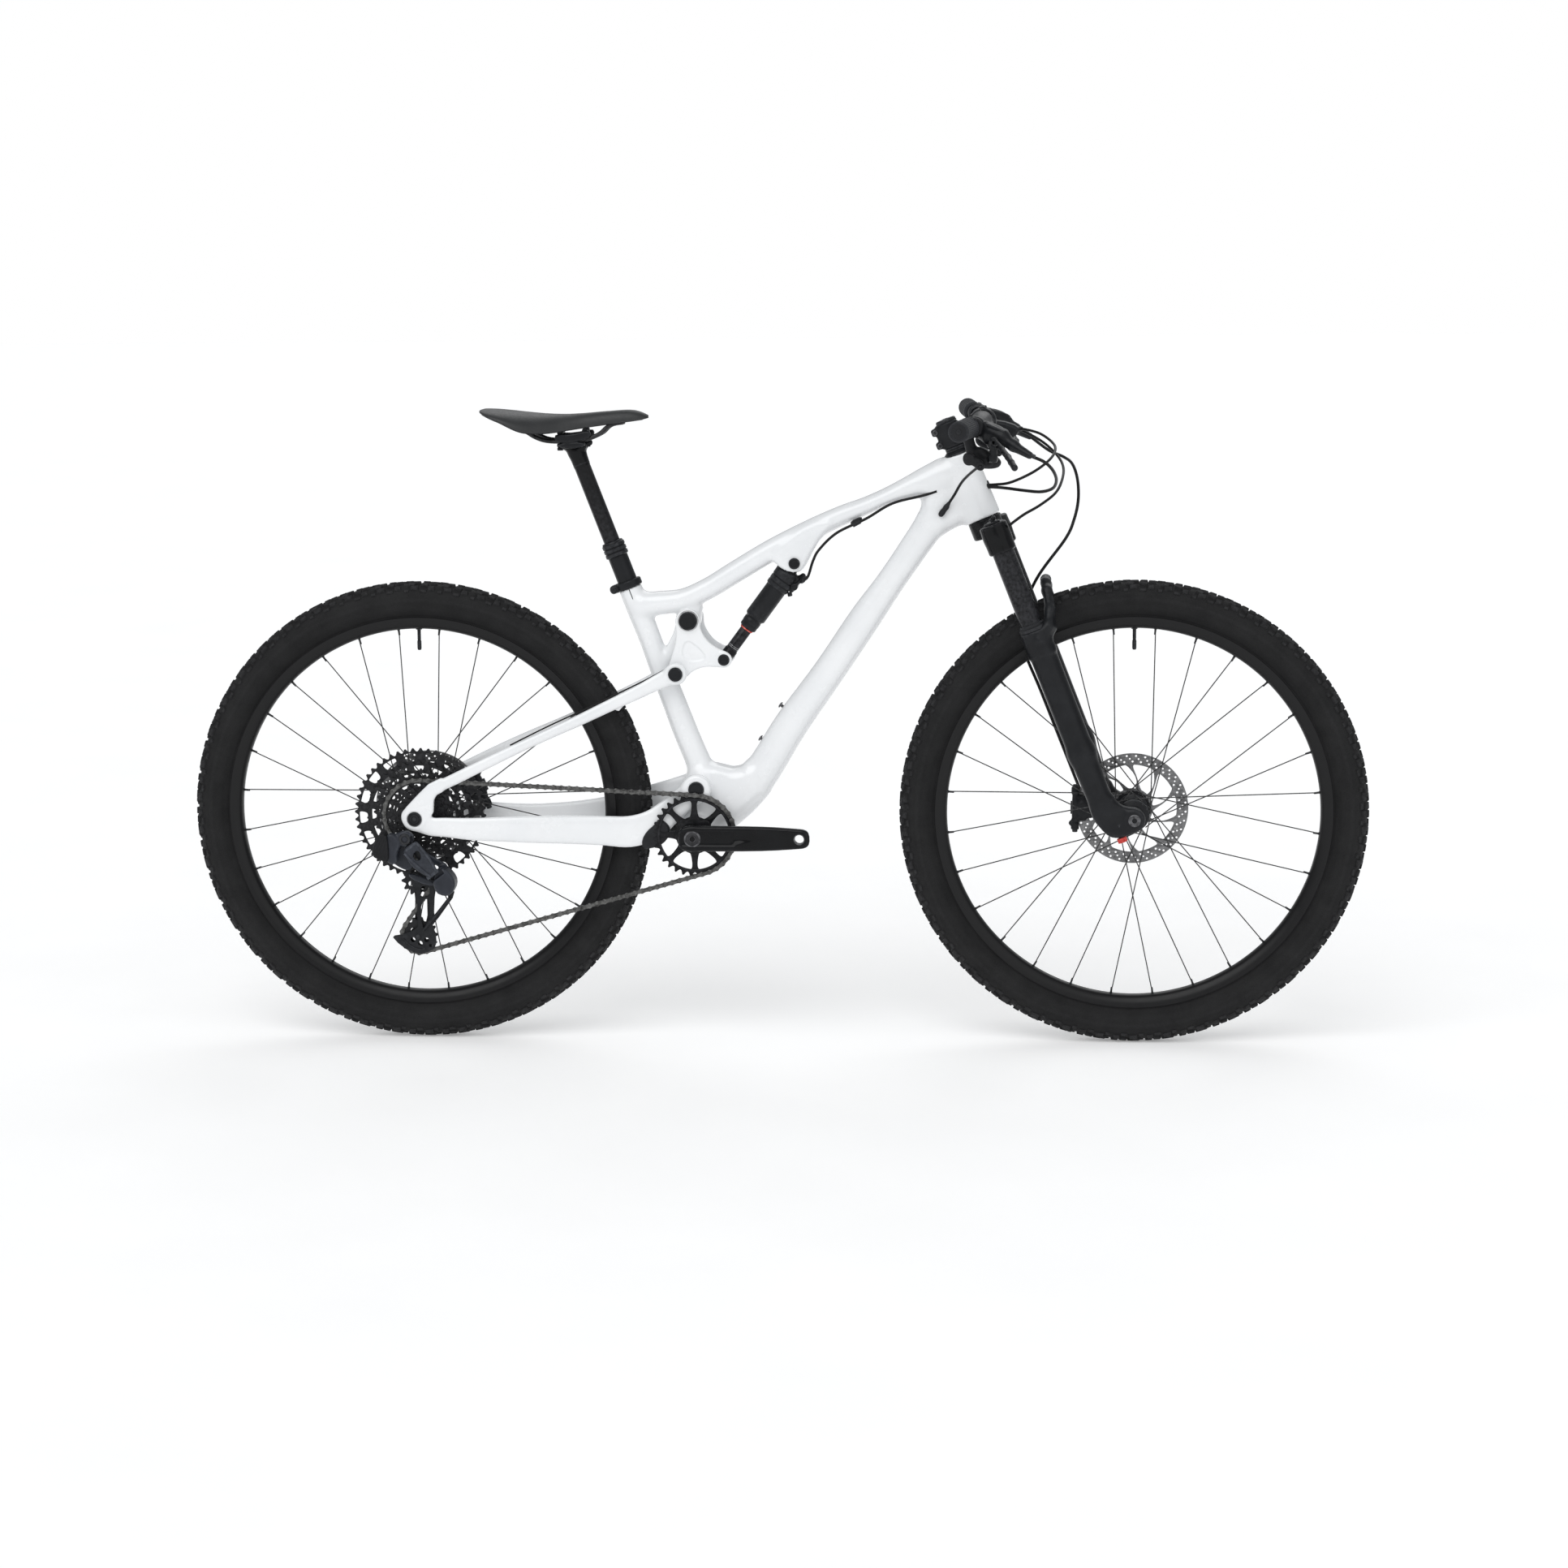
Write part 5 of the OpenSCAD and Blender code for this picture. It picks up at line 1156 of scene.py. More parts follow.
def stem():
    def body(P):
        clamp = disc(P, (0, 0, STEM_T), UP, 18.6, -20, 20, 2.5)
        ears = merge(5, block(P, (-18, 0, 153), (10, 13.2, 5.6), 3),
                     block(P, (-18, 0, 131), (10, 13.2, 5.6), 3))
        ears = merge(4, ears, block(P, (-13, 0, STEM_T), (9, 12.6, 16), 3))
        arm = rod(P, (4, 0, STEM_T), (36, 0, STEM_T), 17.4, 16.6)
        cup = disc(P, CUP, CROSS, 21, -22, 22, 3)
        solid = merge(7, merge(5, clamp, ears), merge(6, arm, cup))
        solid = cut(solid, disc(P, CUP, CROSS, 17.6, -60, 60, 0.1), 0.6)
        solid = np.maximum(solid, P[0] - 56.6)
        solid = cut(solid, disc(P, (0, 0, STEM_T), UP, 14.3, -60, 60, 0.1), 0.4)
        # A slit behind, and a hollow under the arm
        solid = cut(solid, block(P, (-24, 0, STEM_T), (14, 1.1, 40), 0.2))
        return cut(solid, block(P, (26, 0, 158), (12, 9, 3), 2), 2)

    def plate_front(P):
        shell = disc(P, CUP, CROSS, 21, -22, 22, 3)
        lugs = merge(3, block(P, (60, 0, 160), (6, 20, 5), 3), block(P, (60, 0, 124), (6, 20, 5), 3))
        solid = merge(5, shell, lugs)
        solid = cut(solid, disc(P, CUP, CROSS, 17.6, -60, 60, 0.1), 0.6)
        solid = np.maximum(solid, 58.4 - P[0])
        return cut(solid, block(P, (76, 0, STEM_T), (9, 11, 10), 3), 2)

    make("stem_forged", grown((-32, -26, 116), (62, 26, 168), 1.0, body, STEER), "black_alloy", "steering",
         ["stem"], 60)
    plate_part = grown((52, -26, 112), (82, 26, 172), 1.0, plate_front, STEER)
    bolts = [screw(spot(STEER, 65.2, y, t), STEER[1], 3.2, 2.8, 1.5) for y in (-14, 14) for t in (124, 160)]
    make("stem_front_plate", join(plate_part, *bolts), "black_alloy", "steering", ["stem_faceplate"], 60)
    pinch = [screw(spot(STEER, -22, s * 12.8, t), (0, s, 0), 4.2, 3.4, 2.0) for t in (131,
        153) for s in (-1, 1)]
    make("stem_pinch_bolts", join(*pinch), "steel", "steering", (), 40)

    ring = [(14.27, 108.4), (24.4, 108.4), (24.9, 109.0), (24.6, 110.2), (22.5, 111.8), (19.2, 114.6),
            (18.0, 115.3), (14.27, 115.3)]
    groove = [(14.27, 115.6), (17.2, 115.6), (17.5, 115.9), (17.5, 117.9), (17.0, 118.3), (17.5, 118.7),
              (17.5, 121.3), (17.2, 121.6), (14.27, 121.6)]
    cap = [(3, 162.3), (16.3, 162.3), (16.5, 163.0), (16.2, 165.6), (14.8, 167.0), (6, 167.6), (5.6, 167.0),
           (3, 167.0)]
    cap_bolt = [(4.8, 165.8), (4.8, 167.4), (4.3, 168.0), (2.4, 168.0), (2.4, 166.0), (0.05, 166.0)]
    make("headset_stack", join(*[lathe(p, STEER[0], STEER[3], 64, loop) for p, loop in (
        (ring, True), (groove, True), (cap, True), (cap_bolt, False))]), "black_alloy", "steering",
         ["headset_spacers"], 40)


def brake_controls():
    def master(P):
        clamp = disc(P, (324.4, -194, 1003.2), (0.09, -1, 0.0), 16.2, -7, 7, 2)
        neck = merge(6, rod(P, (334, -194, 994), (346, -212, 987), 9, 10),
                     rod(P, (342, -202, 1003), (356, -214, 994), 9.5, 12.5))
        tank = merge(7, rod(P, (350, -214, 996), (366, -222, 990), 12.5, 12),
                     rod(P, (364, -222, 989), (384, -232, 977), 10.6, 8.8))
        nose = rod(P, (384, -233, 976), (408, -247, 963), 8.2, 5.6)
        solid = merge(6, merge(6, clamp, neck), merge(5, tank, nose))
        cover = block(P, (359, -219, 1003), (16, 11, 2.0), 1.6,
                      (unit((0.88, -0.28, -0.38)), unit((0.3, 0.95, 0)), unit((0.36, -0.11, 0.92))))
        solid = merge(1.5, solid, cover)
        fork = merge(3, rod(P, (354, -222, 984), (354, -230, 968), 7.4, 6.6),
                     rod(P, (362, -226, 983), (362, -226, 965), 5))
        solid = merge(4, solid, fork)
        return cut(solid, bar_bore(P, -1))

    shell = grown((304, -262, 948), (420, -180, 1024), 1.1, master)
    band = [screw((318.5, -194, 1019), (-0.2, 0, 1), 2.9, 2.6, 1.4),
            screw((340, -194, 990), (0.6, 0, -0.6), 2.9, 1.6, 1.4)]
    pivot = lathe([(3.6, 0), (3.6, 1.2), (3.0, 1.8), (1.2, 1.8), (0.05, 1.0)], (353, -231, 962.4),
                  (0, 0, -1), 24)
    hose_nut = lathe([(3.9, 0), (3.9, 6), (3.2, 7.2), (3.2, 11), (2.7, 12)], (406, -246, 964.6),
                     unit(np.array([0.86, -0.42, -0.3])), 6)
    part = join(shell, *band, pivot, hose_nut)
    make("brake_master_cylinders", both(part), "black_alloy", "steering", ["brake_masters"], 50)

    def blade(P):
        hub = disc(P, (352, -232, 957), UP, 8, -5.6, 5.6, 2)
        riser = merge(3, rod(P, (354, -241, 958), (354, -243, 984), 5.2, 5.6),
                      block(P, (353, -237, 957.5), (6, 8, 4.6), 2))
        finger = merge(3, rod(P, (354, -243, 984), (366, -262, 973), 5.8, 4.8),
                       rod(P, (366, -262, 973), (376, -290, 963), 4.8, 4.6),
                       rod(P, (376, -290, 963), (381, -318, 957), 4.6, 4.6),
                       rod(P, (381, -318, 957), (386, -334, 950), 4.6, 5.0))
        solid = merge(3, merge(3, hub, riser), finger)
        # The front of the finger is worked flat, with lightening holes
        for at, r in (((355.5, -244, 983), 2.6), ((361, -253, 977.6), 2.4), ((368.5, -268, 970.8), 1.8),
                      ((373.5, -282, 965.6), 1.8)):
            solid = cut(solid, disc(P, at, (0.25, 1, 0.1), r, -14, 14, 0.2), 0.6)
        return solid

    lever = grown((340, -344, 942), (394, -220, 994), 0.9, blade)
    make("right_brake_blade", lever, "black_alloy", "right_lever", ["right_brake_lever"], 50)
    make("left_brake_blade", mirrored(lever), "black_alloy", "left_lever", ["left_brake_lever"], 50)


def bar_controls():
    def pod(P):
        arm = rod(P, (314, -207, 990), (322, -208, 962), 8, 9)
        case = slab(P, [(314, 970), (317, 948), (336, 940.5), (360, 941), (367, 950), (357, 960),
                        (336, 975)],
                    -222, -190, 7, 2)
        band = disc(P, (324, -207, 1003.3), CROSS, 14.6, -5, 5, 1.5)
        ridge = slab(P, [(330, 963), (352, 951), (358, 955), (336, 968)], -224, -188, 3, 1)
        return cut(merge(3, merge(5, arm, case, band), ridge), bar_bore(P, -1, 11.2))

    shell = grown((300, -228, 934), (374, -182, 1022), 1.1, pod)
    pin = lathe([(1.9, -248), (1.9, -220)], (334, 0, 946), sides=20)
    battery_lid = lathe([(0.05, -1.5), (7.5, -1.5), (8, -1), (8, 0.8), (7.2, 1.3), (1.2, 1.3), (0.05, 0.6)],
                        (346, -222, 951), (0, -1, 0), 40)
    nipple = lathe([(3.8, 0), (3.8, 4), (3.0, 5), (3.0, 8), (2.4, 9)], (352, -191, 955), CROSS, 24)
    make("shift_control_case", join(shell, pin, battery_lid, nipple), "black_plastic", "steering",
         ["shifter_pod"], 55)

    def paddle(P):
        lobe = slab(P, [(307, 962), (308, 952), (314, 947), (322, 948), (327, 956), (324, 965), (314, 968)],
                    -246, -228, 4.5, 2)
        arm = slab(P, [(316, 952), (332, 940), (341, 944), (340, 952), (326, 962)], -244, -227, 4, 2)
        boss = disc(P, (334, -236, 946), CROSS, 6.2, -9.4, 9.4, 1.5)
        groove = merge(0, *[block(P, (316, y, 950), (12, 0.6, 4), 0.3) for y in (-241, -237, -233)])
        return cut(cut(merge(3, lobe, arm, boss), groove, 0.6),
                   disc(P, (334, -236, 946), CROSS, 2.05, -30, 30, 0.1))

    make("shift_paddle_blade", grown((300, -250, 934), (348, -222, 974), 0.8, paddle), "black_plastic",
         "paddle",
         ["shift_paddle"], 55)

    def remote(P):
        band = disc(P, (324.2, 154, 1003.2), CROSS, 15, -6, 6, 1.5)
        plate_body = slab(P, [(328, 996), (334, 964), (342, 947), (360, 946), (368, 956), (392, 974),
                              (391, 985), (360, 995)], 142, 175, 6, 1)
        return cut(merge(5, band, plate_body), bar_bore(P, 1))

    shell = grown((304, 136, 940), (398, 182, 1024), 1.2, remote)
    pin = lathe([(1.9, 172), (1.9, 216.5)], (352, 0, 952), sides=20)
    anchors = [lathe([(4, 0), (4, 5), (3.4, 6), (3.4, 9), (2.6, 11)], (386, y, 980), (1, 0, 0.02),
                     24) for y in (158, 168)]
    make("remote_control_case", join(shell, pin, *anchors), "black_alloy", "steering", ["remote_pod"], 55)

    def thumb(P):
        blade = slab(P, [(318, 966), (321, 953), (336, 946), (350, 943), (359, 950), (352, 961),
                         (337, 965)],
                     178, 214, 4.5, 2)
        boss = disc(P, (352, 196, 952), CROSS, 7, -18.8, 18.8, 1.5)
        grip = merge(0, *[block(P, (326, y, 962), (12, 0.7, 8), 0.3) for y in range(184, 212, 5)])
        return cut(cut(merge(3, blade, boss), grip, 0.8), disc(P, (352, 196, 952), CROSS, 2.05, -40, 40,
            0.1))

    make("remote_thumb_lever", grown((312, 174, 936), (366, 218, 972), 1.0, thumb), "black_alloy", "remote",
         ["remote_lever"], 55)


# ---------- cables ----------


def cables():
    """Hoses and cables along their routes; those that cross the steering and the fork's travel ride on no
    body.
    """
    def hose(name, route, radius, stands_for=()):
        return make(name, tube(route, radius, 14, 10), "cable_black", None, stands_for)

    runs = [("rear_brake_hose", 2.5, ["frame_cables"], [
        (404, -245, 965), (412, -247, 961), (430, -233, 952), (443, -208, 938), (449, -165, 920),
        (444, -120, 904), (426, -85, 896), (400, -58, 896), (373, -36, 898), (353, -17, 898.5),
        (337, -8, 898)]),
            ("dropper_cable", 2.2, (), [
                (388, 158, 981), (392, 158, 981), (424, 134, 974), (446, 92, 960), (448, 50, 949),
                (436, 10, 936), (411, -13, 920), (378, -20, 906), (355, -9, 902), (339, -3, 901)]),
            ("shock_cable", 2.2, (), [
                (352, -190, 955), (351, -180, 954.5), (344, -152, 948), (325, -118, 934), (304, -66, 912),
                (290, -40, 888), (281, -31, 874), (276, -29, 866)])]
    for name, radius, stands_for, route in runs:
        obj = hose(name, route, radius, stands_for)
        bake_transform(obj)
    low = hose("shock_cable_low", [
        (262, -24, 893), (240, -24, 886), (192, -26, 874), (150, -26.5, 850), (104, -28, 828),
        (76, -30, 802), (66, -34, 784), (58, -33, 760), (50, -26, 752)], 2.2)
    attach(low, "frame")
    lock = hose("fork_lockout_cable", [
        (388, 168, 980), (392, 168, 979), (428, 152, 960), (452, 118, 940), (462, 72, 923), (459, 20, 905),
        (448, -18, 888), (424, -50, 872), (401, -66, 860), (386, -73, 850), (376, -72, 842)], 2.2,
        ["fork_cables"])
    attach(lock, "steering")
    front = hose("front_brake_hose", [
        (404, 245, 965), (412, 248, 960), (440, 238, 940), (464, 224, 930), (478, 198, 920),
        (486, 168, 897), (487, 138, 866), (480, 120, 835), (466, 108, 805), (420, 95, 742), (396, 89, 680),
        (398, 78, 634), (427, 68, 563), (464, 64, 470), (482, 58, 425), (492, 46, 402)], 2.5)
    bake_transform(front)
    thin = hose("rear_sensor_cable", [
        (-170, -40, 612), (-215, -44, 589), (-300, -51, 549), (-360, -60, 522), (-420, -70, 493)], 1.2)
    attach(thin, "stays")


handlebar()
grips()
stem()
brake_controls()
bar_controls()
cables()


# ---------- seat ----------

RAIL_R = 3.5


def seat_post():
    clamp = grown((-34, -26, 20), (26, 26, 41), 0.8, lambda P: cut(cut(
        merge(4, disc(P, (0, 0, 0), UP, 21.4, 24.4, 36.4, 2.5),
              block(P, (-22, 0, 30.4), (7.5, 9.5, 5.9), 3),
              disc(P, (-25, 0, 30.4), CROSS, 5.6, -12, 12, 1.2)),
        disc(P, (0, 0, 0), UP, 15.9, 10, 60, 0.1), 0.4), block(P, (-26, 0, 30), (14, 0.8, 20), 0.1)), SEAT)
    bolt = screw(spot(SEAT, -25, -12.2, 30.4), (0, -1, 0), 4.0, 1.4, 2.0)
    make("seat_clamp_ring", join(clamp, bolt), "black_alloy", "frame", ["seat_clamp"], 50)
    tube_profile = [(13.05, -190), (15.85, -190), (15.85, 78)]
    for h in (79, 86.5, 94):
        tube_profile += [(17.4, h), (18.6, h + 0.8), (18.6, h + 5.6), (17.4, h + 6.4)]
    tube_profile += [(17.2, 100.6), (17.0, 102.4), (16.0, 103.4), (14.4, 103.6), (13.3, 103.0),
                     (13.05, 100)]
    make("seatpost_outer", lathe(tube_profile, SEAT[0], SEAT[3], 72, True), "black_alloy", "frame",
         ["seatpost_tube"], 40)
    # Painted shade: a thin dark strip on the seat tube's right side stands in for the shadow inside its
    # slot, which is not cut
    painted_slot_shade = grown((-3, -20.2, 4), (3, -17.2, 24.4), 0.5, lambda P: block(P, (0, -18.55, 14),
        (0.75, 0.6, 9.6), 0.5), SEAT)
    make("seat_tube_slot_painted_shade", painted_slot_shade, "black_plastic", "frame", (), 50)

    mast = lathe([(11, -40), (13, -40), (13, 234), (13.6, 235), (13.6, 237), (12, 239), (11, 239)], SEAT[0],
                 SEAT[3], 72, True)

    # The head, in the row frame: a forged neck, two ears with upright screws, and the rail cradle
    def head(P):
        neck = merge(5, rod(P, (-305, 0, 935.5), (-313, 0, 958), 13.4, 14.5),
                     rod(P, (-313, 0, 958), (-319, 0, 966), 14, 12))
        ears = merge(4, rod(P, (-339, 0, 966.5), (-318, 0, 964), 5.2, 8),
                     rod(P, (-292, 0, 971), (-312, 0, 964), 5.2, 8),
                     block(P, (-316, 0, 966), (20, 11, 5), 3))
        seat = slab(P, [(-334, 968), (-331, 978.5), (-303, 980.5), (-301, 967)], -15.5, 15.5, 3, 1)
        solid = merge(5, merge(5, neck, ears), seat)
        return cut(solid, disc(P, (-316.5, 0, 973.5), CROSS, 5.4, -40, 40, 0.5), 1)

    neck_part = grown((-348, -20, 918), (-282, 20, 986), 1.0, head)
    screws = []
    for x, z0, z1 in ((-339, 960, 990), (-295, 966, 994)):
        screws.append(lathe([(2.4, 0), (2.4, z1 - z0)], (x, 0, z0), UP, 20))
        screws.append(lathe([(4.6, 0), (4.8, 0.6), (4.8, 3.6), (4.2, 4.6), (2.4, 4.6)], (x, 0, z0 - 1.5),
                            UP, 24))
        screws.append(lathe([(4.2, 0), (4.2, 5)], (x, 0, z1 - 6), UP, 6))
    make("seatpost_mast", join(mast, neck_part, *screws), "gloss_black", "post", ["seatpost_stanchion"], 45)


def rails_and_cradle():
    """The saddle's rails, and the cradle that holds them on the post's head."""
    side = [(-414, 38, 1003), (-402, 35.5, 999), (-390, 31.5, 991.5), (-377, 26.5, 982.5),
            (-364, 23, 976.8), (-352, 22, 974.6), (-334, 22, 974.2), (-300, 22, 976.5), (-284, 21.5, 980.5),
            (-271, 20, 987), (-261, 16, 996), (-250, 11, 1001), (-236, 8, 1003)]
    rails = [tube([(x, s * y, z) for x, y, z in side], RAIL_R, 20, 6) for s in (-1, 1)]

    def cradle(P):
        top = slab(P, [(-344, 978), (-343, 986), (-318, 985.5), (-290, 992), (-286, 985), (-290, 978),
                       (-318, 972), (-342, 972.5)], -29, -15.5, 3, 1)
        low = slab(P, [(-338, 965), (-338, 972), (-296, 974), (-296, 966), (-318, 962)], -28, -15.5, 3, 1)
        return cut(merge(2, top, low), rod(P, (-400, -22, 970.6), (-300, -22, 976.5), RAIL_R), 0.5)

    holder = grown((-350, -32, 956), (-280, -12, 998), 0.9, cradle)
    # Cross pieces that the upright screws pull down
    bars = [lathe([(4.2, -16), (4.6, -15), (4.6, 15), (4.2, 16)], (x, 0, z), CROSS, 24)
            for x, z in ((-337, 986.8), (-297, 990.6))]
    make("saddle_rail_pair", join(*rails), "rail_metal", "post", ["saddle_rails"], 50)
    make("saddle_rail_cradle", join(both(holder), *bars), "black_alloy", "post", (), 50)


def saddle():
    """The padded cover, and the hard shell inside it with sockets for the rails."""
    # x, half width, top, lower edge, flatness of the crown
    stations = [(-462.5, 34, 1024.9, 1022.8, 3.4), (-460, 45, 1025.2, 1021.0, 3.4),
                (-452, 57, 1025.0, 1017.4, 3.3), (-440, 65.5, 1024.5, 1012.4, 3.2),
                (-426, 69, 1023.4, 1006.8, 3.0), (-412, 70, 1022.2, 999.8, 2.9),
                (-400, 69, 1020.9, 994.2, 2.8), (-388, 66, 1019.8, 990.6, 2.7),
                (-374, 60.5, 1018.5, 989.0, 2.7), (-358, 51, 1017.4, 988.8, 2.7),
                (-342, 41.5, 1016.9, 990.0, 2.6), (-325, 33.5, 1017.0, 992.4, 2.6),
                (-308, 27.5, 1018.0, 994.8, 2.5), (-290, 23.8, 1019.4, 997.4, 2.5),
                (-270, 21.8, 1021.2, 1000.0, 2.5), (-250, 20.6, 1022.6, 1002.6, 2.5),
                (-234, 19.6, 1023.2, 1004.6, 2.5), (-220, 18.0, 1022.4, 1006.4, 2.4),
                (-209, 15.0, 1019.6, 1007.8, 2.3), (-201, 10.5, 1016.2, 1009.0, 2.2),
                (-197, 6.0, 1014.2, 1010.0, 2.2)]
    line = spline(stations, 4)
    n = 64
    rings = []
    for x, w, top, low, p in line:
        a = np.sin(np.linspace(-1, 1, n) * math.pi / 2)
        crown = low + (top - low) * (1 - np.abs(a) ** p) ** (1 / 2.1)
        # A shallow channel along the middle
        depth = 1.6 * np.exp(-(a * w / 7.0) ** 2) * np.clip((x + 452) / 30, 0, 1) * np.clip((-215 - x) / 40,
            0, 1)
        upper = np.stack([np.full(n, x), a * w, crown - depth], axis=1)
        thick = min(7.0, 0.42 * (top - low))
        c = np.sin(np.linspace(1, -1, n)[1:-1] * math.pi / 2)
        inner = low - 0.8 + (top - thick - low) * np.clip(1 - np.abs(c) ** 2.2, 0, 1) ** 0.6
        lower = np.stack([np.full(len(c), x), c * (w - 2.2), inner], axis=1)
        rings.append(np.concatenate([upper, lower]))
    cover = make("saddle_top_cover", lofted(rings), "saddle_skin", "post", ["saddle_cover"], 70)

    rings = []
    for x, w, top, low, _ in line[6:-6]:
        c = np.sin(np.linspace(-1, 1, 25) * math.pi / 2)
        thick = min(7.0, 0.42 * (top - low))
        lift = low + 0.6 + (top - thick - 1.4 - low) * np.clip(1 - np.abs(c) ** 2.2, 0, 1) ** 0.6
        outer = np.stack([np.full(25, x), c * (w - 3.4), lift], axis=1)
        inner = outer[::-1] - (0, 0, 2.2)
        rings.append(np.concatenate([outer, inner]))
    socket = grown((-432, -50, 992), (-400, -28, 1016), 1.0, lambda P: merge(
        3, rod(P, (-418, -39, 1005), (-408, -36.5, 1002.5), 4.8),
        rod(P, (-416, -38.5, 1005), (-422, -40, 1012), 5, 4.5)))
    make("saddle_shell", join(lofted(rings), both(socket)), "black_plastic", "post", ["saddle_base"], 50)


# ---------- shock ----------

SHOCK_AIM = unit(np.array([SHOCK_TOP[0] - SHOCK_LOW[0], 0, SHOCK_TOP[1] - SHOCK_LOW[1]]))
SHOCK = (np.array(point_of(SHOCK_LOW), float), np.cross(CROSS, SHOCK_AIM), np.array(CROSS), SHOCK_AIM)


def shock():
    can = lathe([(11.5, 59.6), (12.8, 59.6), (13.8, 60.6), (14.1, 62), (14.1, 67.5), (14.6, 69.5),
                 (14.6, 75), (13.8, 77), (15.2, 79.4), (16.4, 80.4), (17.2, 82), (17.2, 138), (17.6, 139.2),
                 (18.9, 140), (19.2, 141.5), (19.2, 146), (18.6, 146.5), (18.6, 147.8), (19.2, 148.4),
                 (19.2, 155), (18.5, 155.6), (18.5, 156.6), (19.4, 157.4), (19.6, 166), (18.8, 169.5),
                 (16.4, 172.5), (11.5, 172.5)], SHOCK[0], SHOCK[3], 72, True)

    def head(P):
        eye = disc(P, (0, 0, 190.5), CROSS, 11, -12.4, 12.4, 1.5)
        neck = merge(6, rod(P, (0, 0, 168), (0, 0, 183), 15.5, 10),
                     rod(P, (-12, 0, 170), (-4, 0, 182), 8, 7))
        side = merge(4, block(P, (16, 0, 161), (9.5, 8, 14), 4),
                     rod(P, (20, 0, 168), (23, 0, 180), 5.4, 4.4))
        lever = merge(3, disc(P, (22, 0, 158), CROSS, 5.6, -11, 11, 1.2),
                      rod(P, (22, -9, 158), (25, -9, 178), 2.2, 2.0))
        solid = merge(3, merge(5, eye, neck), side, lever)
        return cut(solid, disc(P, (0, 0, 190.5), CROSS, 5.05, -30, 30, 0.1), 0.5)

    top = grown((-26, -16, 140), (32, 16, 204), 1.0, head, SHOCK)
    valve = lathe([(3.6, 0), (3.8, 0.5), (3.8, 6), (3.2, 7)], spot(SHOCK, 20.5, 0, 146),
                  unit(SHOCK[1] * 0.75 - SHOCK[3] * 0.66), 24)
    make("shock_air_can", join(can, top, valve), "black_alloy", "shock_can", ["shock_can"], 45)
    ring = lathe([(9.7, 56.2), (10.6, 56.2), (11.3, 56.9), (11.3, 58.2), (10.6, 58.9), (9.7, 58.9)],
                 SHOCK[0], SHOCK[3], 48, True)
    make("shock_travel_ring", ring, "knob_red", "shock_shaft", (), 60)
    cable_end = lathe([(2.9, 0), (2.9, 6), (2.3, 7), (2.3, 10)], (49.4, -25.4, 751),
                      unit(np.array([0.5, -0.45, 0.75])), 20)
    lever_arm = tube([(49.6, -22, 750.6), (47, -14, 748), (44, -10, 748)], 2.1, 12, 4)
    make("shock_cable_stop", join(cable_end, lever_arm), "black_alloy", "shock_can", (), 50)

    shaft = lathe([(9.6, 8), (9.6, 93), (8.6, 94), (4, 94), (4, 8)], SHOCK[0], SHOCK[3], 72, True)
    marks = [lathe([(9.55, h), (9.72, h + 0.1), (9.72, h + 0.5), (9.55, h + 0.6)], SHOCK[0], SHOCK[3], 72,
                   True)
             for h in (20.5, 23.0)]

    def eye(P):
        body = merge(4, disc(P, (0, 0, 0), CROSS, 11, -12.4, 12.4, 1.5),
                     rod(P, (0, 0, 4), (0, 0, 12), 9.5, 8.6),
                     disc(P, (0, 0, 0), UP, 10.6, 8, 17, 1.5))
        ends = disc(P, (0, 0, 0), CROSS, 8.5, -26.4, 26.4, 0.6)
        return cut(merge(1, body, ends), disc(P, (0, 0, 0), CROSS, 4.6, -40, 40, 0.1), 0.4)

    low = grown((-14, -29, -14), (14, 29, 22), 0.9, eye, SHOCK)
    make("shock_damper_body", join(shaft, low), "gloss_black", "shock_shaft", ["shock_shaft"], 45)
    make("shock_travel_marks", join(*marks), "bright_steel", "shock_shaft", (), 60)


# ---------- cranks, chainring and cassette ----------

RING_Y = -52
COG_Y = -45
COG_STEP = 3.45
COGS = [10, 12, 14, 16, 18, 21, 24, 28, 32, 36, 42, 52]
CHAIN_COG = COGS.index(28)
RING_TEETH = 32
GUIDE_TEETH = 12
TENSION_TEETH = 14
PITCH = 12.7
GUIDE = (-579.5, 268.7)
TENSION = (-580.0, 176.0)
KNUCKLE = (-532.0, 270.0)
HANGER = (-588.5, 345.4)


def pitch_radius(teeth):
    return PITCH / 2 / math.sin(math.pi / teeth)


def cog_y(i):
    """The place across the bike of cog i; the chain's own cog is in line with its run."""
    return COG_Y - (CHAIN_COG - i) * COG_STEP


def toothed(centre, teeth, tip=2.6, root=-3.6, start=0.0):
    """Outline of a sprocket: round valleys that the rollers sit in, and short pointed teeth."""
    r = pitch_radius(teeth)
    step = 360 / teeth
    flank = ((-0.5, root), (-0.36, root * 0.8), (-0.22, root * 0.1), (-0.13, tip * 0.72), (-0.055, tip),
             (0.055, tip), (0.13, tip * 0.72), (0.22, root * 0.1), (0.36, root * 0.8))
    return [polar(centre, r + rise, start + i * step + turn * step) for i in range(teeth) for turn,
            rise in flank]


def fan(centre, r0, r1, angle, half0, half1):
    """A rounded window between two radii, half0 and half1 degrees either side of an angle."""
    outer = [polar(centre, r1, angle + half1 * t) for t in (-1, -0.5, 0, 0.5, 1)]
    inner = [polar(centre, r0, angle + half0 * t) for t in (1, 0, -1)]
    return rounded(outer + inner, 2)


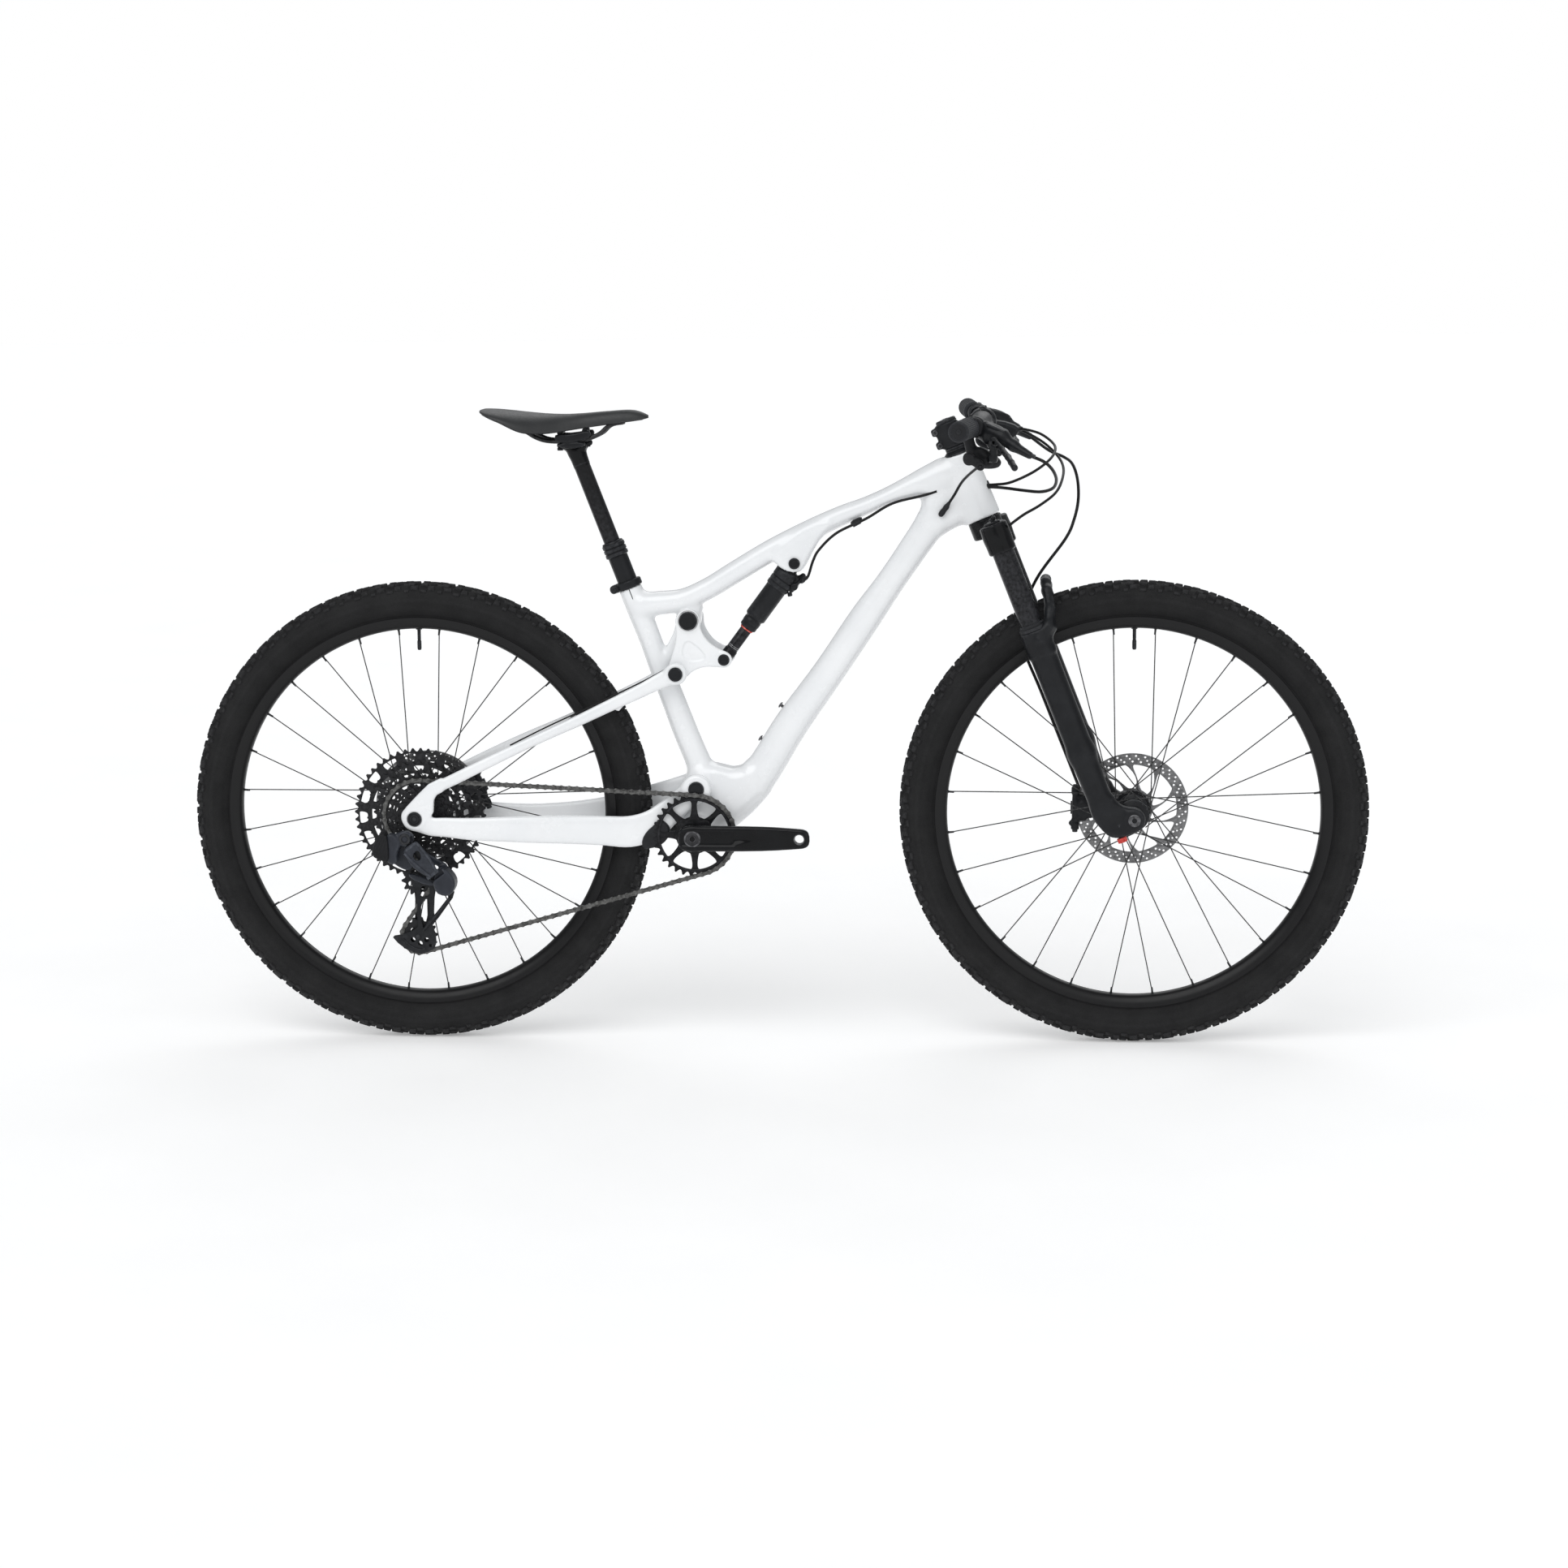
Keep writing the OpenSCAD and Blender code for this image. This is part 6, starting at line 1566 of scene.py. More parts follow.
def crank_arm(P):
    """The right arm about the crank axis: local x along the arm, y across the bike, z up."""
    side = rounded([(-23, 8), (-19, 17), (-8, 20.5), (24, 20.6), (75, 20.4), (122, 19.4), (165, 16.6),
                    (181, 15), (187, 8), (187.5, -8), (181, -15), (165, -16.6), (122, -19.4), (75, -20.4),
                    (24, -20.6), (-8, -20.5), (-19, -17), (-23, -8)], 1)
    arm = slab(P, side, -91, -78, 5)
    boss = disc(P, (0, 0, 0), CROSS, 19.5, -88, -58, 2.5)
    root = merge(5, rod(P, (4, -80, 0), (40, -82, 0), 13, 10))
    solid = merge(5, arm, merge(5, boss, root))
    # A long scoop in the outer face, shallow towards the tip
    scoop = merge(6, block(P, (24, -94.5, 0), (46, 5.6, 13), 6),
                  rod(P, (70, -95.5, 0), (98, -97.5, 0), 8, 5))
    solid = cut(solid, scoop, 2.5)
    solid = cut(solid, disc(P, (171, 0, 0), CROSS, 7.2, -120, -60, 0.1), 0.9)
    return cut(solid, disc(P, (0, 0, 0), CROSS, 12, -76, -40, 0.1), 0.3)


def cranks():
    arm_p, arm_f = grown((-30, -96, -26), (192, -54, 26), 1.3, crank_arm)
    centre = np.array([BB[0], 0, BB[1]])
    right = (arm_p + centre, arm_f)
    left = (arm_p * (-1, -1, 1) + centre, arm_f)
    spindle = lathe([(12, -58), (14.5, -58), (14.5, 60), (12, 60)], point_of(BB), sides=48, loop=True)
    make("crank_arm_pair", join(right, left, spindle), "gloss_black", "crank", ["crank_arms"], 60)
    cap = [(9.9, 87), (13.4, 87), (13.6, 90.2), (12.8, 91), (10.6, 91), (10.2, 90), (5.4, 89.2),
           (5.0, 90.6), (4.4, 90.6), (4.2, 88.6), (0.05, 88.2)]
    caps = []
    for s in (-1, 1):
        caps.append(lathe([(r, s * y) for r, y in cap], point_of(BB), sides=56))
        for k in range(8):
            at = on_wheel(BB, 11.8, s * 91, k * 45 + 22)
            caps.append(lathe([(0.9, -0.3), (0.9, 0.25), (0.5, 0.4)], at, (0, s, 0), 12))
        eye = (BB[0] + (171 if s < 0 else -171), s * 91, BB[1])
        caps.append(lathe([(7.2, -3), (8.5, -0.6), (8.9, 0.2), (7.4, -0.2), (7.15, -3)], eye, (0, s, 0), 40,
                          True))
    make("crank_bolts_and_inserts", join(*caps), "steel", "crank", (), 35)


def chainring():
    loops = [toothed(BB, RING_TEETH, 3.0, -3.8, start=5.6), circle(BB, 14.65, 64)]
    loops += [fan(BB, 30.5, 56.2, 22.5 + 45 * k, 11.5, 19.0) for k in range(8)]
    ring = plate(loops, RING_Y - 1.7, RING_Y + 1.7, 0.5)
    spider = plate([wavy(BB, 8, 27, 33), circle(BB, 14.65, 64)], RING_Y - 5.6, RING_Y - 1.2, 1.2)
    lip = lathe([(56.0, -0.4), (57.4, -1.1), (59.0, -1.1), (59.4, -0.4)], point_of(BB, RING_Y - 1.5),
                sides=96, loop=True)
    make("chainring_machined", join(ring, spider, lip), "gloss_black", "crank", ["chainring"], 40)


def bottom_bracket_cups():
    cups = []
    for s in (-1, 1):
        cups.append(ribbed([(14.7, s * 46.2, 0), (20.6, s * 46.2, 0), (21.8, s * 47, 0.9),
                            (21.8, s * 53, 0.9), (20.4, s * 54.2, 0), (14.7, s * 54.2, 0)],
                           point_of(BB), CROSS, 96, 16))
    make("bottom_bracket_cups", join(*cups), "black_alloy", "frame", (), 40)


def wavy(centre, count, r0, r1):
    """A wavy disc: longer where the spider's arms run."""
    return [polar(centre, r0 + (r1 - r0) * (0.5 + 0.5 * math.cos(math.radians(a * count))), a)
            for a in np.arange(0, 360, 2.5)]


def cassette():
    parts = []
    windows = {18: 12, 21: 12, 24: 13, 28: 14, 32: 15, 36: 16, 42: 16, 52: 17}
    for i, teeth in enumerate(COGS):
        y = cog_y(i)
        high = pitch_radius(teeth) - 5.6
        inside = 13.0 if teeth < 18 else pitch_radius(COGS[i - 1]) - 5.8
        loops = [toothed(REAR, teeth, 2.4, -3.2, start=3.0 * i), circle(REAR, inside, 72)]
        # Openings reach under the next smaller cog, so that its teeth show against them
        if teeth in windows:
            low = inside + (4.4 if teeth < 52 else 7.4)
            count = windows[teeth]
            for k in range(count):
                half = 180 / count * (0.70 if k % 2 else 0.56)
                lift = 0.8 if teeth > 36 and k % 2 else 0.0
                loops.append(fan(REAR, low, high - lift, 360 / count * k + 9.0 * i, half * 0.8, half))
        parts.append(plate(loops, y - 0.75, y + 0.75, 0.22, steps=0))
    carrier = lathe([(6.15, -72.6), (11.4, -72.6), (13.2, -72), (13.6, -70), (13.6, -28), (6.15, -28)],
                    point_of(REAR), sides=48, loop=True)
    lock = ribbed([(7, -73.6, 0), (12.4, -73.6, 0.8), (13.0, -72.6, 0.8), (13.0, -70, 0), (7, -70, 0)],
                  point_of(REAR), CROSS, 96, 12)
    # Pins that tie each cog to the next larger one
    pins = []
    for i in range(3, 11):
        y = cog_y(i)
        for k in range(16):
            at = on_wheel(REAR, pitch_radius(COGS[i]) - 4.4, y, 22.5 * k + 7 * i)
            pins.append(lathe([(1.0, -0.6), (1.0, COG_STEP + 0.4)], at, CROSS, 8))
    make("cassette_cogs", join(*parts, carrier, lock, *pins), "cog_steel", "cassette", ["cassette"], 40)


# ---------- chain ----------

# The wheels the chain runs round: place, radius, 1 or -1 for the way it bends, place across
SHEAVES = [(REAR, pitch_radius(COGS[CHAIN_COG]), 1, COG_Y), (BB, pitch_radius(RING_TEETH), 1, RING_Y),
           (TENSION, pitch_radius(TENSION_TEETH), 1, COG_Y),
           (GUIDE, pitch_radius(GUIDE_TEETH), -1, COG_Y)]


def chain_line():
    """The pins' closed path, clockwise seen from the right, each point with its wheel or run."""
    normals = []
    for i in range(4):
        (a, ra, ta, _), (b, rb, tb, _) = SHEAVES[i], SHEAVES[(i + 1) % 4]
        d = np.array(b, float) - np.array(a, float)
        normals.append(math.atan2(d[1], d[0]) + math.acos((ra * ta - rb * tb) / np.linalg.norm(d)))
    rows = []
    for i in range(4):
        c, r, t, y = SHEAVES[i]
        flip = math.pi if t < 0 else 0.0
        start, stop = normals[i - 1] + flip, normals[i] + flip
        span = (start - stop) % (2 * math.pi) if t > 0 else (stop - start) % (2 * math.pi)
        for k in range(33):
            a = start - t * span * k / 32
            rows.append((c[0] + r * math.cos(a), y, c[1] + r * math.sin(a), 2 * i))
        rows[-1] = rows[-1][:3] + (2 * i + 1,)
    return rows


def link(p, q, wide, inner):
    """Two figure-of-eight side plates between two pins, with rollers or rivets at both."""
    along = q - p
    length = float(np.linalg.norm(along))
    along = along / length
    up = unit(np.cross(along, CROSS))
    r, waist = 4.15, 2.9
    outline = arc((length, 0), r, -128, 128, 9) + [(length / 2, waist)]
    outline += arc((0, 0), r, 52, 308, 9) + [(length / 2, -waist)]
    plates = []
    for s in (-1, 1):
        rings = []
        for depth, inset in ((wide - 0.55, 0.0), (wide + 0.3, 0.0), (wide + 0.55, 0.35)):
            shrink = 1 - inset / r
            narrow = 1 - inset / (length / 2 + 4)
            rings.append(np.array([p + along * (length / 2 + (x - length / 2) * narrow) + up * z * shrink
                                   + np.array([0, s * depth, 0]) for x, z in outline]))
        plates.append(lofted(rings))
    pin_r, half, sides = (3.85, 1.55, 14) if inner else (1.75, 3.35, 12)
    return join(*plates, *[lathe([(pin_r, -half), (pin_r, half)], c, CROSS, sides) for c in (p, q)])


def chain():
    rows = chain_line()
    p = np.array([r[:3] for r in rows])
    tags = np.array([r[3] for r in rows])
    closed = np.vstack([p, p[:1]])
    gaps = np.linalg.norm(np.diff(closed, axis=0), axis=1)
    total = gaps.sum()
    count = int(round(total / PITCH / 2)) * 2
    reach = np.concatenate([[0], np.cumsum(gaps)])
    pins, homes = [], []
    for i in range(count):
        s = total * i / count
        k = min(int(np.searchsorted(reach, s, side="right")) - 1, len(gaps) - 1)
        t = (s - reach[k]) / gaps[k]
        pins.append(closed[k] + t * (closed[k + 1] - closed[k]))
        homes.append(int(tags[k]))
    runs = {}
    for i in range(count):
        a, b = pins[i], pins[(i + 1) % count]
        part = link(a, b, 1.55 if i % 2 else 2.55, bool(i % 2))
        home = homes[i]
        middle = (a + b) / 2
        # Lower run from the chainring to the lower pulley crosses three joints
        if home == 3:
            share = (BB[0] - middle[0]) / (BB[0] - TENSION[0])
            key = "c2" if share < 0.55 else ("c1" if share < 0.8 else "c0")
        elif home == 7:
            share = (middle[2] - GUIDE[1]) / 60.0
            key = "a2" if share < 0.35 else "a1"
        else:
            key = {0: "cassette", 1: "top", 2: "ring", 4: "tension", 5: "b", 6: "guide"}[home]
        runs.setdefault(key, []).append(part)

    for key, name, body, stands_for in (
            ("cassette", "chain_on_cassette", "swingarm", ["chain"]),
            ("ring", "chain_on_ring", "frame", ()),
            ("tension", "chain_on_lower_pulley", "cage", ()), ("b", "chain_between_pulleys", "cage", ()),
            ("guide", "chain_on_guide", "cage", ())):
        if key in runs:
            make(name, join(*runs[key]), "chain_steel", body, stands_for, 40)
    for key, name, near, far, start, end in (
            ("top", "chain_upper_run", "swingarm", "frame", (-560, 430), (-150, 408)),
            ("c2", "chain_lower_run_front", "frame", "swingarm", (-140, 280), (-374, 231)),
            ("c1", "chain_lower_run_middle", "swingarm", "knuckle", (-376, 230), (-488, 203)),
            ("c0", "chain_lower_run_rear", "knuckle", "cage", (-490, 202), (-570, 160)),
            ("a1", "chain_to_guide_upper", "swingarm", "knuckle", (-610, 345), (-600, 300)),
            ("a2", "chain_to_guide_lower", "knuckle", "cage", (-604, 292), (-600, 272))):
        if key in runs:
            piece = make(name, join(*runs[key]), "chain_steel", None, (), 40)
            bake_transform(piece)


# ---------- derailleur ----------

LINK_DIR = unit(np.array([KNUCKLE[0] - HANGER[0], 0, KNUCKLE[1] - HANGER[1]]))
LINK_SIDE = np.array([LINK_DIR[2], 0, -LINK_DIR[0]])
LINK_START = np.array(point_of(HANGER)) + LINK_DIR * 16
LINK_LENGTH = 56


def mount_shape(P):
    """The derailleur's body: crown on the hanger, electronics case and motor."""
    crown = merge(4, barrel(P, HANGER, 12, -103, -86, 2),
                  slab(P, [(-609, 352.5), (-588, 358), (-576, 352.5), (-573.5, 345), (-580, 338),
                           (-604, 338)], -102, -90, 3, 1))
    case = slab(P, [(-616, 355), (-604, 353), (-594, 338), (-602, 322), (-600, 306), (-614, 304),
                    (-622, 318), (-620, 340)], -107, -90, 4, 1)
    # The motor's housing lies behind both bars
    motor = slab(P, [(-618, 333), (-608, 345), (-596, 345), (-588, 330), (-578, 318), (-579, 298),
                     (-587, 290.5), (-598, 293), (-616, 305)], -84.5, -77, 2.5, 1)
    bridge = slab(P, [(-624, 345), (-609, 348), (-607, 312), (-622, 312)], -106, -78, 3)
    hanger = slab(P, [(-599, 352), (-578, 351), (-577, 338), (-588, 333), (-600, 338)], -84, -76, 1.5, 1)
    solid = merge(3, merge(4, crown, case), bridge)
    solid = cut(solid, link_gap(P), 0.5)
    return merge(0.8, solid, motor, hanger, rod(P, point_of(HANGER, -90), point_of(HANGER, -78), 5))


def link_gap(P):
    """The room in front of the mount that the bars swing in."""
    return slab(P, [(-578.5, 352), (-566, 343), (-560, 300), (-606, 300), (-600, 318), (-590, 326)], -104,
                -84, 2)


def battery_shape(P):
    """The battery behind the body, with four grip grooves."""
    solid = slab(P, [(-632, 353.5), (-617, 356), (-613.5, 335), (-614, 308.5), (-627.5, 312), (-641, 319),
                     (-638, 335)], -113, -92, 3.5, 1)
    for k in range(4):
        a, b = (-637 + 4.6 * k, 332 - 2.0 * k), (-627 + 4.2 * k, 351 - 1.2 * k)
        solid = cut(solid, rod(P, (a[0], -114.2, a[1]), (b[0], -114.2, b[1]), 1.9), 0.6)
    return solid


def derailleur_mount():
    make("derailleur_battery", grown((-646, -118, 300), (-606, -86, 362), 0.9, battery_shape),
         "battery_plastic", "swingarm", (), 55)
    body = grown((-630, -112, 280), (-566, -72, 364), 1.1, mount_shape)
    make("derailleur_body", body, "grey_plastic", "swingarm", ["mech_mount"], 55)
    bolt = lathe([(9.2, 0), (9.2, 1.4), (8.6, 2.0), (5.2, 2.0), (4.6, 1.4), (4.2, 0.2), (0.05, 0.1)],
                 point_of(HANGER, -103), (0, -1, 0), 40)
    make("derailleur_mount_bolt", bolt, "black_alloy", "swingarm", (), 40)


def on_link(along, aside, y):
    """A point from its distances along and square to the bars."""
    return LINK_START + LINK_DIR * along + LINK_SIDE * aside + (0, y, 0)


def link_outline(pairs):
    """Places of the side view from their distances along and square to the bars."""
    return [tuple(on_link(a, b, 0)[[0, 2]]) for a, b in pairs]


def derailleur_bars():
    """The outer bar with its window, and the plain inner bar."""
    outer = plate([rounded(link_outline([(-4, -12), (-4, 14), (8, 17), (26, 19), (40, 15), (59, 7),
                                         (59, -9), (40, -13), (8, -14)]), 1),
                   rounded(link_outline([(10, -5), (12, 7), (22, 8), (26, 2), (20, -5)]), 1)[::-1]], -101.5,
                   -96.5, 1.6, steps=3)
    rib = tube([on_link(*at, -101.6) for at in ((2, 15), (24, 12), (44, 8), (57, 4))], [2.2, 2.4, 2.4, 1.8],
               12, 3)
    edge = tube([on_link(*at, -101.6) for at in ((0, -11), (20, -12), (40, -11), (57, -7))],
                [1.8, 2.2, 2.2, 1.6], 12, 3)
    rods = [tube([on_link(a, -11, -99), on_link(a, 11, -99)], 3.2, 20, 1) for a in (0, LINK_LENGTH)]
    make("derailleur_outer_bar", join(outer, rib, edge, *rods), "grey_plastic", "outer_link",
         ["mech_outer_link"], 45)
    inner = plate([rounded(link_outline([(-3, -7), (-3, 7), (59, 7), (59, -7)]), 1)], -90, -86, 1.2)
    rods = [tube([on_link(a, -7, -88), on_link(a, 7, -88)], 2.7, 20, 1) for a in (0, LINK_LENGTH)]
    make("derailleur_inner_bar", join(inner, *rods), "black_alloy", "inner_link", ["mech_inner_link"], 45)


def knuckle_shape(P):
    """The lower body that carries the cage, with its tray and thin arm."""
    case = slab(P, [(-542, 294), (-532, 297.5), (-522, 293), (-511.5, 280), (-510, 267), (-517, 253.5),
                    (-528, 250.5), (-542, 256), (-546.5, 273)], -97, -64, 4.5, 1)
    post = barrel(P, KNUCKLE, 14, -90, -55, 2)
    arm = slab(P, [(-575, 324), (-566, 321), (-535, 303), (-527, 298), (-529, 290), (-548, 298),
                   (-574, 314)], -71, -64.5, 2, 1)
    solid = merge(4, case, post, arm)
    tray = slab(P, [(-590, 286), (-548, 272), (-546, 264), (-560, 264), (-588, 276)], -75, -65, 3, 1)
    solid = merge(4, solid, tray)
    # Room for the bars, which slope inboard of their pins when the knuckle stands out
    for low, high, depth in ((40, 66, -84), (20, 54, -73)):
        solid = cut(solid, slab(P, link_outline([(low, -17), (low, 20), (high, 15), (high, -15)]), -108,
                                depth, 2), 1)
    return solid


def derailleur_knuckle():
    make("derailleur_knuckle", grown((-600, -100, 246), (-504, -52, 332), 1.2, knuckle_shape),
         "grey_plastic", "knuckle",
         ["mech_knuckle"], 55)


def derailleur_cage():
    """Outer plate with a diagonal arm, inner plate, and the pulleys' screws."""
    outer_plate = [(-590, 262), (-590, 279), (-580, 285), (-568, 284), (-545, 278), (-524, 263),
                   (-519, 250), (-522, 240), (-545, 208.5), (-556, 195), (-552.5, 184), (-551, 176),
                   (-550.5, 166), (-554, 157), (-563, 151), (-576.5, 147.3), (-588, 149.8), (-603, 156.5),
                   (-614, 165), (-622, 174.5), (-619, 177.5), (-604, 180), (-590, 185), (-580.8, 192),
                   (-580.8, 256)]
    windows = [[(-574.2, 190), (-574.2, 236), (-559.6, 239), (-559.6, 205), (-563, 192)],
               [(-574.2, 240), (-574.2, 257), (-569, 260), (-560, 260), (-559.6, 243)],
               [(-553.8, 206), (-551, 252), (-545, 256), (-531, 247), (-529, 240), (-550, 208)]]
    holes = [circle((-589.2, 170.6), 4.0, 20), circle((-577.6, 164.5), 4.2, 20),
             circle((-566.6, 170.4), 3.8, 20),
             circle((-560.4, 161.2), 2.6, 16)]
    face = plate([outer_plate, *[rounded(w, 1) for w in windows], *holes], -53.6, -51.4, 0.6, steps=2)
    inner_plate = [(-594, 262), (-590, 280), (-568, 284), (-562, 262), (-561, 196), (-556, 176),
                   (-562, 158), (-580, 150), (-596, 158), (-600, 176), (-588, 192), (-586, 250)]
    back = plate([rounded(inner_plate, 1), rounded([(-581, 194), (-567, 194), (-567, 252), (-581, 252)], 1),
                  circle((-587.5, 171), 4.6, 20), circle((-576.5, 164.5), 4.8, 20),
                  circle((-567, 170.4), 3.4, 20)], -38.8, -36.6, 0.7)
    axle = lathe([(6, -64), (6, -53.4)], point_of(KNUCKLE), sides=32)
    pins = []
    for c in (GUIDE, TENSION):
        pins.append(lathe([(2.5, -51.6), (2.5, -38.5)], (c[0], 0, c[1]), sides=20))
        pins.append(lathe([(3.6, -55.2), (4.0, -54.6), (4.0, -53.4), (2.6, -53.2)], (c[0], 0, c[1]),
                          sides=24))
    lip = tube([(-604, -54, 172), (-594, -54.4, 162), (-580, -54.6, 155.5), (-570, -54, 156)], 0.9, 10, 6)
    strut = tube([(-572, -54.4, 186), (-562, -54.8, 198), (-549, -54.8, 213), (-527, -54.4, 241)],
                 [1.6, 2.4, 2.4, 2.0], 12, 5)
    make("derailleur_cage", join(face, back, axle, *pins, lip, strut), "black_alloy", "cage", ["mech_cage"],
         45)


def pulleys():
    for name, c, teeth, body, node in (("guide_wheel_toothed", GUIDE, GUIDE_TEETH, "guide_wheel",
                                        "guide_pulley"),
                                       ("tension_wheel_toothed", TENSION, TENSION_TEETH, "tension_wheel",
                                        "tension_pulley")):
        r = pitch_radius(teeth)
        holes, ring = (5, 0.43) if teeth == TENSION_TEETH else (4, 0.56)
        loops = [toothed(c, teeth, 2.6, -3.4, start=4.0), circle(c, 6.0, 32)]
        loops += [circle(polar(c, r * ring, 360 / holes * k + 210), r * 0.17, 20) for k in range(holes)]
        wheel = plate(loops, COG_Y - 1.3, COG_Y + 1.3, 0.4)
        nave = lathe([(2.6, -5.3), (5.2, -5.3), (5.6, -4.7), (5.6, -1.2), (6.6, -0.9), (6.6, 0.9),
                      (5.6, 1.2), (5.6, 4.7), (5.2, 5.3), (2.6, 5.3)],
                     (c[0], COG_Y, c[1]), sides=40, loop=True)
        make(name, join(wheel, nave), "black_plastic", body, [node], 40)


# ---------- small parts ----------


def rear_axle():
    cap = [(6, 85.0), (11.2, 85.0), (11.6, 85.6), (11.6, 87.0), (10.8, 87.8), (9.4, 87.9), (8.8, 87.2),
           (7.6, 87.0), (6.8, 87.7), (5.6, 87.7), (5.0, 86.9), (3.2, 86.9), (3.0, 85.4), (0.05, 85.4)]
    caps = [lathe([(r, s * y) for r, y in cap], point_of(REAR), sides=56) for s in (-1, 1)]
    axle = lathe([(5.98, -86), (5.98, 86)], point_of(REAR), sides=40)
    make("rear_axle_bolt", join(*caps, axle), "black_alloy", "swingarm", ["rear_axle"], 35)


def bottle_screws():
    """Screws of the bottle cage, seated in the down tube's upper face."""
    tilt = unit((math.cos(math.radians(143)), 0, math.sin(math.radians(143))))
    heads = []
    for x, z in ((15, 545), (-18, 491)):
        seat = np.array([x, 0, z]) + tilt * 5.6
        heads.append(lathe([(4.9, 0), (5.2, 0.4), (5.2, 1.0), (4.4, 2.2), (2.6, 2.8), (2.4, 2.6),
                            (2.0, 2.4), (1.8, 1.0), (0.05, 1.0)], seat, tilt, 36))
        heads.append(lathe([(2.48, -13), (2.48, 0.5)], seat, tilt, 20))
    make("bottle_screws", join(*heads), "steel", "frame", ["bottle_bolts"], 35)


def cable_ports():
    plugs = []
    for s in (-1, 1):
        plugs.append(grown((256, min(s * 18, s * 36), 842), (292, max(s * 18, s * 36), 884), 0.8,
                           lambda P: merge(
            2.5, rod(P, (269, s * 28, 857), (277, s * 29.5, 868), 4.4, 4.2),
            rod(P, (277, s * 29.5, 868), (281, s * 30.5, 874), 3.8, 3.0),
            rod(P, (271, s * 22, 860), (271, s * 27, 860), 4.2))))
    # Grommets round the two cables at the head tube's front, and a blank one on its left side
    ports = []
    for at, r in (((23, -8.5, 44), 2.4), ((24, -2.5, 48.5), 2.1), ((18, 17, 52), 0.1)):
        ports.append(lathe([(r, 0), (4.4, 0), (4.4, 3.4), (3.6, 4.2), (r, 4.4)], spot(STEER, *at),
                           unit(STEER[1] * at[0] + np.array([0, at[1], 0])), 28, True))
    clip = grown((122, -31, 832), (150, -18, 856), 0.7, lambda P: merge(
        2, slab(P, [(126, 838), (144, 846), (143, 854), (125, 846)], -24.6, -18.5, 1.6, 1),
        disc(P, (135, -26.4, 842.5), unit((0.88, 0, 0.46)), 3.4, -7, 7, 0.8)))
    make("cable_port_plugs", join(*plugs, *ports, clip), "black_plastic", "frame", ["cable_guides"], 45)


def chainstay_guard():
    def guard(P):
        return slab(P, [(-212, 321), (-213, 336), (-205, 350), (-193, 360), (-184, 372), (-170, 362),
                        (-166, 350), (-172, 336), (-184, 326), (-198, 322)], -52.5, -37, 5, 1)

    make("chainstay_guard", grown((-218, -56, 314), (-160, -34, 380), 1.1, guard), "black_plastic",
         "swingarm", (), 55)


seat_post()
rails_and_cradle()
saddle()
shock()
cranks()
chainring()
bottom_bracket_cups()
cassette()
chain()
derailleur_mount()
derailleur_bars()
derailleur_knuckle()
derailleur_cage()
pulleys()
rear_axle()
bottle_screws()
cable_ports()
chainstay_guard()


# ---------- stage, light and camera ----------


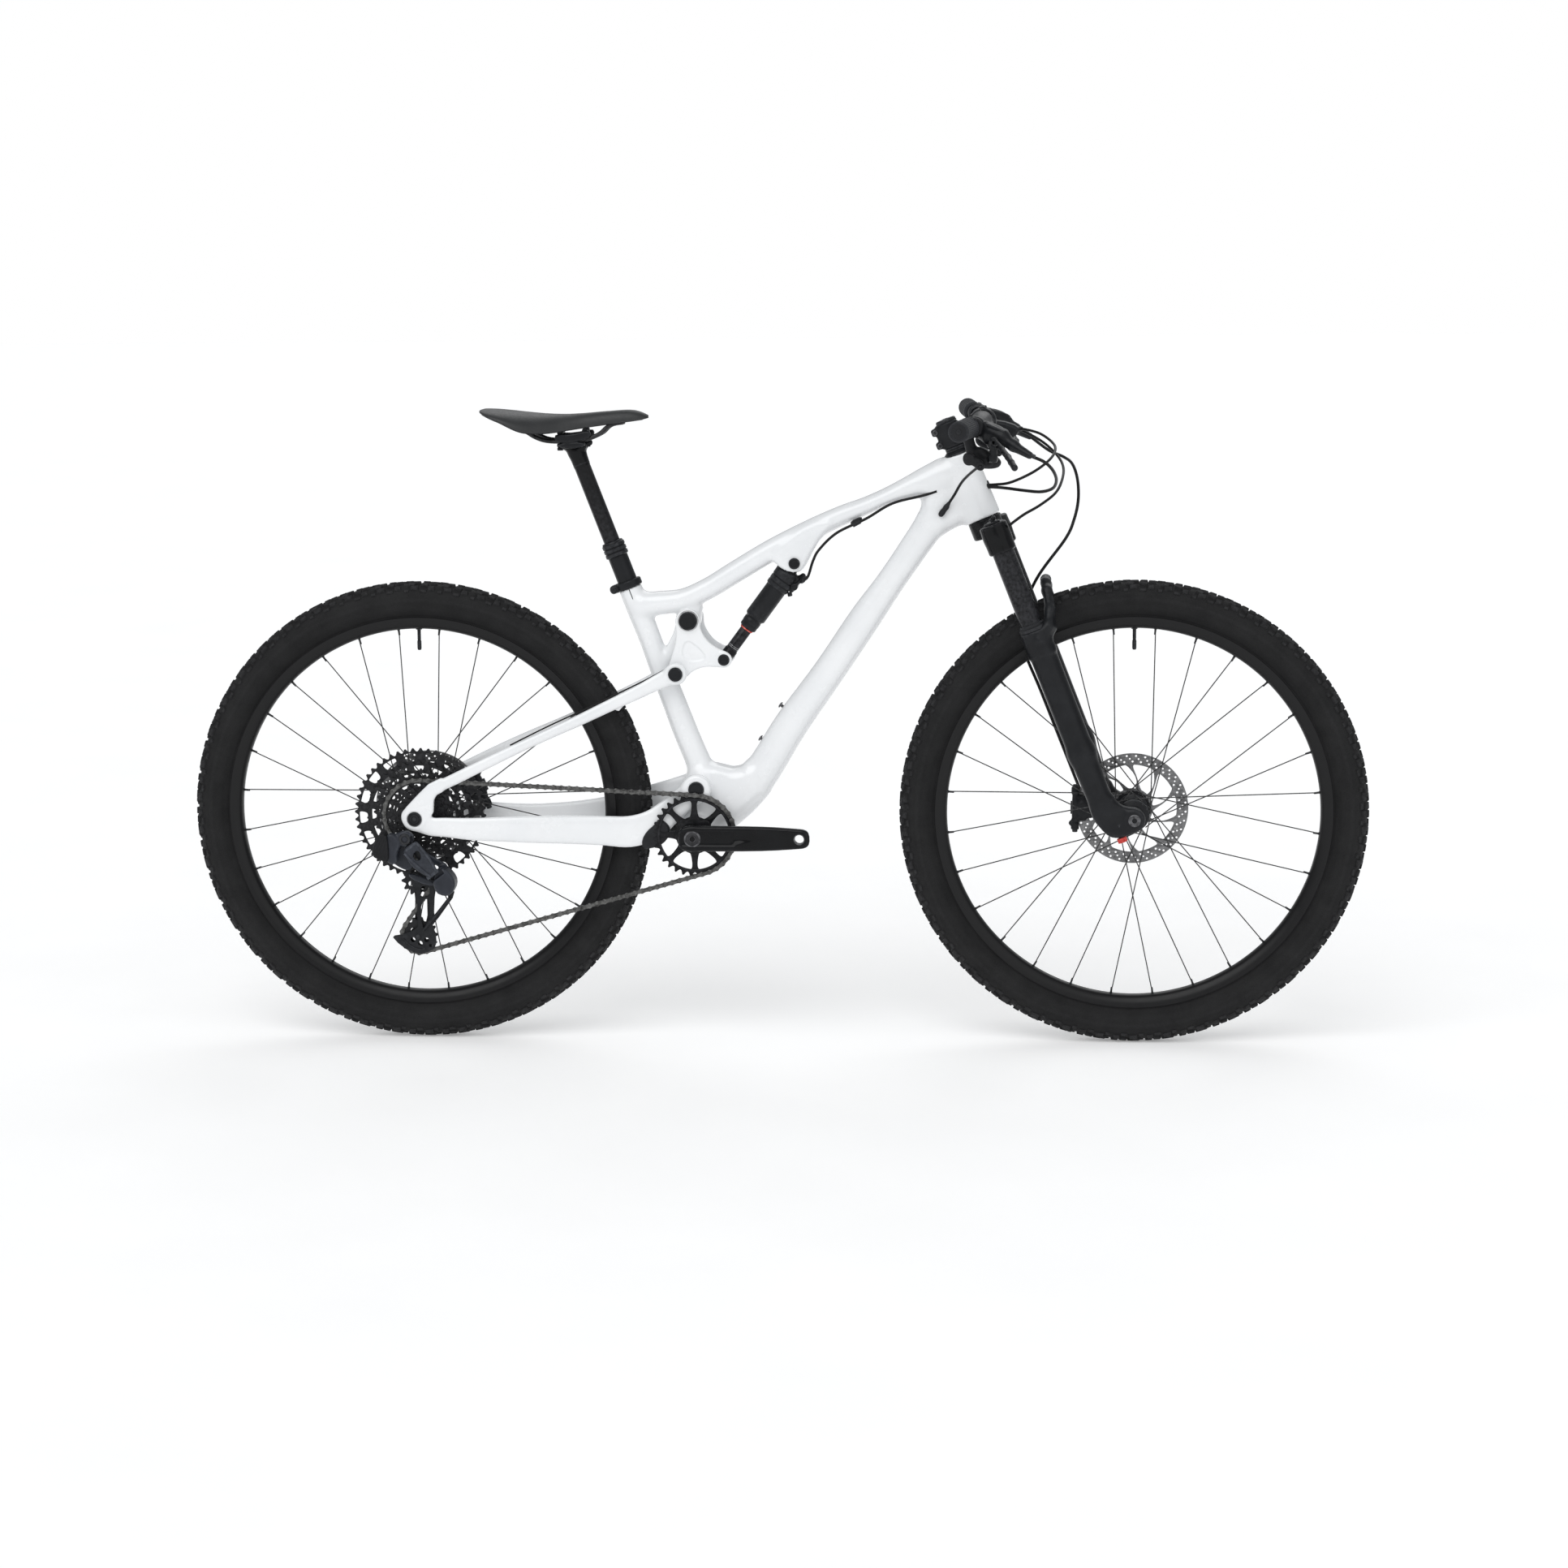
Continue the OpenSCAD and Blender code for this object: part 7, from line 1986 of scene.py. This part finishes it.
def stage():
    """A pale floor, soft studio light and the camera at the picture's angle."""
    floor = Nodes("floor_card")
    floor.feed(floor.shader.inputs["Base Color"],
               floor.mixed(floor.ranged(floor.noise(3.0), 0.0, 1.0), rgb(0.90, 0.90, 0.90),
                           rgb(0.93, 0.93, 0.93)))
    floor.feed(floor.shader.inputs["Roughness"], floor.ranged(floor.noise(40.0), 0.7, 0.85))
    floor.shader.inputs["Emission Color"].default_value = rgb(1.0, 1.0, 1.0)
    floor.shader.inputs["Emission Strength"].default_value = 0.22
    size = 40.0
    mesh = bpy.data.meshes.new("floor")
    mesh.from_pydata([(-size, -size, 0), (size, -size, 0), (size, size, 0), (-size, size, 0)], [],
                     [(0, 1, 2, 3)])
    mesh.materials.append(floor.material)
    ground = bpy.data.objects.new("floor", mesh)
    bpy.context.scene.collection.objects.link(ground)

    world = bpy.data.worlds.new("studio")
    bpy.context.scene.world = world
    world.use_nodes = True
    nodes, links = world.node_tree.nodes, world.node_tree.links
    seen = nodes.new("ShaderNodeBackground")
    seen.inputs["Strength"].default_value = 1.0
    seen.inputs["Color"].default_value = rgb(1.0, 1.0, 1.0)
    nodes["Background"].inputs["Color"].default_value = rgb(0.96, 0.98, 1.0)
    nodes["Background"].inputs["Strength"].default_value = 0.42
    choice = nodes.new("ShaderNodeMixShader")
    links.new(nodes.new("ShaderNodeLightPath").outputs["Is Camera Ray"], choice.inputs[0])
    links.new(nodes["Background"].outputs[0], choice.inputs[1])
    links.new(seen.outputs[0], choice.inputs[2])
    links.new(choice.outputs[0], nodes["World Output"].inputs["Surface"])

    # Three soft suns: over the camera's left shoulder, from the front right, and from behind
    for name, direction, spread, power in (
            ("key", (0.45, 1.0, -1.1), 50, 1.25), ("fill", (-0.7, 0.9, -0.5), 60, 0.5),
            ("back", (-0.2, -1.0, -0.9), 50, 0.55)):
        lamp = bpy.data.lights.new(name, "SUN")
        lamp.angle = math.radians(spread)
        lamp.energy = power
        obj = bpy.data.objects.new(name, lamp)
        obj.rotation_euler = Vector(direction).to_track_quat("-Z", "Y").to_euler()
        bpy.context.scene.collection.objects.link(obj)
    bpy.context.scene.view_settings.view_transform = "Standard"

    # The camera fitted to the picture: its turn in degrees, its place in metres
    yaw, pitch, roll = (math.radians(turn) for turn in (-4.308, 9.324, -0.554))
    place = (0.4078, -5.2289, 1.2808)
    ahead = np.array([math.sin(yaw) * math.cos(pitch), math.cos(yaw) * math.cos(pitch), -math.sin(pitch)])
    right = np.array([math.cos(yaw), -math.sin(yaw), 0])
    up = np.cross(right, ahead)
    right, up = (math.cos(roll) * right + math.sin(roll) * up,
                 -math.sin(roll) * right + math.cos(roll) * up)
    camera = bpy.data.cameras.new("camera")
    camera.lens, camera.sensor_width = 75.55, 36
    eye = bpy.data.objects.new("camera", camera)
    turned = np.stack([right, up, -ahead], axis=1)
    eye.matrix_world = Matrix([[*row, at] for row, at in zip(turned, place)] + [[0, 0, 0, 1]])
    bpy.context.scene.collection.objects.link(eye)
    bpy.context.scene.camera = eye


# ---------- CAD pieces that keep their shape ----------

NODE_LOOK = {"cassette": "cog_steel"}


def dress_cad_nodes():
    """Every CAD piece still shown gets the finish of its material slot."""
    slot_of = {row["node"]: row["material_slot"] for row in frame["record"]["subparts"]}
    for name, obj in frame["nodes"].items():
        if obj.hide_render:
            continue
        look = NODE_LOOK.get(name) or slot_of.get(name, "black_alloy")
        obj.data.materials.clear()
        obj.data.materials.append(LOOK[look])


stage()
dress_cad_nodes()
